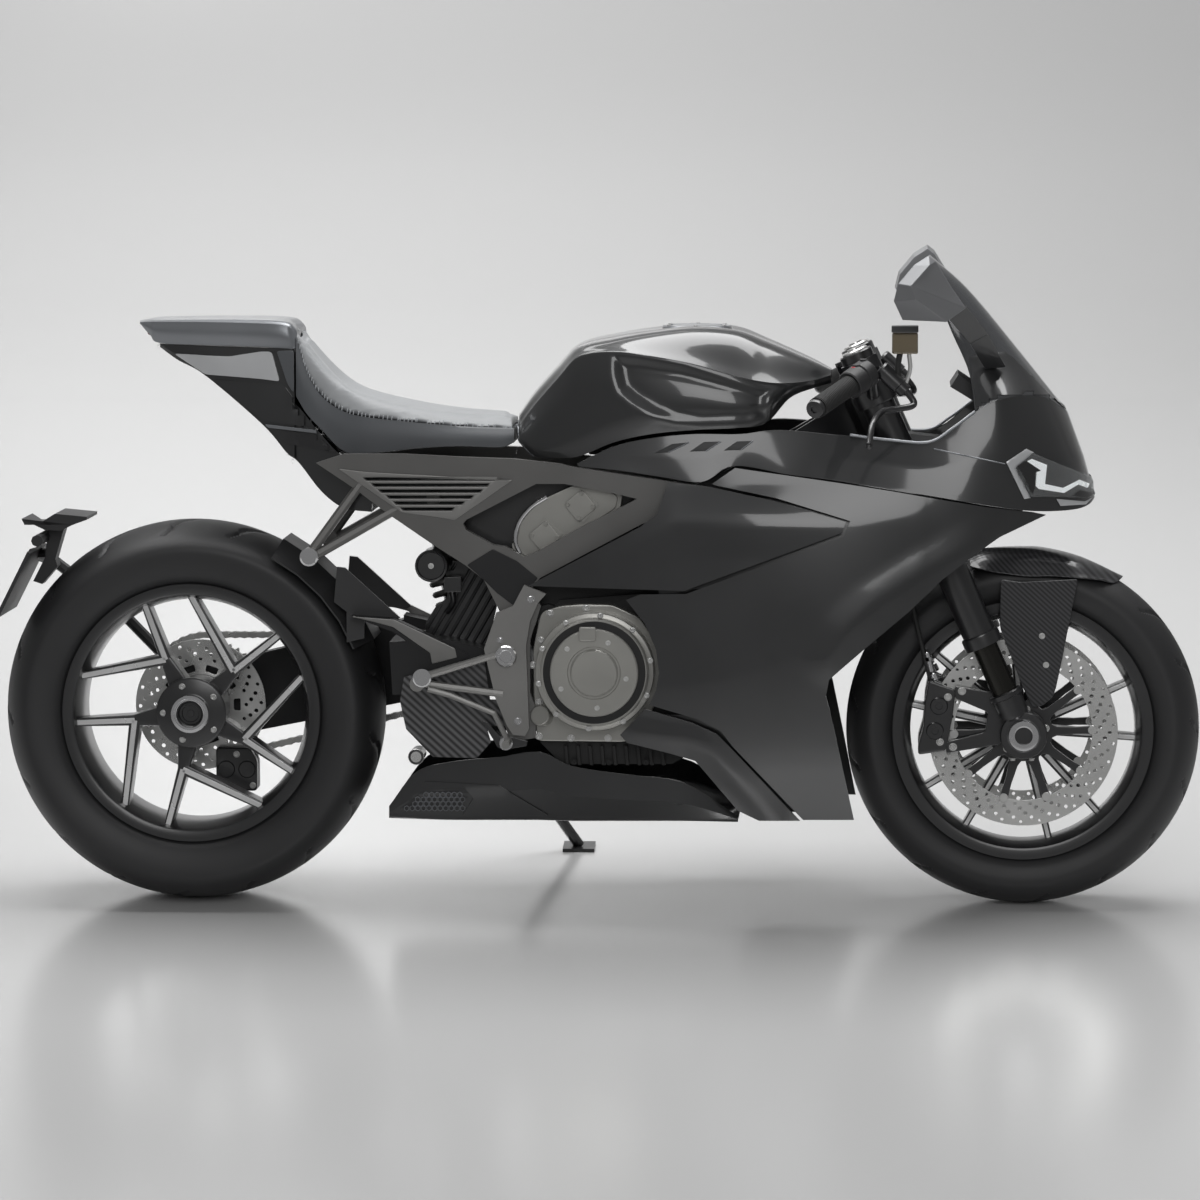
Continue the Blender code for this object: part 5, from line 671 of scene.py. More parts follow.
# Tyres
TYRE_TURNS = 240
REAR_TYRE_OUTER = (
    # radius, across
    (0.2168, 0.0755), (0.2212, 0.0757), (0.2290, 0.0850), (0.2360, 0.0905), (0.2480, 0.0955),
    (0.2600, 0.0985), (0.2720, 0.0999), (0.2820, 0.0990), (0.2910, 0.0935), (0.2990, 0.0850),
    (0.3065, 0.0735), (0.3130, 0.0600),
    (0.3185, 0.0455), (0.3225, 0.0310), (0.3251, 0.0155), (REAR_RADIUS, 0.0))
REAR_TYRE_INNER = ((0.3150, 0.0000), (0.3020, 0.0560), (0.2800, 0.0860), (0.2560, 0.0880), (0.2168, 0.0560))
FRONT_TYRE_OUTER = (
    (0.2168, 0.0440), (0.2212, 0.0442), (0.2280, 0.0500), (0.2350, 0.0545), (0.2450, 0.0580),
    (0.2560, 0.0598), (0.2650, 0.0580), (0.2730, 0.0535), (0.2805, 0.0470), (0.2870, 0.0392),
    (0.2925, 0.0300), (0.2965, 0.0205),
    (0.2991, 0.0100), (FRONT_RADIUS, 0.0))
FRONT_TYRE_INNER = ((0.2900, 0.0000), (0.2760, 0.0370), (0.2540, 0.0500), (0.2168, 0.0320))
GROOVE_DEPTH = 0.0035
GROOVE_PITCHES = 17
TREAD_WIDTH = 0.052


def groove(angle, share, mirrored):
    """Depth of the road tread, 0 to 1, at an angle round the tyre and a share of its half width."""
    where = share * (-1.0 if mirrored else 1.0)
    turn = (angle / (2 * math.pi) * GROOVE_PITCHES + (0.5 if where < 0 else 0.0)) % 1.0
    reach = abs(where)
    if reach < 0.06 or reach > 0.70:
        return 0.0
    line = 0.15 + 0.62 * (reach - 0.06) / 0.64 + 0.10 * math.sin(reach * 7.0)
    gap = abs(turn - line)
    wide = 0.055 if reach < 0.45 else 0.035
    return max(0.0, 1.0 - (gap / wide) ** 4) if gap < wide else 0.0


def tyre(name, body, centre, outer, inner, half_wide):
    """Road tyre with its tread cut in and a second finish on its sidewalls."""
    def half(rows):
        fine = with_corners([Vector((r, a, 0)) for r, a in rows], 3, (1,))
        return [(p[0], p[1]) for p in fine]
    side = half(outer)
    section = [(r, -a) for r, a in side] + [(r, a) for r, a in reversed(side[:-1])]
    back = half(inner)
    section += [(r, a) for r, a in reversed(back[1:])] + [(r, -a) for r, a in back]
    grid = []
    tread_from = min(r for r, a in outer if a < half_wide * 0.97 and r > 0.25)
    for number, (radius, across) in enumerate(section + [section[0]]):
        row = []
        outside = number < 2 * len(side) - 1
        for step in range(TYRE_TURNS * 2):
            angle = math.pi * step / TYRE_TURNS
            deep = 0.0
            if outside and radius > tread_from:
                deep = GROOVE_DEPTH * groove(angle, across / half_wide, centre.x < 0.5)
            r = radius - deep
            row.append(Vector((centre.x + r * math.cos(angle), across, centre.z + r * math.sin(angle))))
        grid.append(row)
    bm = grid_mesh(grid, closed=True)
    for face in bm.faces:
        middle = face.calc_center_median()
        if math.hypot(middle.x - centre.x, middle.z - centre.z) < centre.z - TREAD_WIDTH:
            face.material_index = 1
    made = piece(name, bm, body, TYRE, 28.0)
    made.data.materials.append(TYRE_SIDE)
    return made


def tyres():
    """Both tyres."""
    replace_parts(tyre("rear_tyre_road", "rear_wheel", REAR_AXLE, REAR_TYRE_OUTER, REAR_TYRE_INNER, 0.100),
                "rear_tyre")
    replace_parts(tyre("front_tyre_road", "front_wheel", FRONT_AXLE, FRONT_TYRE_OUTER, FRONT_TYRE_INNER, 0.060),
                "front_tyre")


tyres()

# Wheels
RIM_TURNS = 120
BARREL = (
    # radius, share of the half width
    (0.2205, 1.00), (0.2205, 0.94), (0.2160, 0.93), (0.2160, -0.93), (0.2205, -0.94), (0.2205, -1.00),
    (0.2150, -1.01), (0.2060, -0.99), (0.2020, -0.96), (0.1990, -0.85), (0.1930, -0.55), (0.1905, -0.30),
    (0.1905, 0.30), (0.1930, 0.55), (0.1990, 0.85), (0.2020, 0.96), (0.2060, 0.99), (0.2150, 1.01))
REAR_RIM_HALF = 0.082
FRONT_RIM_HALF = 0.0505


def barrel(centre, half):
    """Bmesh of a rim's barrel."""
    return wheel_ring(centre, [(r, max(-half, min(half, share * half))) for r, share in BARREL], RIM_TURNS)


def bar_between(one, two, wide_one, wide_two, y_one, y_two, edge=0.002):
    """Bmesh of a tapered spoke between two side-view points, with rounded edges."""
    along = Vector((two[0] - one[0], two[1] - one[1])).normalized()
    over = Vector((-along.y, along.x))
    outline = [
        (one[0] - over.x * wide_one, one[1] - over.y * wide_one),
        (two[0] - over.x * wide_two, two[1] - over.y * wide_two),
        (two[0] + over.x * wide_two, two[1] + over.y * wide_two),
        (one[0] + over.x * wide_one, one[1] + over.y * wide_one)]
    return plate([outline], y_one, y_two, edge)


REAR_VERTEX = (0.100, 44.5)
REAR_ARM_DEGS = (-3.0, 45.5)
REAR_ARM_END = 0.1985
REAR_HUB_ROWS = (
    # radius, across
    (0.0130, -0.078), (0.0190, -0.080), (0.0205, -0.096), (0.0225, -0.0980), (0.0300, -0.0980),
    (0.0312, -0.0960), (0.0312, -0.0830), (0.0340, -0.0820), (0.0560, -0.0800), (0.0600, -0.0770),
    (0.0600, -0.0640), (0.0560, -0.0560), (0.0520, 0.0300), (0.0520, 0.0450), (0.0446, 0.0450),
    (0.0446, 0.0560), (0.0290, 0.0560), (0.0290, 0.1880), (0.0270, 0.1900), (0.0150, 0.1900),
    (0.0140, 0.1800))
REAR_NUT_ROWS = (
    # radius, out to the right
    (0.0315, 0.0780), (0.0315, 0.0930), (0.0330, 0.0940), (0.0330, 0.0965), (0.0318, 0.0992),
    (0.0268, 0.0996), (0.0262, 0.0986), (0.0240, 0.0986), (0.0226, 0.0975), (0.0205, 0.0800), (0.0, 0.0800))
REAR_AXLE_END_ROWS = (
    (0.0200, 0.0798), (0.0200, 0.0850), (0.0190, 0.0862), (0.0150, 0.0862), (0.0140, 0.0830),
    (0.0060, 0.0828), (0.0055, 0.0845), (0.0, 0.0850))
SPOKES = 5
SPOKE_STEP_DEG = 360.0 / SPOKES


def rear_wheel():
    """Rear rim with five uneven V spokes whose outer faces are machined bright."""
    parts = [barrel(REAR_AXLE, REAR_RIM_HALF)]
    faces = []
    centre = (REAR_AXLE.x, REAR_AXLE.z)
    for step in range(SPOKES):
        angle = REAR_VERTEX[1] + step * SPOKE_STEP_DEG
        vertex = around(centre, REAR_VERTEX[0], angle)
        root = around(centre, 0.046, angle)
        parts.append(bar_between(root, around(centre, 0.107, angle), 0.0185, 0.0085, -0.0180, -0.0650, 0.004))
        for turn in REAR_ARM_DEGS:
            tip = around(centre, REAR_ARM_END, angle + turn)
            parts.append(bar_between(vertex, tip, 0.0095, 0.0068, -0.0200, -0.0655, 0.003))
            faces.append(bar_between(vertex, tip, 0.0045, 0.0042, -0.0650, -0.0664, 0.0004))
    parts.append(turned(REAR_AXLE, (0, 1, 0), REAR_HUB_ROWS, 64))
    made = merged("rear_rim_cast", parts, "rear_wheel", BLACK, 32.0)
    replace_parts(made, "rear_rim")
    merged("rear_rim_faces", faces, "rear_wheel", MACHINED, 32.0)
    nut = turned(REAR_AXLE, (0, -1, 0), REAR_NUT_ROWS, 60)
    piece("rear_nut", nut, "rear_wheel", CHROME, 30.0)
    end = turned(REAR_AXLE, (0, -1, 0), REAR_AXLE_END_ROWS, 48)
    piece("rear_axle_end", end, "rear_wheel", BLACK, 30.0)
    studs = [bolt(spot_on(centre, 0.0475, 36 + 72 * k, -0.0795), (0, -1, 0), 0.0045, 0.006) for k in range(5)]
    merged("rear_hub_studs", studs, "rear_wheel", STEEL)


def spot_on(centre, radius, angle_deg, across):
    """Point at a radius and angle round an axle, at a distance across."""
    x, z = around(centre, radius, angle_deg)
    return Vector((x, across, z))


FRONT_PAIR_DEG = 9.8
FRONT_PAIR_HALF_DEG = 14.2
FRONT_HUB_ROWS = (
    # radius, across
    (0.0135, -0.0620), (0.0320, -0.0620), (0.0340, -0.0600), (0.0340, -0.0350), (0.0390, -0.0200),
    (0.0400, 0.0), (0.0390, 0.0200), (0.0340, 0.0350), (0.0340, 0.0600), (0.0320, 0.0620), (0.0135, 0.0620))


def front_wheel():
    """Front rim with ten slim spokes in five pairs."""
    parts = [barrel(FRONT_AXLE, FRONT_RIM_HALF)]
    faces = []
    centre = (FRONT_AXLE.x, FRONT_AXLE.z)
    for step in range(SPOKES):
        middle = FRONT_PAIR_DEG + step * SPOKE_STEP_DEG
        for turn in (-FRONT_PAIR_HALF_DEG, FRONT_PAIR_HALF_DEG):
            tip = around(centre, REAR_ARM_END, middle + turn)
            root = around(centre, 0.030, middle + turn)
            parts.append(bar_between(root, tip, 0.0085, 0.0058, -0.0165, 0.0165, 0.003))
            for side in (-1, 1):
                inner = around(centre, 0.060, middle + turn)
                faces.append(bar_between(inner, tip, 0.0035, 0.0032, side * 0.0160, side * 0.0172, 0.0004))
    parts.append(turned(FRONT_AXLE, (0, 1, 0), FRONT_HUB_ROWS, 64))
    made = merged("front_rim_cast", parts, "front_wheel", BLACK, 32.0)
    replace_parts(made, "front_rim")
    merged("front_rim_faces", faces, "front_wheel", MACHINED, 32.0)


rear_wheel()
front_wheel()

# Brake discs
DISC_OUTER = 0.160
DISC_INNER = 0.117
DISC_MID = 0.0648
DISC_THICK = 0.0050
HOLE_ROWS = (
    # radius of the row, holes, their radius, share of a step they start at
    (0.1230, 30, 0.0030, 0.0), (0.1305, 30, 0.0036, 0.33), (0.1385, 30, 0.0036, 0.66),
    (0.1465, 30, 0.0032, 0.0), (0.1535, 30, 0.0028, 0.4))
REAR_HOLE_ROWS = (
    (0.0790, 20, 0.0032, 0.0), (0.0880, 20, 0.0036, 0.33), (0.0970, 20, 0.0036, 0.66),
    (0.1050, 20, 0.0032, 0.1))
CARRIER_FIRST_DEG = 2.0
CARRIER_ARM = (
    # radius, degrees from the arm's middle
    (0.050, -13.0), (0.058, -7.5), (0.090, -3.8), (0.113, -3.4), (0.118, 0.0), (0.113, 3.4), (0.090, 3.8),
    (0.058, 7.5), (0.050, 13.0))
BOBBIN_ROWS = (
    # radius, across
    (0.0030, -0.0050), (0.0072, -0.0050), (0.0078, -0.0044), (0.0078, 0.0044), (0.0072, 0.0050),
    (0.0030, 0.0050))


def drilled(centre, rows):
    """Outlines of rows of round holes."""
    holes = []
    for radius, count, hole, shift in rows:
        for k in range(count):
            holes.append(circle(around(centre, radius, 360.0 / count * (k + shift)), hole, 10))
    return holes


def front_disc(word, side):
    """Floating drilled disc on its black star carrier, with ten bobbins."""
    centre = (FRONT_AXLE.x, FRONT_AXLE.z)
    y_one = side * (DISC_MID - DISC_THICK / 2)
    y_two = side * (DISC_MID + DISC_THICK / 2)
    outlines = [circle(centre, DISC_OUTER, 180), circle(centre, DISC_INNER, 120)] + drilled(centre, HOLE_ROWS)
    disc = plate(outlines, y_one, y_two, 0.0003)
    made = piece(f"front_disc_drilled_{word}", disc, "front_wheel", STEEL, 30.0)
    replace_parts(made, f"front_disc_{word}")
    outline = []
    for k in range(10):
        angle = CARRIER_FIRST_DEG + 36.0 * k
        for radius, turn in CARRIER_ARM:
            outline.append(around(centre, radius, angle + turn))
    star = plate([outline, circle(centre, 0.0185, 40)], side * (DISC_MID - 0.0045),
                 side * (DISC_MID + 0.0045), 0.0010)
    piece(f"disc_carrier_{word}", star, "front_wheel", BLACK, 32.0)
    bobbins = []
    for k in range(10):
        at = spot_on(centre, 0.1170, CARRIER_FIRST_DEG + 36.0 * k, 0.0)
        bobbins.append(turned(at + Vector((0, side * DISC_MID, 0)), (0, 1, 0), BOBBIN_ROWS, 20))
    merged(f"disc_bobbins_{word}", bobbins, "front_wheel", STEEL)
    bolts = []
    for k in range(5):
        place = spot_on(centre, 0.0385, 10.0 + 72.0 * k, side * (DISC_MID + 0.0044))
        bolts.append(bolt(place, (0, side, 0), 0.0055, 0.005))
    merged(f"disc_bolts_{word}", bolts, "front_wheel", STEEL)


both(front_disc)


# Radius and degrees of the corners of a window
REAR_WINDOW = ((0.058, -10), (0.070, -9), (0.070, 9), (0.058, 10))


def rear_disc():
    """Rear disc with its drilled ring and ten windows."""
    centre = (REAR_AXLE.x, REAR_AXLE.z)
    holes = [circle(centre, 0.0460, 60)] + drilled(centre, REAR_HOLE_ROWS)
    for k in range(10):
        window = [around(centre, radius, 36 * k + turn) for radius, turn in REAR_WINDOW]
        holes.append(rounded(window, 0.003, 3))
    made = piece("rear_disc_drilled", plate([circle(centre, 0.1128, 160)] + holes, 0.0502, 0.0548, 0.0003),
                 "rear_wheel", STEEL, 30.0)
    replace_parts(made, "rear_disc")


rear_disc()


TEETH = 40
TOOTH = (
    # radius, degrees from the tooth's start
    (0.0953, 0.4), (0.0958, 1.8), (0.0985, 3.0), (0.1008, 3.9), (0.1008, 5.1), (0.0985, 6.0), (0.0958, 7.2),
    (0.0953, 8.6))
SPROCKET_NUT_ROWS = (
    # radius, out
    (0.030, 0.0), (0.038, 0.0), (0.038, 0.012), (0.034, 0.0165), (0.020, 0.0165), (0.018, 0.010),
    (0.0, 0.010))


def rear_sprocket():
    """Sprocket with teeth, round windows and bolts."""
    centre = (REAR_AXLE.x, REAR_AXLE.z)
    outline = []
    for k in range(TEETH):
        start = 360.0 / TEETH * k
        for radius, turn in TOOTH:
            outline.append(around(centre, radius, start + turn))
    holes = [circle(centre, 0.0295, 40)]
    holes += [circle(around(centre, 0.070, 72 * k + 36), 0.0155, 24) for k in range(5)]
    holes += [circle(around(centre, 0.083, 36 * k), 0.006, 14) for k in range(10)]
    made = piece("rear_sprocket_cut", plate([outline] + holes, 0.1652, 0.1708, 0.0008), "rear_wheel", STEEL,
                 30.0)
    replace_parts(made, "rear_sprocket")
    bolts = [bolt(spot_on(centre, 0.052, 72 * k, 0.1706), (0, 1, 0), 0.0065, 0.007) for k in range(5)]
    merged("sprocket_bolts", bolts, "rear_wheel", STEEL)
    nut = turned((0, 0.171, REAR_RADIUS), (0, 1, 0), SPROCKET_NUT_ROWS, 6)
    piece("sprocket_nut", nut, "rear_wheel", STEEL, 25.0)


rear_sprocket()

# Fuel tank
TANK_ROWS = (
    # px, then (py, half) down the right side: top, shoulder, crease, below crease, side, lower side, bottom
    (519, (414, 0), (416, 0.050), (424, 0.072), (427, 0.080), (432, 0.090), (437, 0.096), (441, 0.098)),
    (535, (391, 0), (394, 0.056), (403, 0.088), (407, 0.097), (425, 0.112), (444, 0.118), (456, 0.117)),
    (558, (365, 0), (368, 0.066), (377, 0.106), (381, 0.114), (405, 0.128), (440, 0.132), (458, 0.128)),
    (580, (343, 0), (346, 0.076), (355, 0.120), (359, 0.127), (388, 0.140), (430, 0.142), (456, 0.136)),
    (615, (334, 0), (338, 0.088), (351, 0.138), (355, 0.143), (384, 0.156), (420, 0.156), (442, 0.148)),
    (652, (329, 0), (333, 0.094), (356, 0.150), (360, 0.153), (384, 0.168), (414, 0.170), (434, 0.156)),
    (694, (326, 0), (330, 0.098), (364, 0.157), (368, 0.159), (388, 0.174), (412, 0.176), (430, 0.160)),
    (736, (330, 0), (334, 0.096), (376, 0.155), (379, 0.156), (394, 0.170), (412, 0.173), (428, 0.158)),
    (766, (340, 0), (345, 0.086), (382, 0.143), (384, 0.142), (396, 0.154), (408, 0.156), (423, 0.142)),
    (790, (350, 0), (354, 0.072), (383, 0.122), (384, 0.120), (388, 0.118), (392, 0.114), (398, 0.104)),
    (814, (360.5, 0), (363, 0.052), (380, 0.086), (381.5, 0.084), (384, 0.082), (386, 0.078), (388, 0.072)),
    (831, (369, 0), (370, 0.028), (375, 0.046), (376.5, 0.046), (379, 0.045), (381, 0.043), (383, 0.040)),
)


POCKET_PX = (
    (611, 353), (611, 375), (616, 393), (630, 405), (651, 418), (673, 426), (700, 428.5), (748, 427),
    (771, 421), (773, 388), (742, 379), (684, 362.5), (640, 355))
POCKET_DEEP = 0.013
POCKET_SLOPE_PX = 15.0
TANK_STRIP_PX = ((514.5, 424), (515.5, 434), (519, 442), (526, 451), (533, 458))


def dented(point):
    """Tank point pressed in where the photo shows the pocket in its side."""
    px, py = seen_at(Vector((point.x, -abs(point.y), point.z)))
    if not within(POCKET_PX, px, py):
        return point
    share = min(1.0, off_line(POCKET_PX + POCKET_PX[:1], px, py) / POCKET_SLOPE_PX)
    deep = POCKET_DEEP * share * share * (3.0 - 2.0 * share)
    return Vector((point.x, point.y - math.copysign(deep, point.y), point.z))


def tank():
    """Fuel tank: a bright-edged top over hollowed sides, with its filler."""
    rings = [[spot(px, py, half) for py, half in row] + [spot(px, row[-1][0], 0.0)] for px, *row in TANK_ROWS]
    grid = quilt(rings, 11, 9, (), (2, 6))
    whole = [[dented(p) for p in mirror_ring([Vector(p) for p in row])] for row in grid]
    bm = grid_mesh(whole, closed=True, caps=(True, True))
    tree = BVHTree.FromBMesh(bm)
    made = piece("tank_shell", bm, "chassis", BODY, 50.0)
    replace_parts(made, "fuel_tank")
    top = spot(697, 326, 0.0)
    ring = turned((top.x, 0.0, top.z), (0, 0, 1), (
        (0.0590, -0.012), (0.0590, -0.001), (0.0570, 0.0015), (0.0500, 0.0025), (0.0480, 0.0015),
        (0.0475, -0.0015), (0.0440, -0.0015),
        (0.0430, 0.0010), (0.0400, 0.0025), (0.0330, 0.0030), (0.0, 0.0035)), 72)
    piece("filler_cap", ring, "chassis", PALE_SATIN_AND_PAINTED_LIGHT, 30.0)
    bolts = [bolt(Vector((top.x + 0.0535 * math.cos(a), 0.0535 * math.sin(a), top.z + 0.0018)), (0, 0, 1),
                  0.0032, 0.0018)
             for a in (math.radians(60 * k + 30) for k in range(6))]
    merged("filler_bolts", bolts, "chassis", STEEL)
    return tree


TANK_TREE = tank()

# Seat
SEAT_ROWS = (
    # px, top py, half at shoulder line and its py, half at seam and its py
    (296, 325, 0.052, 326, 0.070, 329, 0.078, 337),
    (307, 343, 0.056, 344.5, 0.076, 349, 0.088, 372),
    (322, 362, 0.062, 364, 0.084, 370, 0.097, 396),
    (344, 384, 0.070, 386, 0.094, 391, 0.110, 411),
    (370, 396, 0.078, 398, 0.104, 403, 0.122, 417),
    (418, 407, 0.080, 409, 0.108, 413, 0.128, 422),
    (459, 412, 0.070, 414, 0.096, 417.5, 0.117, 425.5),
    (500, 414, 0.054, 416, 0.076, 419, 0.094, 427),
    (514, 414.5, 0.048, 416.5, 0.068, 419.5, 0.086, 427.5),
)
SEAT_BASE_ROWS = (
    # px, py and half at the seam, at the middle of the side, at the lower edge
    (296, 337, 0.080, 366, 0.090, 396, 0.094),
    (307, 372, 0.091, 392, 0.098, 414, 0.103),
    (322, 396, 0.101, 412, 0.108, 430, 0.113),
    (344, 411, 0.114, 430, 0.121, 451, 0.124),
    (370, 417, 0.125, 434, 0.132, 453, 0.134),
    (418, 422, 0.131, 435, 0.138, 448, 0.138),
    (459, 425.5, 0.120, 436, 0.130, 446, 0.132),
    (500, 427, 0.097, 437, 0.108, 447, 0.112),
    (514, 427.5, 0.089, 435, 0.097, 442, 0.100),
)
STITCH_PITCH = 0.0062
STITCH_RADIUS = 0.0009


def seat():
    """Leather pad over its base, with the stitched seam between them."""
    rings = []
    for px, top, w1, y1, w2, y2, w3, y3 in SEAT_ROWS:
        right = [spot(px, top, 0.0), spot(px, y1, w1), spot(px, y2, w2), spot(px, y3, w3),
                 spot(px, y3 + 1.0, w3 * 0.96),
                 spot(px, y3 + 1.5, 0.0)]
        rings.append(right)
    # The pad takes the lighter leather: painted light on the seat's top.
    pad = piece("seat_cushion", lofted(rings, 8, 5, (3, 4)), "chassis", LEATHER_PAINTED_LIGHT, 60.0)
    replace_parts(pad, "seat_pad")
    puffed(pad)
    tree = BVHTree.FromObject(pad, bpy.context.evaluated_depsgraph_get())
    rings = []
    for px, y1, w1, y2, w2, y3, w3 in SEAT_BASE_ROWS:
        rings.append([spot(px, y1 + 0.6, 0.0), spot(px, y1 + 0.6, w1), spot(px, y2, w2), spot(px, y3, w3),
                      spot(px, y3 + 0.5, 0.0)])
    base = piece("seat_sides", lofted(rings, 8, 6, (1, 3)), "chassis", LEATHER, 60.0)
    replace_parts(base, "seat_base")
    seams = []
    for side in (-1, 1):
        low = [spot(px, y3 + 0.6, w3 + 0.0008, side) for px, top, w1, y1, w2, y2, w3, y3 in SEAT_ROWS]
        line = through(low, 24)
        gone = 0.0
        for one, two in zip(line, line[1:]):
            gone += float(np.linalg.norm(two - one))
            if gone >= STITCH_PITCH:
                gone = 0.0
                along = Vector(two - one).normalized()
                near, normal, _, _ = tree.find_nearest(HOME @ Vector(two))
                middle = HOME.inverted() @ (near + normal * STITCH_RADIUS)
                rise = Vector((0.0, 0.0, 1.0))
                seams.append(tube([middle - rise * 0.0034 - along * 0.0005,
                                   middle + rise * 0.0034 + along * 0.0005],
                                  STITCH_RADIUS, sides=5, smooth=False))
    merged("seat_stitches", seams, "chassis", THREAD)


seat()

# Tail
COWL_ROWS = (
    # px, top py, then (py, half): shoulder, edge, side, lower
    (140, 320.5, (321, 0.040), (322, 0.056), (322.7, 0.0565), (323.5, 0.056)),
    (150, 318.6, (319.5, 0.046), (321.6, 0.064), (328, 0.0665), (335, 0.058)),
    (160, 317.8, (319, 0.050), (321.6, 0.069), (332, 0.070), (343, 0.062)),
    (206, 316.8, (318.5, 0.058), (322, 0.079), (334, 0.079), (345, 0.072)),
    (262, 316.8, (319, 0.064), (323.5, 0.086), (336, 0.086), (347, 0.079)),
    (286, 318.5, (321, 0.066), (326, 0.086), (338, 0.087), (349, 0.083)),
    (294, 323, (326, 0.066), (332, 0.078), (340, 0.082), (348.5, 0.083)),
    (297, 328, (330, 0.064), (336, 0.074), (342, 0.078), (348, 0.080)),
)


def tail_cowl():
    """Rear cowl with a sharp upper edge."""
    rings = []
    for px, top, *row in COWL_ROWS:
        between = [spot(px, py, half) for py, half in row]
        rings.append([spot(px, top, 0.0)] + between + [spot(px, row[-1][0], 0.0)])
    # The cowl takes the lighter copy of the body paint: painted light on its bright top.
    made = piece("tail_cowl_shell", lofted(rings, 8, 6, (2, 4)), "chassis", PALE_SATIN_AND_PAINTED_LIGHT, 40.0)
    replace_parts(made, "tail_cowl")


tail_cowl()

# Outside of the fairing: half widths over photo columns and rows
SIDE_COLUMNS = (520, 600, 680, 760, 840, 920, 980, 1040)
SIDE_ROWS = (
    # py, then the half width at each column
    (430, 0.148, 0.152, 0.160, 0.168, 0.176, 0.178, 0.166, 0.128),
    (480, 0.160, 0.172, 0.182, 0.192, 0.198, 0.194, 0.180, 0.138),
    (520, 0.166, 0.184, 0.200, 0.214, 0.216, 0.204, 0.184, 0.134),
    (580, 0.168, 0.190, 0.208, 0.224, 0.226, 0.208, 0.184, 0.130),
    (640, 0.170, 0.195, 0.214, 0.226, 0.228, 0.208, 0.184, 0.130),
    (700, 0.170, 0.195, 0.212, 0.220, 0.218, 0.200, 0.180, 0.130),
    (760, 0.158, 0.182, 0.196, 0.202, 0.198, 0.186, 0.170, 0.130),
    (830, 0.120, 0.145, 0.160, 0.166, 0.160, 0.150, 0.140, 0.120),
)
SIDE_PYS = tuple(row[0] for row in SIDE_ROWS)


def weights(value, stops):
    """Catmull-Rom weights of a value over stops: (index, weight) pairs."""
    value = min(max(value, stops[0]), stops[-1])
    i = max(k for k in range(len(stops) - 1) if value >= stops[k])
    t = (value - stops[i]) / (stops[i + 1] - stops[i])
    last = len(stops) - 1
    terms = ((i - 1, -0.5 * t + t * t - 0.5 * t ** 3), (i, 1 - 2.5 * t * t + 1.5 * t ** 3),
             (i + 1, 0.5 * t + 2 * t * t - 1.5 * t ** 3), (i + 2, -0.5 * t * t + 0.5 * t ** 3))
    return [(min(max(k, 0), last), w) for k, w in terms]


def side_half(px, py):
    """Smooth half width of the fairing at a photo pixel."""
    return sum(wx * wy * SIDE_ROWS[j][i + 1] for j, wy in weights(py, SIDE_PYS) for i,
               wx in weights(px, SIDE_COLUMNS))


def landing(tree, px, py, lift):
    """Point of a surface that is seen at a photo pixel, lifted off it."""
    aim = ray_to(px, py).normalized()
    place, normal, _, _ = tree.ray_cast(EYE, aim)
    if place is None:
        share = (VIEW_DISTANCE - 0.1) / -aim.dot(BACK)
        near, normal, _, _ = tree.find_nearest(EYE + aim * share)
        gone = (near - EYE).dot(aim)
        place = EYE + aim * gone
        place = near + (place - near) * 0.3
    if normal.dot(aim) > 0:
        normal = -normal
    return place + normal * lift


def patch(outline, place_at, side=-1, step=9.0):
    """Bmesh of a photo outline cut into small cells, each corner put where place_at says."""
    bm = bmesh.new()
    bm.faces.new([bm.verts.new((px, py, 0.0)) for px, py in outline])
    for axis in (0, 1):
        low = min(p[axis] for p in outline)
        high = max(p[axis] for p in outline)
        count = max(1, round((high - low) / step))
        for k in range(1, count):
            value = low + (high - low) * k / count
            where = (value, 0, 0) if axis == 0 else (0, value, 0)
            bmesh.ops.bisect_plane(bm, geom=bm.verts[:] + bm.edges[:] + bm.faces[:], dist=0.0001,
                                   plane_co=where,
                                   plane_no=(1, 0, 0) if axis == 0 else (0, 1, 0))
    for vert in bm.verts:
        place = place_at(vert.co.x, vert.co.y)
        vert.co = Vector((place.x, place.y if side < 0 else -place.y, place.z))
    bm.normal_update()
    if sum(face.normal.y * face.calc_area() for face in bm.faces) * side < 0:
        bmesh.ops.reverse_faces(bm, faces=bm.faces)
    return bm


def skin(outline, side, lift=0.0, bulge=None, step=9.0):
    """Patch of the fairing's outside."""
    def place_at(px, py):
        return spot(px, py, side_half(px, py) + lift + (bulge(px, py) if bulge else 0.0))
    return patch(outline, place_at, side, step)


def laid(name, tree, outline, lift, depth, material, side=-1, step=6.0, body="chassis", round_px=0.0):
    """Thin plate that lies on a surface, its outline given in photo pixels."""
    shape = rounded(outline, round_px, 3) if round_px else outline
    bm = patch(shape, lambda px, py: landing(tree, px, py, lift), side, step)
    made = piece(name, bm, body, material, 40.0)
    thick(made, depth)
    return made


LINE_STEPS = 6


def line_on(tree, pixels, lift, radius, side):
    """Bmesh of a fine bead along a photo line on a surface."""
    fine = through([Vector((px, py, 0)) for px, py in pixels], LINE_STEPS)
    points = [landing(tree, p[0], p[1], lift) for p in fine]
    if side > 0:
        points = [Vector((p.x, -p.y, p.z)) for p in points]
    return tube(points, radius, sides=6, smooth=False)


def ridge(pixels, height, width):
    """Bulge that is highest along a photo line and fades on both sides of it."""
    def bulge(px, py):
        return height * max(0.0, 1.0 - off_line(pixels, px, py) / width)
    return bulge


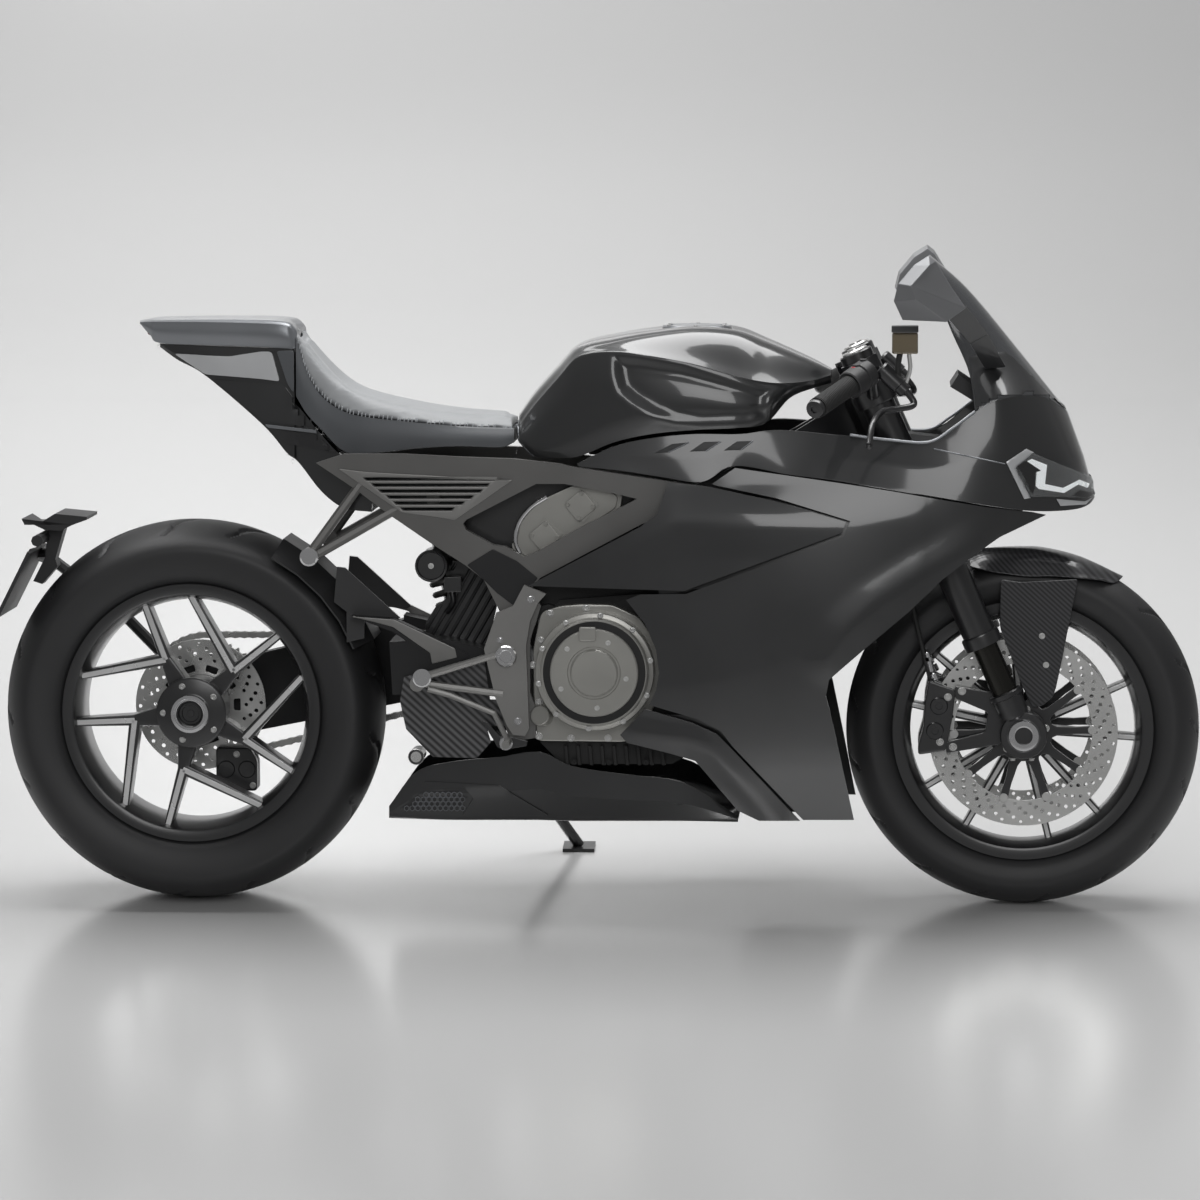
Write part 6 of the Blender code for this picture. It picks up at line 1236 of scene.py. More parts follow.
WING_PX = (
    (528, 586), (684, 591), (842, 533), (846, 522), (774, 501), (710, 487), (668, 482), (657, 514),
    (640, 527), (541, 579))
WING_RIDGE_PX = ((600, 566), (672, 520), (842, 527))
FAIRING_PX = (
    (712, 484), (735, 468), (790, 476), (839, 483), (890, 491), (936, 499), (985, 507), (1032, 512),
    (1046, 515), (1000, 537), (983, 549), (942, 580), (910, 611), (866, 648), (837, 673), (829, 680),
    (826, 696), (829, 707), (854, 820), (803, 820), (732, 746), (721, 731), (697, 719), (649, 705),
    (656, 690), (659, 673), (656, 650), (645, 624), (626, 600), (640, 594.5), (686, 594), (845, 536),
    (850, 521), (776, 498), (716, 485.5))
FAIRING_RIDGE_PX = ((1000, 529), (914, 578), (873, 604), (843, 633), (829, 663))
DUCT_PX = (
    (645, 709), (620, 735), (627, 743), (671, 754), (695, 761), (702, 769), (738, 811), (759, 821),
    (800, 821), (729, 746), (717, 734), (692, 723))
DUCT_RIDGE_PX = ((640, 735), (690, 742), (712, 752), (775, 818))


def side_skins(word, side):
    """Main side panel, the wing over it and the duct below it."""
    for name, outline, lift, bulge, width in (
            ("side_fairing", FAIRING_PX, 0.0, ridge(FAIRING_RIDGE_PX, 0.005, 26.0), 0.0030),
            ("side_wing", WING_PX, 0.0035, ridge(WING_RIDGE_PX, 0.005, 34.0), 0.0030),
            ("lower_duct", DUCT_PX, -0.004, ridge(DUCT_RIDGE_PX, 0.005, 16.0), 0.0030)):
        made = piece(f"{name}_skin_{word}", skin(outline, side, lift, bulge, 6.0), "chassis", BODY,
                     24.0)
        thick(made, width)
        bevelled(made, 0.0009, 2, 50.0)
        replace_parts(made, f"{name}_{word}")


both(side_skins)

# Nose, screen and headlights
NOSE_GRID = (
    # each column: (px, py, half) at the top edge, on the crease, at the lower edge
    ((577, 463.5, 0.150), (578, 465, 0.151), (579, 466.5, 0.152)),
    ((615, 446, 0.154), (617, 458, 0.158), (619, 470.5, 0.162)),
    ((652, 438, 0.158), (655, 456, 0.164), (658, 476.5, 0.168)),
    ((694, 434, 0.160), (698, 458, 0.168), (702, 482, 0.174)),
    ((740, 434, 0.160), (738, 450, 0.166), (734, 466, 0.170)),
    ((780, 430, 0.158), (785, 456, 0.174), (790, 475, 0.186)),
    ((850, 436, 0.160), (846, 458, 0.180), (839, 481, 0.198)),
    ((929, 443, 0.162), (932, 468, 0.180), (936, 497, 0.194)),
    ((975, 412, 0.156), (980, 460, 0.174), (985, 505, 0.184)),
    ((1005, 398, 0.150), (1018, 455, 0.155), (1032, 511, 0.152)),
    ((1040, 396, 0.100), (1058, 456, 0.112), (1070, 510, 0.108)),
    ((1062, 408, 0.045), (1078, 456, 0.060), (1088, 505, 0.062)),
    ((1068, 412, 0.0), (1084, 456, 0.0), (1095, 496, 0.0)),
)
SCREEN_GRID = (
    # each column: (px, py, half) from the top edge down
    ((928, 275, 0.070), (951, 330, 0.098), (969, 372, 0.124), (975, 411.7, 0.156)),
    ((928, 262, 0.064), (960, 318, 0.090), (986, 366, 0.117), (1005, 397.7, 0.150)),
    ((929, 257, 0.040), (968, 302, 0.064), (1008, 352, 0.080), (1040, 395.7, 0.100)),
    ((929.7, 255.5, 0.018), (969, 291.5, 0.030), (1018, 351, 0.038), (1062, 407.7, 0.045)),
    ((930, 255, 0.0), (968, 290, 0.0), (1021, 353, 0.0), (1068, 411.7, 0.0)),
)


def wrap(columns):
    """Columns of the right side followed by their twins on the left."""
    right = [[spot(px, py, half) for px, py, half in column] for column in columns]
    left = [[Vector((p.x, -p.y, p.z)) for p in column] for column in reversed(right[:-1])]
    return right + left


def outward(bm, centre):
    """Turns a surface's faces away from a point inside it."""
    bm.normal_update()
    total = sum((face.calc_center_median() - centre).dot(face.normal) * face.calc_area() for face in bm.faces)
    if total < 0:
        bmesh.ops.reverse_faces(bm, faces=bm.faces)
    return bm


INSIDE = Vector((1.25, 0.0, 0.74))


def nose():
    """Upper fairing with its crease, and the smoked screen on it."""
    bm = outward(grid_mesh(quilt(wrap(NOSE_GRID), 6, 8, (), (1,))), INSIDE)
    tree = BVHTree.FromBMesh(bm)
    made = piece("nose_shell", bm, "chassis", BODY, 24.0)
    thick(made, 0.003)
    bevelled(made, 0.0008, 2, 50.0)
    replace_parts(made, "upper_fairing")
    bm = outward(grid_mesh(quilt(wrap(SCREEN_GRID), 6, 8)), INSIDE)
    glass_tree = BVHTree.FromBMesh(bm)
    made = piece("screen_shell", bm, "chassis", SCREEN, 50.0)
    thick(made, 0.003)
    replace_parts(made, "windscreen")
    return tree, glass_tree


NOSE_TREE, SCREEN_TREE = nose()
LAMP_PX = ((1032, 453), (1060, 465), (1089, 477), (1096, 494), (1084, 499), (1063, 497), (1030, 497),
           (1014, 468))
LAMP_STRIP_PX = (
    (1025, 462), (1031, 459), (1046, 465), (1044, 484), (1062, 488), (1078, 480), (1088, 484), (1086, 488),
    (1077, 484.5), (1063, 493), (1038, 489), (1035, 486), (1036, 472), (1040, 471))
LAMP_RIM_PX = ((1006, 462), (1026, 449), (1033, 452.5), (1015, 468), (1030, 498), (1024, 499))
LAMP_SHADES_PX = (
    ((1016, 466), (1025, 461), (1039, 470.5), (1033.5, 472.5), (1033.5, 488.5), (1031, 494), (1023, 476)),
    ((1070, 496), (1078, 490.5), (1091, 493.5), (1084.5, 498.5)))
LAMP_CHIN_PX = ((1056, 499), (1084, 501.5), (1091, 498), (1085, 504.5), (1060, 506))


def lamps(word, side):
    """Headlight: dark bowl, light guide, clear cover and pale rim."""
    laid(f"lamp_bowl_{word}", NOSE_TREE, LAMP_PX, 0.0008, 0.0008, BLACK, side)
    glass = laid(f"lamp_cover_{word}", NOSE_TREE, LAMP_PX, 0.0042, 0.0012, GLASS, side)
    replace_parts(glass, f"headlight_{word}")
    laid(f"lamp_guide_{word}", NOSE_TREE, LAMP_STRIP_PX, 0.0026, 0.0012, WHITE, side, 3.0)
    laid(f"lamp_rim_{word}", NOSE_TREE, LAMP_RIM_PX, 0.0024, 0.0024, VANE, side, 5.0)
    laid(f"lamp_chin_{word}", NOSE_TREE, LAMP_CHIN_PX, 0.0022, 0.0012, VANE, side, 4.0)
    for number, shade in enumerate(LAMP_SHADES_PX):
        laid(f"lamp_shade_{number}_{word}", NOSE_TREE, shade, 0.0054, 0.0008, BLACK, side, 3.0)


both(lamps)

# Tail body under the cowl and beside the seat
UNDER_ROWS = (
    # px, upper py, lower py, half at each
    (160, 343, 347, 0.062, 0.058), (178, 344, 360, 0.066, 0.062), (206, 345, 376, 0.072, 0.070),
    (262, 347, 424, 0.080, 0.086), (286, 348, 452, 0.084, 0.092), (294.5, 349, 458.5, 0.086, 0.096))
UNDER_BACK_ROWS = (
    (290, 399, 455, 0.082, 0.088), (300, 408, 464, 0.093, 0.096), (322, 435, 492, 0.110, 0.112),
    (344, 456, 508, 0.122, 0.124), (372, 458, 512, 0.130, 0.130))


def tail_part(rows):
    """Closed bmesh of a row of tail sections."""
    rings = []
    for px, upper, lower, w_upper, w_lower in rows:
        rings.append([spot(px, upper + 0.5, 0.0), spot(px, upper + 0.5, w_upper),
                      spot(px, (upper + lower) / 2, (w_upper + w_lower) / 2 + 0.002),
                      spot(px, lower, w_lower),
                      spot(px, lower, 0.0)])
    return lofted(rings, 6, 5, (1, 3))


def tail_body():
    """Tail underside, which the panels on its flanks are laid on."""
    whole = joined([tail_part(UNDER_ROWS), tail_part(UNDER_BACK_ROWS)])
    tree = BVHTree.FromBMesh(whole)
    made = piece("tail_under", whole, "chassis", BODY, 30.0)
    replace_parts(made, "tail_body")
    return tree


TAIL_TREE = tail_body()
TAIL_PANELS = (
    # name, finish, lift, photo outline
    ("tail_recess", PLASTIC, 0.0022, ((163, 345.5), (285, 349.5), (285, 351), (262, 352), (230, 357.5),
                                      (206, 357), (176, 353.5))),
    ("tail_vane", VANE, 0.0042, ((175, 353), (206, 374), (262, 379), (280, 381.5), (272, 352), (262, 351.5),
                                 (230, 356.5),
                                (206, 355.5))),
    ("tail_flank", BODY, 0.0032, ((213, 379), (284, 385), (292, 396), (318, 428), (264, 421))),
    ("tail_lip", PALE_SATIN_AND_PAINTED_LIGHT, 0.0036, ((265, 424), (320, 430.5), (324, 434), (268, 427.5))),
    ("tail_slot", PLASTIC, 0.0020, ((269, 428.5), (326, 436), (342, 451.5), (333, 451), (288, 444))),
    ("seat_flank", LEATHER, 0.0052, ((277, 351), (294, 350.5), (294.5, 393), (288, 384))),
)


def tail_panels(word, side):
    """Panels that stand off the tail's flanks."""
    for name, material, lift, outline in TAIL_PANELS:
        made = laid(f"{name}_{word}", TAIL_TREE, outline, lift, 0.0030, material, side, 6.0, "chassis", 3.0)
        bevelled(made, 0.0006, 2, 50.0)


both(tail_panels)

# Belly pan
BELLY_ROWS = (
    # px, upper py, lower py, half at each
    (389, 806, 818, 0.095, 0.080), (416, 772, 819, 0.112, 0.085), (450, 762, 820, 0.122, 0.088),
    (500, 757, 820, 0.132, 0.090), (540, 752, 820, 0.138, 0.092), (572, 766, 821, 0.142, 0.094),
    (630, 775, 821, 0.146, 0.094), (685, 783, 821, 0.148, 0.092), (738, 816, 822, 0.120, 0.090))
BELLY_PANEL_PX = ((424, 781), (499, 785), (509, 791), (549, 815), (462, 815), (474, 797), (463, 787),
                  (425, 788))
BELLY_OUTLET_PX = ((401, 808), (421, 792), (459, 791), (468, 797), (459, 808))


def belly():
    """Belly pan with a raised panel and its honeycomb outlet."""
    rings = []
    for px, upper, lower, w_upper, w_lower in BELLY_ROWS:
        right = [spot(px, upper, w_upper), spot(px, upper + (lower - upper) * 0.55, w_upper + 0.001),
                 spot(px, lower - 3, w_lower + 0.010), spot(px, lower, w_lower), spot(px, lower, 0.0)]
        rings.append(right + [Vector((p.x, -p.y, p.z)) for p in reversed(right[:-1])])
    bm = outward(grid_mesh(quilt(rings, 6, 5, (), (1, 3, 4, 5, 7))), spot(560, 780, 0.0))
    tree = BVHTree.FromBMesh(bm)
    made = piece("belly_shell", bm, "chassis", BODY, 30.0)
    thick(made, 0.003)
    bevelled(made, 0.0008, 2, 60.0)
    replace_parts(made, "belly_pan")
    for word, side in (("right", -1), ("left", 1)):
        made = laid(f"belly_panel_{word}", tree, BELLY_PANEL_PX, 0.0022, 0.0022, BODY, side, 8.0, "chassis",
                    2.0)
        bevelled(made, 0.0006, 2, 50.0)
        laid(f"belly_outlet_{word}", tree, BELLY_OUTLET_PX, 0.0006, 0.0006, PLASTIC, side, 8.0)
        cells = []
        for row in range(4):
            for column in range(12):
                px = 404 + column * 5.6 + (row % 2) * 2.8
                py = 794.5 + row * 4.4
                if 406 + (808 - py) * 1.1 < px < 464:
                    ring = [landing(tree, px + 2.6 * math.cos(math.radians(60 * k + 30)),
                                    py + 2.6 * math.sin(math.radians(60 * k + 30)), 0.0016) for k in range(7)]
                    ring = [Vector((p.x, p.y if side < 0 else -p.y, p.z)) for p in ring]
                    cells.append(tube(ring, 0.0007, sides=5, smooth=False))
        merged(f"belly_honeycomb_{word}", cells, "chassis", PALE_SATIN_AND_PAINTED_LIGHT)


belly()

# Front fender
FENDER_ROWS = (
    # crown px and py, fold px and py, half at the fold
    (968, 552, 970, 566, 0.054), (985, 548, 989, 571, 0.066), (1022, 546.5, 1026, 576, 0.0695),
    (1046, 548, 1052, 576, 0.0695), (1082, 557, 1082, 578, 0.066), (1123, 576, 1104, 579, 0.050))
FENDER_LEG_PX = (
    (1001, 579), (1021, 582), (1078, 579), (1073, 604), (1062, 660), (1056, 688), (1053, 697), (1042, 706),
    (1033, 708), (1023, 688), (1000, 628), (1000, 613))


def fender():
    """Woven fender: arched crown, turned-down edges and two blades to the fork."""
    rings = []
    for px, py, fold_px, fold_py, half in FENDER_ROWS:
        crown = spot(px, py, 0.0)
        fold = spot(fold_px, fold_py, half)
        shoulder = Vector((crown.x + (fold.x - crown.x) * 0.45, -0.045 * half / 0.0695, crown.z - 0.008))
        right = [fold, shoulder, crown]
        rings.append(right + [Vector((p.x, -p.y, p.z)) for p in reversed(right[:-1])])
    middle = Vector((WHEELBASE, 0.0, FRONT_RADIUS))
    made = piece("fender_crown", outward(grid_mesh(quilt(rings, 8, 8)), middle), "steering", CARBON,
                 40.0)
    thick(made, 0.003)
    bevelled(made, 0.0008, 2, 60.0)
    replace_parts(made, "front_fender")
    blades = []
    bolts = []
    for side in (-1, 1):
        outline = rounded(flat(FENDER_LEG_PX, 0.0742), 0.006, 4)
        blades.append(plate([outline], side * 0.0728, side * 0.0758, 0.0010))
        for px, py in ((1042, 636), (1046, 665)):
            bolts.append(bolt(spot(px, py, 0.0758, side), (0, side, 0), 0.0042, 0.0030))
    merged("fender_blades", blades, "steering", CARBON, 40.0)
    merged("fender_bolts", bolts, "steering", STEEL)


fender()

# Fork legs with their feet, calipers and hoses
LUG_PX = ((955, 686), (992, 692), (1010, 716), (1000, 744), (946, 753), (946, 742), (985, 732), (988, 712),
          (955, 698))
CALIPER_PX = ((929, 680), (956, 690), (952, 720), (946, 751), (918, 755), (918, 746), (923, 729), (925, 701))
BRIDGE_PX = ((930, 683), (943, 687), (937, 706), (933, 726), (931, 744), (929, 752), (920, 753), (920, 746),
             (925, 729), (927, 702))
CALIPER_BOLTS_PX = ((948, 697), (940, 742))
CALIPER_PISTONS_PX = ((939, 706), (935, 731))
FOOT_BOLTS_PX = ((962, 691), (953, 747))
PINCH_BOLTS = (-0.018, 0.014)
# Turned profiles: radius, and height up the fork or distance out
FORK_TUBE_ROWS = (
    (0.0265, 0.1645), (0.0330, 0.1650), (0.0330, 0.1830), (0.0318, 0.1860), (0.0285, 0.1870),
    (0.0285, 0.4240), (0.0285, 0.7030), (0.0270, 0.7050), (0.0200, 0.7050))
FORK_CAP_ROWS = (
    (0.0225, 0.7040), (0.0225, 0.7075), (0.0205, 0.7095), (0.0120, 0.7095), (0.0115, 0.7125), (0.0, 0.7125))
SLIDER_ROWS = ((0.0215, 0.0650), (0.0215, 0.1660))
FORK_FOOT_ROWS = (
    (0.0200, 0.0300), (0.0240, 0.0340), (0.0250, 0.0400), (0.0250, 0.0680), (0.0285, 0.0700),
    (0.0285, 0.0770), (0.0270, 0.0790), (0.0217, 0.0790))
AXLE_CLAMP_ROWS = (
    (0.0300, 0.0780), (0.0385, 0.0790), (0.0400, 0.0810), (0.0400, 0.1205), (0.0380, 0.1235),
    (0.0290, 0.1240))
AXLE_NUT_ROWS = (
    (0.0290, 0.1230), (0.0270, 0.1265), (0.0250, 0.1295), (0.0190, 0.1300), (0.0150, 0.1295),
    (0.0140, 0.1270), (0.0140, 0.1180), (0.0, 0.1180))
PISTON_ROWS = ((0.0150, 0.0), (0.0150, 0.0030), (0.0135, 0.0045), (0.0060, 0.0045), (0.0055, 0.0035),
               (0.0, 0.0035))
HOSE_PX = ((932, 686), (923, 650), (914, 612), (909, 575), (910, 540), (914, 509.5))
HOSE_HALVES = (0.068, 0.068, 0.070, 0.070, 0.062, 0.050)


def fork_leg(word, side):
    """Upside-down fork leg, its foot with the axle clamp, and the caliper on its lugs."""
    across = side * FORK_HALF
    base = on_fork(0.0, across)
    made = piece(f"fork_tube_{word}", turned(base, FORK_UP, FORK_TUBE_ROWS, 48), "steering", BLACK,
                 30.0)
    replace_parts(made, f"fork_{word}")
    piece(f"fork_cap_{word}", turned(base, FORK_UP, FORK_CAP_ROWS, 32), "steering", STEEL, 30.0)
    piece(f"fork_slider_{word}", turned(base, FORK_UP, SLIDER_ROWS, 48), "steering", FORK_TUBE, 30.0)
    foot = [turned(base, FORK_UP, FORK_FOOT_ROWS, 40)]
    foot.append(turned(FRONT_AXLE, (0, side, 0), AXLE_CLAMP_ROWS, 48))
    foot.append(plate([rounded(flat(LUG_PX, 0.084), 0.004, 3)], side * 0.0790, side * 0.0890, 0.0012))
    merged(f"fork_foot_{word}", foot, "steering", BLACK, 32.0)
    piece(f"axle_nut_{word}", turned(FRONT_AXLE, (0, side, 0), AXLE_NUT_ROWS, 40), "steering", CHROME,
          30.0)
    pinch = []
    for fore in PINCH_BOLTS:
        pinch.append(bolt((WHEELBASE + fore, side * 0.108, FRONT_RADIUS - 0.0395), (0, 0, -1), 0.0045,
                          0.0045))
    for px, py in FOOT_BOLTS_PX:
        pinch.append(bolt(spot(px, py, 0.0890, side), (0, side, 0), 0.0055, 0.0045))
    merged(f"foot_bolts_{word}", pinch, "steering", STEEL)
    outline = rounded(flat(CALIPER_PX, 0.090), 0.006, 4)
    body = [plate([outline], side * 0.0732, side * 0.0900, 0.0030),
            plate([outline], side * 0.0440, side * 0.0565, 0.0025),
            plate([rounded(flat(BRIDGE_PX, 0.065), 0.003, 3)], side * 0.0550, side * 0.0745, 0.0015)]
    for px, py in CALIPER_PISTONS_PX:
        at = spot(px, py, 0.0900, side)
        body.append(turned(at - Vector((0, side * 0.002, 0)), (0, side, 0), PISTON_ROWS, 28))
    made = merged(f"caliper_body_{word}", body, "steering", BLACK, 32.0)
    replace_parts(made, f"caliper_{word}")
    bolts = [bolt(spot(px, py, 0.0895, side), (0, side, 0), 0.0052, 0.0050) for px, py in CALIPER_BOLTS_PX]
    merged(f"caliper_bolts_{word}", bolts, "steering", STEEL)
    path = [spot(px, py, half, side) for (px, py), half in zip(HOSE_PX, HOSE_HALVES)]
    piece(f"brake_hose_{word}", tube(path, 0.0040, steps=10, sides=12), "steering", RUBBER, 40.0)
    ends = [rod(spot(936, 680, 0.068, side), spot(933, 673, 0.068, side), 0.0075, chamfer=0.001),
            rod(spot(932, 672, 0.068, side), spot(927, 652, 0.068, side), 0.0055, chamfer=0.001),
            rod(spot(929.5, 661, 0.068, side), spot(928.5, 657, 0.068, side), 0.0072, sides=6,
                chamfer=0.0005)]
    merged(f"hose_fitting_{word}", ends, "steering", CHROME)


both(fork_leg)

# Handlebars
RESERVOIR_PX = ((892, 354), (918, 354), (918, 333), (892, 333))
RESERVOIR_CAP_PX = ((891.5, 332.6), (918.5, 332.6), (918.5, 326), (891.5, 326))
LEVER_PX = ((904, 388), (914, 404), (898, 409), (882, 412), (873, 424), (869, 445))
LEVER_HALVES = (0.190, 0.192, 0.215, 0.250, 0.300, 0.330)
LEVER_BALL_ROWS = ((0.0, -0.0038), (0.0045, -0.0028), (0.0062, 0.0), (0.0045, 0.0045), (0.0, 0.0060))
BAR_CLAMP_ROWS = (
    # radius, height up the fork
    (0.0288, 0.6100), (0.0350, 0.6100), (0.0365, 0.6120), (0.0365, 0.6480), (0.0350, 0.6500),
    (0.0288, 0.6500))
GRIP_RIBS = 26
GRIP_FLANGE_ROWS = (
    # radius, distance out from the grip's root
    (0.0120, -0.001), (0.0215, -0.001), (0.0215, 0.0025), (0.0165, 0.0040))
BAR_WEIGHT_ROWS = (
    # radius, distance out from the grip's end
    (0.0110, -0.012), (0.0150, -0.0115), (0.0158, -0.0095), (0.0158, -0.0035), (0.0145, -0.0010),
    (0.0060, 0.0), (0.0055, -0.0030), (0.0, -0.0030))


def bars(word, side):
    """Clip-on bar: clamp, tube, ribbed grip with its weight, switches, master cylinder and lever."""
    clamp = turned(on_fork(0.0, side * FORK_HALF), FORK_UP, BAR_CLAMP_ROWS, 48)
    inner = on_fork(0.630, side * (FORK_HALF + 0.0325))
    root = spot(852, 384, 0.225, side)
    tip = spot(814, 410, 0.345, side)
    end = spot(868, 372, 0.195, side)
    along = (tip - root).normalized()
    parts = [clamp, tube([inner, end, root], 0.0115, steps=8, sides=20)]
    made = merged(f"bar_tube_{word}", parts, "steering", BLACK, 32.0)
    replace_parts(made, f"bar_{word}")
    length = (tip - root).length
    rows = list(GRIP_FLANGE_ROWS)
    pitch = (length - 0.022) / GRIP_RIBS
    for k in range(GRIP_RIBS):
        at = 0.008 + (length - 0.022) * k / GRIP_RIBS
        rows += [(0.0172, at), (0.0172, at + pitch * 0.6), (0.0163, at + pitch * 0.7),
                 (0.0163, at + pitch * 0.95)]
    rows += [(0.0170, length - 0.012), (0.0120, length - 0.012)]
    piece(f"grip_{word}", turned(root, along, rows, 36), "steering", RUBBER, 30.0)
    weight = [(wide, length + out) for wide, out in BAR_WEIGHT_ROWS]
    piece(f"bar_weight_{word}", turned(root, along, weight, 32), "steering", BLACK, 30.0)
    back = (end - root).normalized()
    span = (end - root).length
    box_rows = ((0.0130, -0.006), (0.0225, -0.006), (0.0240, -0.004), (0.0240, span * 0.45),
                (0.0215, span * 0.5),
                (0.0240, span * 0.55), (0.0240, span - 0.002), (0.0220, span), (0.0120, span))
    switches = [turned(root, back, box_rows, 28)]
    up = Vector((0, 0, 1))
    for k, place in enumerate((0.25, 0.72)):
        at = root + back * span * place
        switches.append(rod(at + up * 0.020, at + up * 0.0275, 0.0065, chamfer=0.001))
        aside = back.cross(up).normalized()
        switches.append(rod(at - aside * 0.018, at - aside * 0.0270, 0.0075, chamfer=0.001))
    merged(f"switches_{word}", switches, "steering", PLASTIC, 32.0)
    at = root + back * span * 0.12 + up * 0.0225
    piece(f"button_{word}", rod(at, at + up * 0.0035, 0.0042, chamfer=0.0008), "steering", RED)
    low = spot(880, 368, 0.190, side)
    high = spot(906, 392, 0.190, side)
    reach = (high - low).length
    master_rows = ((0.0100, 0.0), (0.0130, 0.001), (0.0150, 0.004), (0.0150, reach * 0.72),
                   (0.0125, reach * 0.75),
                   (0.0125, reach - 0.002), (0.0100, reach))
    merged(f"master_{word}", [turned(low, high - low, master_rows, 28)], "steering", BLACK, 32.0)
    lever = [spot(px, py, half, side) for (px, py), half in zip(LEVER_PX, LEVER_HALVES)]
    ball = turned(lever[-1] - Vector((0, 0, 0.0035)), (0, 0, 1), LEVER_BALL_ROWS, 14)
    parts = [tube(lever, 0.0058, steps=10, sides=14, tip=0.0050), ball]
    merged(f"lever_{word}", parts, "steering", BLACK, 40.0)
    if side < 0:
        pot = plate([rounded(flat(RESERVOIR_PX, 0.212), 0.003, 4)], -0.182, -0.212, 0.003)
        piece("reservoir_pot", pot, "steering", AMBER, 40.0)
        cap = plate([rounded(flat(RESERVOIR_CAP_PX, 0.212), 0.0015, 3)], -0.1812, -0.2128, 0.0015)
        piece("reservoir_cap", cap, "steering", BLACK, 40.0)
        hose = [spot(900, 353, 0.197), spot(898, 366, 0.195), spot(899, 380, 0.192)]
        piece("reservoir_hose", tube(hose, 0.0050, sides=12), "steering", RUBBER)
        arm = [spot(909, 354, 0.197), spot(910, 370, 0.192), spot(904, 388, 0.190)]
        piece("reservoir_arm", tube(arm, 0.0035, sides=10), "steering", STEEL)


both(bars)

# Engine covers
CLUTCH_PX = (594, 673)
CLUTCH_ROWS = (
    # radius, out
    (0.0990, 0.1300), (0.1000, 0.1320), (0.1000, 0.1835), (0.0985, 0.1860), (0.0925, 0.1870),
    (0.0905, 0.1885), (0.0895, 0.1935), (0.0875, 0.1950), (0.0760, 0.1955), (0.0745, 0.1965),
    (0.0735, 0.2010), (0.0715, 0.2025), (0.0450, 0.2030), (0.0435, 0.2015), (0.0405, 0.2015),
    (0.0390, 0.2035), (0.0370, 0.2050), (0.0, 0.2058))
CLUTCH_STUDS_PX = ((567, 649), (608, 643), (626, 679), (597, 708), (561, 689))
CLUTCH_RING_ROWS = ((0.0740, 0.1950), (0.0740, 0.1975), (0.0860, 0.1970), (0.0862, 0.1945))
CLUTCH_BOLTS = 0.0955
HATCH_PX = ((579, 627), (596, 627), (596, 641), (579, 641))
FILLER_ROWS = ((0.0150, -0.004), (0.0150, 0.012), (0.0170, 0.0125), (0.0170, 0.0190), (0.0155, 0.0205),
               (0.0, 0.0205))
CASE_PX = (
    (541, 612), (560, 606), (583, 604), (612, 605), (640, 618), (658, 645), (662, 680), (652, 712),
    (640, 737), (624, 742), (537, 741), (534, 700), (533, 650))
RIB = 0.003
CASE_BOLTS_PX = ((550, 613), (586, 608), (533, 665), (539, 702), (539, 736), (571, 738), (608, 738),
                 (541, 640))


def engine():
    """Clutch cover, case with its bolts, a hatch boss, oil filler and sump ribs."""
    middle = spot(*CLUTCH_PX, 0.200)
    axle = Vector((middle.x, 0.0, middle.z))
    made = piece("clutch_dome", turned(axle, (0, -1, 0), CLUTCH_ROWS, 96), "chassis", ENGINE,
                 28.0)
    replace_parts(made, "clutch_cover")
    piece("clutch_ring", turned(axle, (0, -1, 0), CLUTCH_RING_ROWS, 96), "chassis", ENGINE_DARK, 28.0)
    bolts = []
    for k in range(10):
        angle = math.radians(36 * k + 12)
        place = (axle.x + CLUTCH_BOLTS * math.cos(angle), -0.1862, axle.z + CLUTCH_BOLTS * math.sin(angle))
        bolts.append(bolt(place, (0, -1, 0), 0.0042, 0.0042))
    bolts += [bolt(spot(px, py, 0.2026), (0, -1, 0), 0.0036, 0.0026) for px, py in CLUTCH_STUDS_PX]
    bolts += [bolt(spot(px, py, 0.1500), (0, -1, 0), 0.0050, 0.0050) for px, py in CASE_BOLTS_PX]
    case = plate([rounded(flat(CASE_PX, 0.150), 0.010, 5)], -0.1284, -0.1500, 0.0020)
    merged("engine_case", [case], "chassis", ENGINE, 32.0)
    hatch = [spot(px, py, 0.203) for px, py in HATCH_PX]
    boss = plate([rounded([(p.x, p.z) for p in hatch], 0.004, 4)], -0.1950, -0.2075, 0.0012)
    filler = turned(spot(544, 717, 0.150), (-0.30, -0.90, 0.25), FILLER_ROWS, 28)
    merged("engine_bosses", [boss, filler], "chassis", ENGINE, 32.0)
    merged("engine_bolts", bolts, "chassis", STEEL)
    ribs = []
    for k in range(9):
        one = spot(566 + k * 12.0, 745, 0.128)
        two = spot(568 + k * 12.0, 764, 0.118)
        rib = [(one.x - RIB, one.z), (one.x + RIB, one.z), (two.x + RIB, two.z), (two.x - RIB, two.z)]
        ribs.append(plate([rib], -0.136, -0.100, 0.001))
    ribs += [bolt(spot(px, 762, 0.137), (0, -1, 0), 0.0045, 0.004) for px in (574, 609, 646)]
    merged("sump_ribs", ribs, "chassis", ENGINE_DARK)


engine()

# Chain of separate links
CHAIN_PITCH = 0.015875
CHAIN_ACROSS = 0.168
CHAIN_BIG = 0.1093
CHAIN_SMALL = 0.0328
CHAIN_PIN_ROWS = (
    # radius, out
    (0.0026, -0.0078), (0.0026, -0.0044), (0.0050, -0.0042), (0.0050, 0.0042), (0.0026, 0.0044),
    (0.0026, 0.0078))
CHAIN_INNER = ((-0.0058, -0.0044), (0.0044, 0.0058))
CHAIN_OUTER = ((-0.0074, -0.0060), (0.0060, 0.0074))
LINK_END = 0.0062
LINK_WAIST = 0.0046
DRIVE = Vector((0.635, 0.0, 0.405))


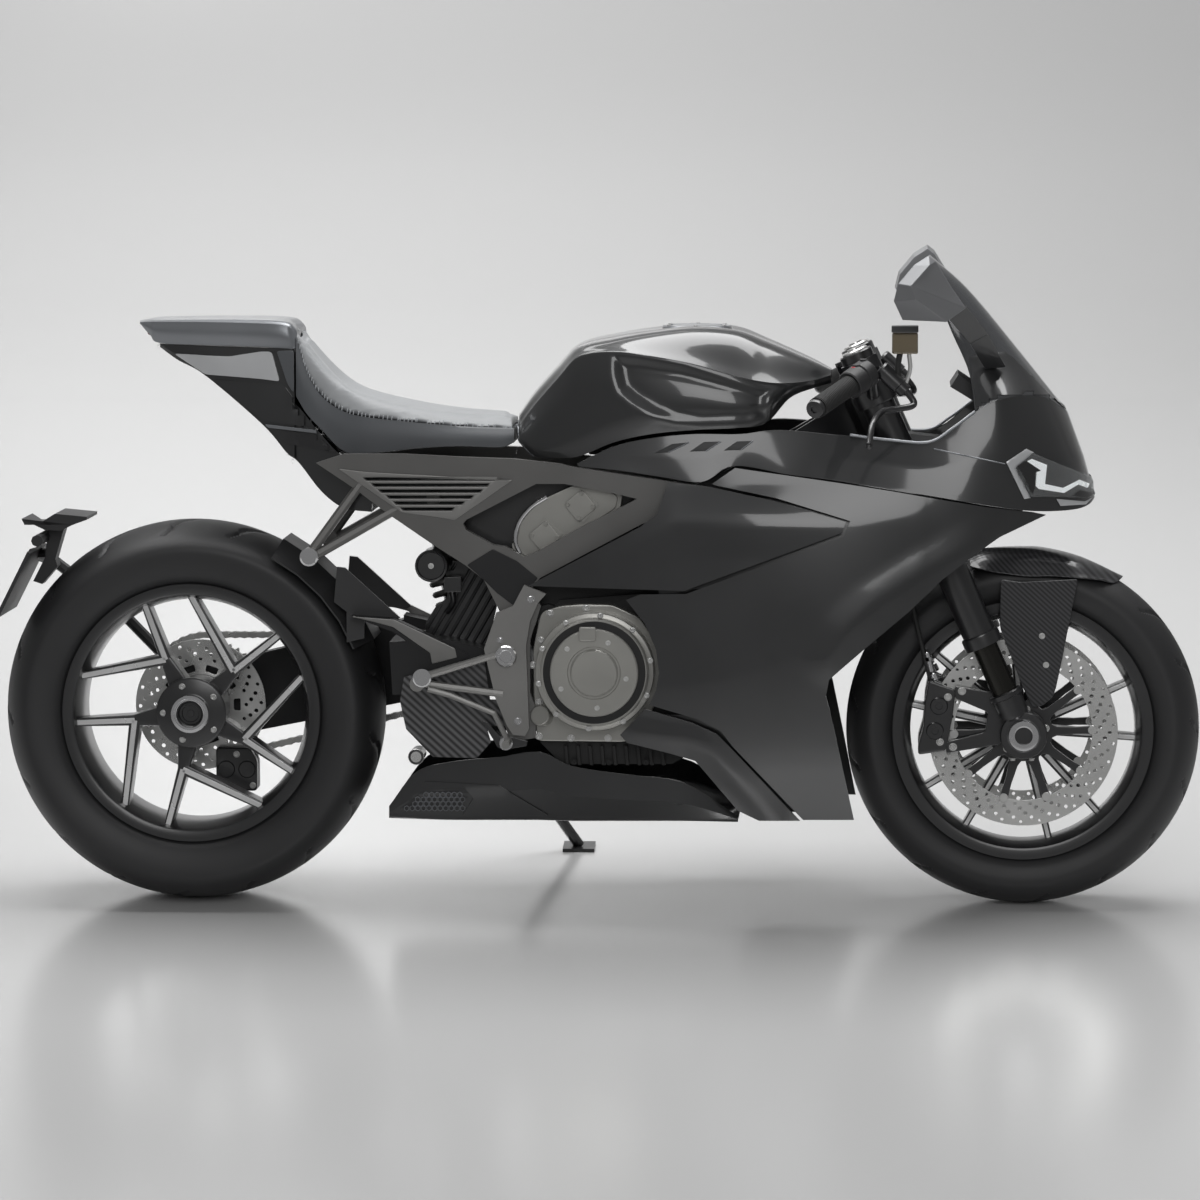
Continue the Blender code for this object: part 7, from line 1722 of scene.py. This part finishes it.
def chain_line():
    """Points and directions every pitch along the loop round both sprockets."""
    gap = DRIVE - REAR_AXLE
    reach = math.hypot(gap.x, gap.z)
    slope = math.atan2(gap.z, gap.x)
    turn = math.acos((CHAIN_BIG - CHAIN_SMALL) / reach)
    run = math.sqrt(reach ** 2 - (CHAIN_BIG - CHAIN_SMALL) ** 2)
    small_arc = 2 * turn
    big_arc = 2 * math.pi - 2 * turn
    parts = (("line", run), ("small", small_arc * CHAIN_SMALL), ("back", run), ("big", big_arc * CHAIN_BIG))
    total = sum(length for _, length in parts)
    count = 2 * round(total / CHAIN_PITCH / 2)
    out = []
    for k in range(count):
        gone = total * k / count
        for kind, length in parts:
            if gone <= length:
                break
            gone -= length
        if kind == "line":
            angle = slope + turn
            start = Vector((CHAIN_BIG * math.cos(angle), 0, CHAIN_BIG * math.sin(angle))) + REAR_AXLE
            stop = Vector((CHAIN_SMALL * math.cos(angle), 0, CHAIN_SMALL * math.sin(angle))) + DRIVE
            out.append(start.lerp(stop, gone / run))
        elif kind == "small":
            angle = slope + turn - gone / CHAIN_SMALL
            out.append(DRIVE + Vector((math.cos(angle), 0, math.sin(angle))) * CHAIN_SMALL)
        elif kind == "back":
            angle = slope - turn
            start = Vector((CHAIN_SMALL * math.cos(angle), 0, CHAIN_SMALL * math.sin(angle))) + DRIVE
            stop = Vector((CHAIN_BIG * math.cos(angle), 0, CHAIN_BIG * math.sin(angle))) + REAR_AXLE
            out.append(start.lerp(stop, gone / run))
        else:
            angle = slope - turn - gone / CHAIN_BIG
            out.append(REAR_AXLE + Vector((math.cos(angle), 0, math.sin(angle))) * CHAIN_BIG)
    return out


def chain():
    """Inner and outer link plates, rollers and pins."""
    def link_plates(pairs):
        outline = []
        for centre, start in ((CHAIN_PITCH / 2, -75), (-CHAIN_PITCH / 2, 105)):
            for k in range(6):
                angle = math.radians(start + 30 * k)
                outline.append((centre + LINK_END * math.cos(angle), LINK_END * math.sin(angle)))
        outline.insert(6, (0.0, LINK_WAIST))
        outline.append((0.0, -LINK_WAIST))
        pin = turned((-CHAIN_PITCH / 2, 0, 0), (0, 1, 0), CHAIN_PIN_ROWS, 10)
        whole = joined([plate([outline], one, two, 0.0003) for one, two in pairs] + [pin])
        mesh = bpy.data.meshes.new("link")
        whole.to_mesh(mesh)
        whole.free()
        return mesh

    kinds = (link_plates(CHAIN_INNER), link_plates(CHAIN_OUTER))
    line = chain_line()
    whole = bmesh.new()
    for k, here in enumerate(line):
        there = line[(k + 1) % len(line)]
        middle = (here + there) / 2
        angle = math.atan2(there.z - here.z, there.x - here.x)
        place = Matrix.Translation((middle.x, CHAIN_ACROSS, middle.z)) @ Matrix.Rotation(-angle, 4, "Y")
        mesh = kinds[k % 2].copy()
        mesh.transform(place)
        whole.from_mesh(mesh)
        bpy.data.meshes.remove(mesh)
    made = piece("chain_links", whole, "chassis", STEEL, 30.0)
    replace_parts(made, "drive_chain")


chain()

# Small parts: rear caliper, footrest hardware, drain, vents, tank strips and tail light
REAR_CALIPER = ((0.028, 0.178), (0.100, 0.178), (0.100, 0.232), (0.086, 0.254), (0.028, 0.254))
REAR_BRIDGE = ((0.030, 0.178), (0.098, 0.178), (0.098, 0.204), (0.030, 0.204))
REAR_CALIPER_BOLTS = ((0.036, 0.188), (0.092, 0.188), (0.064, 0.242))
REST_BOLTS_PX = ((531, 599, 0.0052), (518, 721, 0.0052), (500, 640, 0.0042))
# Turned profiles: radius, distance out
REAR_PISTON_ROWS = ((0.0150, 0.0), (0.0150, 0.003), (0.0135, 0.0045), (0.0060, 0.0045), (0.0, 0.0030))
PIVOT_ROWS = (
    (0.0165, 0.0), (0.0180, 0.001), (0.0180, 0.0060), (0.0160, 0.0080), (0.0110, 0.0080), (0.0100, 0.0060),
    (0.0, 0.0060))
PEG_END_ROWS = ((0.0100, -0.002), (0.0150, -0.001), (0.0155, 0.0), (0.0155, 0.003), (0.0130, 0.0050),
                (0.0, 0.0050))
KNOB_ROWS = ((0.0100, -0.002), (0.0145, -0.001), (0.0155, 0.0), (0.0155, 0.003), (0.0125, 0.0055),
             (0.0, 0.0055))
DRAIN_ROWS = ((0.0, -0.060), (0.0126, -0.060), (0.0126, 0.0), (0.0092, 0.0005), (0.0088, -0.010),
              (0.0, -0.010))
DRAIN_RIM_ROWS = ((0.0127, -0.0060), (0.0136, -0.0050), (0.0136, -0.0010), (0.0127, 0.0))
VENTS_PX = (
    ((655, 453), (672, 444), (689, 442.5), (668, 452.5)),
    ((690, 451.5), (704, 442), (721, 441.5), (706, 451)),
    ((724, 450.5), (737, 441.5), (753, 441), (741, 450)))


def small_parts():
    """Everything that is only bolted on."""
    outline = rounded(REAR_CALIPER, 0.008, 4)
    body = [plate([outline], 0.0580, 0.0740, 0.003), plate([outline], 0.0310, 0.0470, 0.003),
            plate([rounded(REAR_BRIDGE, 0.004, 3)], 0.0440, 0.0600, 0.002)]
    for x in (0.046, 0.082):
        body.append(turned((x, 0.033, 0.216), (0, -1, 0), REAR_PISTON_ROWS, 28))
    made = merged("rear_caliper_body", body, "chassis", BLACK, 32.0)
    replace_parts(made, "rear_caliper")
    bolts = [bolt((x, 0.0312, z), (0, -1, 0), 0.0045, 0.004) for x, z in REAR_CALIPER_BOLTS]
    merged("rear_caliper_bolts", bolts, "chassis", STEEL)
    bolts = [bolt(spot(px, py, 0.1683), (0, -1, 0), size, 0.005) for px, py, size in REST_BOLTS_PX]
    pivot = spot(506, 656, 0.1683)
    bolts.append(turned(pivot, (0, -1, 0), PIVOT_ROWS, 32))
    peg = spot(422, 678, 0.265)
    bolts.append(turned((peg.x, -0.2655, peg.z), (0, -1, 0), PEG_END_ROWS, 28))
    for knob_side in (-1, 1):
        knob = spot(309, 557, 0.190)
        bolts.append(turned((knob.x, knob_side * 0.1900, knob.z), (0, knob_side, 0), KNOB_ROWS, 28))
    merged("rest_hardware", bolts, "chassis", CHROME, 32.0)
    drain = spot(416, 757, 0.150)
    wall = turned(drain, (0, -1, 0), DRAIN_ROWS, 32)
    piece("drain_tube", wall, "chassis", BLACK, 32.0)
    rim = turned(drain, (0, -1, 0), DRAIN_RIM_ROWS, 32)
    piece("drain_ring", rim, "chassis", STEEL, 32.0)
    for word, side in (("right", -1), ("left", 1)):
        for number, vent in enumerate(VENTS_PX):
            laid(f"vent_{number}_{word}", NOSE_TREE, vent, 0.0012, 0.0010, PLASTIC, side, 5.0)
            # Pale bead along one slanted edge of each vent: a painted glint.
            middle = ((vent[2][0] + vent[3][0]) / 2, (vent[2][1] + vent[3][1]) / 2)
            glint_bead = line_on(NOSE_TREE, (vent[2], middle, vent[3]), 0.0016, 0.0009, side)
            piece(f"vent_painted_glint_{number}_{word}", glint_bead, "chassis", PALE_SATIN_AND_PAINTED_LIGHT)
    strips = [line_on(TANK_TREE, TANK_STRIP_PX, 0.0010, 0.0022, side) for side in (-1, 1)]
    merged("tank_strips", strips, "chassis", PALE_SATIN_AND_PAINTED_LIGHT, 40.0)
    lens = []
    for k in range(15):
        across = -0.042 + 0.006 * k
        at = spot(151.5, 331, 0.0)
        lens.append(rod((at.x + 0.004, across - 0.0026, at.z), (at.x + 0.004, across + 0.0026, at.z),
                        0.0048, chamfer=0.0006))
    merged("tail_light", lens, "chassis", LENS)


small_parts()

# Covers and facings of the frame, swingarm and engine
INNER_COVER_PX = (
    (350, 474), (480, 478), (560, 482), (620, 488), (655, 500), (655, 512), (600, 545), (548, 566),
    (510, 560), (470, 534), (440, 516), (400, 513))
INNER_COVER_HALF = (0.0950, 0.0980)
FRAME_NODE_PX = (
    (467, 565), (493, 549), (517, 561), (538, 578), (528, 590), (538, 606), (513, 605), (497, 593),
    (484, 580))
SLOTTED_PX = ((338, 468.5), (366, 472), (513, 480), (455, 520), (437, 517), (402, 512.5))
SLOT_ROWS = (
    # left end px, right end px, height py
    (363, 497, 479), (371, 490, 485), (378, 483, 491), (386, 474, 497), (393, 465, 503), (400, 455, 509))
SLOT_HALF_PX = 1.7
FACING = 0.0021
SWINGARM_HIGHLIGHT_PX = ((352, 616.5), (394, 619.5), (455, 648.5), (457, 657.5), (432, 664), (430, 653),
                    (393, 627))
SWINGARM_HIGHLIGHT_HALF = (0.1364, 0.1392)
HEAD_STRAP_PX = ((520, 553), (515.5, 541), (519, 523), (531, 507.5), (547, 497))
HEAD_COVER_PX = (
    (521, 556), (516, 544), (520, 524), (532, 508), (548, 497), (572, 486), (600, 486), (618, 496),
    (616, 508), (560, 545), (537, 562))
LID_CORNER_PX = 16.8
LID_BOLTS_PX = 12.6
LIDS_PX = ((544.5, 536.8), (580.3, 505.8))


def facings(word, side):
    """Dark cover behind the frame's openings, the frame's raised faces, and a pale band on the swingarm's upper
    edge as a painted highlight.
    """
    cover = plate([flat(INNER_COVER_PX, INNER_COVER_HALF[1])], side * INNER_COVER_HALF[0],
                  side * INNER_COVER_HALF[1])
    piece(f"inner_cover_{word}", cover, "chassis", BLACK)
    near = side * (FRAME_OUT + GAP)
    node = plate([rounded(flat(FRAME_NODE_PX, FRAME_OUT), 0.003, 3)], near, near + side * FACING * 0.6,
                 0.0006)
    piece(f"frame_node_{word}", node, "chassis", NODE)
    slots = []
    for left, right, py in SLOT_ROWS:
        over = py - SLOT_HALF_PX
        under = py + SLOT_HALF_PX
        corners = ((left, over), (right, over), (right - 2.5, under), (left + 2.5, under))
        slots.append(rounded(flat(corners, FRAME_OUT), 0.0012, 2))
    face = plate([rounded(flat(SLOTTED_PX, FRAME_OUT), 0.004, 3)] + slots, near, near + side * FACING, 0.0009)
    piece(f"frame_slots_{word}", face, "chassis", FRAME_PALE_AND_PAINTED_LIGHT)
    # Pale band along the swingarm's upper edge: a painted highlight.
    arm = plate([rounded(flat(SWINGARM_HIGHLIGHT_PX, SWINGARM_HIGHLIGHT_HALF[1]), 0.002, 3)],
                side * SWINGARM_HIGHLIGHT_HALF[0],
                side * SWINGARM_HIGHLIGHT_HALF[1], 0.0012)
    piece(f"swingarm_painted_highlight_{word}", arm, "chassis", FRAME_PALE_AND_PAINTED_LIGHT)


def head_details():
    """Lids and strap of the cylinder head in the frame's window."""
    cover = plate([rounded(flat(HEAD_COVER_PX, 0.1336), 0.006, 4)], -0.1290, -0.1336, 0.0018)
    piece("head_cover", cover, "chassis", ENGINE, 30.0)
    lids = []
    for px, py in LIDS_PX:
        corners = [spot(px + LID_CORNER_PX * math.cos(math.radians(90 * k + 5)),
                        py + LID_CORNER_PX * math.sin(math.radians(90 * k + 5)), 0.138) for k in range(4)]
        lids.append(plate([rounded([(p.x, p.z) for p in corners], 0.006, 4)], -0.1366, -0.1398, 0.0010))
        for k in range(4):
            angle = math.radians(90 * k + 5)
            place = spot(px + LID_BOLTS_PX * math.cos(angle), py + LID_BOLTS_PX * math.sin(angle), 0.1398)
            lids.append(bolt(place, (0, -1, 0), 0.0034, 0.0028))
    merged("head_lids", lids, "chassis", ENGINE, 30.0)
    strap = tube([spot(px, py, 0.1345) for px, py in HEAD_STRAP_PX], 0.0038, steps=8, sides=12)
    piece("head_strap", strap, "chassis", CHROME, 40.0)


both(facings)
head_details()

# Rear shock with its coil, reservoir cap and guard
SHOCK_TOP_PX = (436, 515)
SHOCK_LOW = Vector((0.470, 0.0, 0.4590))
COIL_RADIUS = 0.0385
COIL_WIRE = 0.0055
COIL_TURNS = 6.5
COIL_STEPS = 18
COIL_SHARES = (0.30, 0.88)
COIL_SEAT_ROWS = (
    # radius, along
    (0.0300, -0.004), (0.0440, -0.004), (0.0450, -0.002), (0.0450, 0.002), (0.0440, 0.004), (0.0300, 0.004))
RESERVOIR_BOLT_ROWS = ((0.0050, 0.1242), (0.0050, 0.1258), (0.0, 0.1262))
VALVE_PX = ((444, 577), (461, 577), (461, 592), (444, 592))
RESERVOIR_END_PX = (431, 566)
RESERVOIR_CAP_ROWS = (
    # radius, out
    (0.0100, 0.1180), (0.0268, 0.1180), (0.0272, 0.1190), (0.0272, 0.1262), (0.0240, 0.1278),
    (0.0225, 0.1262), (0.0215, 0.1225), (0.0120, 0.1215), (0.0110, 0.1240), (0.0095, 0.1245),
    (0.0045, 0.1245), (0.0, 0.1240))
SHOCK_GUARD_PX = (
    (452, 560), (470, 562), (493, 584), (497, 606), (489, 640), (470, 657), (440, 657), (425, 641),
    (426, 622), (436, 606), (447, 598))
SHOCK_GUARD_HALF = (0.0600, 0.0640)
GUARD_RIBS = 11


def shock():
    """What shows of the rear suspension behind the frame."""
    top = spot(*SHOCK_TOP_PX, 0.0)
    along = (SHOCK_LOW - top).normalized()
    span = (SHOCK_LOW - top).length
    across = Vector((0.0, 1.0, 0.0))
    over = along.cross(across)
    path = []
    for k in range(round(COIL_TURNS * COIL_STEPS) + 1):
        angle = 2 * math.pi * k / COIL_STEPS
        share = COIL_SHARES[0] + (COIL_SHARES[1] - COIL_SHARES[0]) * k / (COIL_TURNS * COIL_STEPS)
        out = across * COIL_RADIUS * math.cos(angle) + over * COIL_RADIUS * math.sin(angle)
        path.append(top + along * span * share + out)
    piece("shock_coil", tube(path, COIL_WIRE, sides=8, smooth=False), "chassis", FRAME, 60.0)
    seats = [turned(top + along * span * share, along, COIL_SEAT_ROWS, 36) for share in COIL_SHARES]
    merged("shock_seats", seats, "chassis", BLACK, 30.0)
    end = spot(*RESERVOIR_END_PX, 0.1250)
    cap = turned((end.x, 0.0, end.z), (0, -1, 0), RESERVOIR_CAP_ROWS, 40)
    piece("shock_reservoir_cap", cap, "chassis", BLACK, 30.0)
    centre = turned((end.x, 0.0, end.z), (0, -1, 0), RESERVOIR_BOLT_ROWS, 16)
    valve = plate([rounded(flat(VALVE_PX, 0.110), 0.002, 3)], -0.085, -0.112, 0.001)
    link = tube([spot(452, 590, 0.095), spot(453, 602, 0.085), spot(447, 612, 0.075)], 0.0055, sides=12)
    merged("shock_valve", [valve, link], "chassis", BLACK)
    piece("shock_reservoir_bolt", centre, "chassis", STEEL)
    guard = [plate([rounded(flat(SHOCK_GUARD_PX, SHOCK_GUARD_HALF[1]), 0.004, 3)], -SHOCK_GUARD_HALF[0],
                   -SHOCK_GUARD_HALF[1], 0.001)]
    for k in range(GUARD_RIBS):
        low_px = 400.0 + 9.0 * k
        found = []
        for step in range(60):
            share = step / 59
            px, py = low_px + 60.0 * share, 660.0 - 104.0 * share
            if within(SHOCK_GUARD_PX, px, py):
                found.append((px, py))
            elif found:
                break
        if len(found) > 6:
            ends = [spot(*place, SHOCK_GUARD_HALF[1]) for place in (found[1], found[-2])]
            guard.append(rod(*ends, 0.0028, sides=10))
    merged("shock_guard", guard, "chassis", BLACK, 32.0)


shock()

# Mirrors: faceted heads on angular arms
MIRROR_RING = (
    # px, py, half, clockwise from the top
    (928.5, 255.5, 0.292), (936, 261.5, 0.290), (952, 288, 0.292), (966, 308, 0.290), (946.5, 322, 0.294),
    (902.5, 320, 0.298), (893.7, 301, 0.300), (898, 284, 0.300), (914, 265, 0.298))
MIRROR_CREST = (
    # px, py, half: the crest's top, its foot and the lower edge's end
    (929.5, 265.5, 0.311), (911.0, 286.0, 0.334), (915.5, 299.8, 0.331))
MIRROR_FACETS = (
    # numbers in the ring, and 9 to 11 on the crest
    (0, 1, 9), (1, 2, 10, 9), (2, 3, 10), (3, 4, 11, 10), (4, 5, 6, 11), (6, 7, 10, 11), (7, 8, 9, 10),
    (8, 0, 9))
MIRROR_INNER = 0.235
MIRROR_ARM = (
    # px, py, half: two corners at the head, the bend and the foot
    ((948, 318, 0.250), (966, 306, 0.250)), ((970, 344, 0.190), (988, 334, 0.190)),
    ((985, 369, 0.128), (1006, 367, 0.128)))


def mirror(word, side):
    """Mirror head with its creased back, and its arm."""
    count = len(MIRROR_RING)
    ring = [spot(px, py, half, side) for px, py, half in MIRROR_RING]
    crest = [spot(px, py, half, side) for px, py, half in MIRROR_CREST]
    inner = [spot(px, py, MIRROR_INNER, side) for px, py, _ in MIRROR_RING]
    middle = sum(inner, Vector()) / count
    bm = bmesh.new()
    outer = [bm.verts.new(p) for p in ring + crest]
    behind = [bm.verts.new(middle.lerp(p, 0.94)) for p in inner]
    for facet in MIRROR_FACETS:
        bm.faces.new([outer[k] for k in facet])
    for k in range(count):
        following = (k + 1) % count
        bm.faces.new((outer[k], outer[following], behind[following], behind[k]))
    bm.faces.new(behind)
    bmesh.ops.recalc_face_normals(bm, faces=bm.faces)
    # The head takes the lighter satin: painted light on its faces.
    head = piece(f"mirror_head_{word}", bm, "chassis", MIRROR_SATIN_PAINTED_LIGHT, 12.0)
    bevelled(head, 0.0012, 2, 10.0)
    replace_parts(head, f"mirror_{word}")
    arms = []
    for one, two in zip(MIRROR_ARM, MIRROR_ARM[1:]):
        corners = []
        for px, py, half in one + two:
            place = spot(px, py, half, side)
            corners += [place, place - Vector((0.0, side * 0.014, 0.0))]
        arms.append(hull(corners))
    arm = merged(f"mirror_arm_{word}", arms, "chassis", BODY, 20.0)
    bevelled(arm, 0.0015, 2, 20.0)


both(mirror)

# Cockpit rim, cheek line, and black sheets of painted shade behind the panels' slits
RIM_PATH = (
    # px, py, half
    (850, 435, 0.160), (890, 440, 0.161), (929, 442, 0.162), (953, 428, 0.159), (975, 411.5, 0.156))
CHEEK_PX = ((934, 449), (962, 455), (1005, 464))
CHEEK_PANEL_PX = (
    (969, 357), (1005, 352), (1013, 358), (1032, 376), (1052, 397), (1066, 410), (1040, 396.5),
    (1005, 398.5), (976, 411))
SLIT_SHADE_PX = (
    # lift, outline
    (-0.014, ((650, 540), (700, 500), (850, 495), (870, 545), (760, 575), (660, 600))),
    (-0.016, ((655, 715), (815, 715), (838, 812), (762, 812), (702, 762), (650, 745))))


def trim(word, side):
    """Pale edge of the cockpit, the line under the cheek, and black sheets of painted shade behind the panels'
    slits.
    """
    path = [spot(px, py, half, side) for px, py, half in RIM_PATH]
    edges = [tube(path, 0.0026, steps=10, sides=10), line_on(NOSE_TREE, CHEEK_PX, 0.0004, 0.0012, side)]
    merged(f"cockpit_rim_{word}", edges, "chassis", PALE_SATIN_AND_PAINTED_LIGHT, 40.0)
    laid(f"cheek_panel_{word}", SCREEN_TREE, CHEEK_PANEL_PX, 0.0010, 0.0014, BODY, side, 4.0, "chassis", 1.5)
    # Black sheets behind the slits stand in for the shade inside the fairing: painted shade.
    shade_sheets = [skin(outline, side, lift, None, 12.0) for lift, outline in SLIT_SHADE_PX]
    made = merged(f"slit_painted_shade_{word}", shade_sheets, "chassis", BLACK)
    thick(made, 0.002)


both(trim)

# Footrest details on the right
TREADLE_PX = (
    (481, 720), (487, 722), (500, 737), (512, 737), (527, 741), (527, 746), (510, 749), (498, 748),
    (491, 736))


def footrest_details():
    """Brake pedal pivot with its bracket, and the pivot nut's slots."""
    bracket = plate([rounded(flat(TREADLE_PX, 0.165), 0.002, 3)], -0.1590, -0.1650, 0.001)
    merged("pedal_bracket", [bracket], "chassis", BLACK)
    pivot = spot(506, 743, 0.165)
    rows = ((0.0080, 0.0), (0.0118, 0.0), (0.0118, 0.0060), (0.0105, 0.0075), (0.0, 0.0078))
    bits = [turned(pivot, (0, -1, 0), rows, 28)]
    nut = spot(506, 656, 0.1683 + 0.0080)
    for k in range(6):
        angle = math.radians(60 * k)
        place = nut + Vector((0.0130 * math.cos(angle), 0.0, 0.0130 * math.sin(angle)))
        bits.append(bolt(place, (0, -1, 0), 0.0021, 0.0016))
    merged("pedal_pivot", bits, "chassis", CHROME, 32.0)


footrest_details()

# CAD nodes that keep their shape: finish and edge radius
PLAIN = {
    "frame_right": (FRAME, 0.002), "frame_left": (FRAME, 0.002), "headstock": (BLACK, 0.0),
    "engine_block": (ENGINE_DARK, 0.002),
    "cylinder_head": (ENGINE, 0.002), "radiator": (BLACK, 0.0),
    "dash": (PLASTIC, 0.001), "footrest_right": (FRAME_PALE_AND_PAINTED_LIGHT, 0.0008), "footrest_left": (FRAME_PALE_AND_PAINTED_LIGHT, 0.0008),
    "heel_guard": (CARBON_COARSE, 0.0),
    "swingarm": (NODE, 0.0015), "rear_shock": (BLACK, 0.0), "rear_hugger": (HUGGER, 0.0),
    "plate_hanger": (PLASTIC, 0.0), "stand_bracket": (BLACK, 0.0), "yokes": (BLACK, 0.001),
    "side_stand": (BLACK, 0.0),
}
for node_name, (node_finish, node_edge) in PLAIN.items():
    dress(node_name, node_finish, node_edge)


# Floor, backdrop and light
SWEEP_START = 4.0
SWEEP_RADIUS = 3.0
SWEEP_STEPS = 12


def stage():
    """Pale floor that sweeps up into a pale backdrop, which is clear from behind."""
    made = bpy.data.materials.new("floor")
    made.use_nodes = True
    tree, shader = nodes_of(made)
    shader.inputs["Base Color"].default_value = (0.70, 0.70, 0.70, 1.0)
    shader.inputs["Roughness"].default_value = 0.23
    shader.inputs["Metallic"].default_value = 0.30
    shader.inputs["Specular IOR Level"].default_value = 0.80
    side = tree.nodes.new("ShaderNodeNewGeometry")
    clear = tree.nodes.new("ShaderNodeBsdfTransparent")
    mix = tree.nodes.new("ShaderNodeMixShader")
    out = next(node for node in tree.nodes if node.type == "OUTPUT_MATERIAL")
    tree.links.new(side.outputs["Backfacing"], mix.inputs[0])
    tree.links.new(shader.outputs[0], mix.inputs[1])
    tree.links.new(clear.outputs[0], mix.inputs[2])
    tree.links.new(mix.outputs[0], out.inputs["Surface"])
    bends = [math.radians(90.0 * k / SWEEP_STEPS) for k in range(1, SWEEP_STEPS + 1)]
    sweep = [(SWEEP_START + SWEEP_RADIUS * math.sin(bend), SWEEP_RADIUS - SWEEP_RADIUS * math.cos(bend))
             for bend in bends]
    profile = [(-9.0, 0.0), (SWEEP_START, 0.0)] + sweep + [(SWEEP_START + SWEEP_RADIUS, 9.0)]
    bm = bmesh.new()
    rows = [[bm.verts.new((x, y, z)) for x in (-12.0, 12.0)] for y, z in profile]
    for one, two in zip(rows, rows[1:]):
        bm.faces.new((one[0], one[1], two[1], two[0]))
    mesh = bpy.data.meshes.new("floor")
    bm.to_mesh(mesh)
    bm.free()
    mesh.materials.append(made)
    mesh.shade_smooth()
    floor = bpy.data.objects.new("floor", mesh)
    bpy.context.scene.collection.objects.link(floor)


def lamp(name, place, target, size, power, size_y=None):
    """Soft lamp that points at a target."""
    data = bpy.data.lights.new(name, "AREA")
    data.shape = "RECTANGLE"
    data.size = size
    data.size_y = size_y or size
    data.energy = power
    made = bpy.data.objects.new(name, data)
    bpy.context.scene.collection.objects.link(made)
    made.location = place
    made.rotation_mode = "QUATERNION"
    made.rotation_quaternion = (Vector(target) - Vector(place)).to_track_quat("-Z", "Y")


def light():
    """Large soft lamps over and around the bike, and a pale surround."""
    world = bpy.data.worlds.new("surround")
    world.use_nodes = True
    world.node_tree.nodes["Background"].inputs["Color"].default_value = (0.80, 0.80, 0.80, 1.0)
    world.node_tree.nodes["Background"].inputs["Strength"].default_value = 0.27
    bpy.context.scene.world = world
    lamp("top", (0.0, 0.9, 3.8), (0.0, 0.1, 0.4), 4.6, 203.0, size_y=2.2)
    lamp("front", (0.6, -6.0, 4.2), (0.0, 0.0, 0.3), 3.2, 108.0)
    lamp("back", (-1.5, 3.6, 3.2), (0.0, 5.5, 0.7), 3.4, 110.0)


def even_faces():
    """Keeps large flat faces evenly lit beside their rounded edges."""
    for obj in bpy.context.scene.objects:
        if obj.type == "MESH" and obj.name != "floor" and not obj.hide_render:
            obj.modifiers.new("even", "WEIGHTED_NORMAL").keep_sharp = True


even_faces()
stage()
light()
bpy.context.scene.view_settings.view_transform = "Standard"
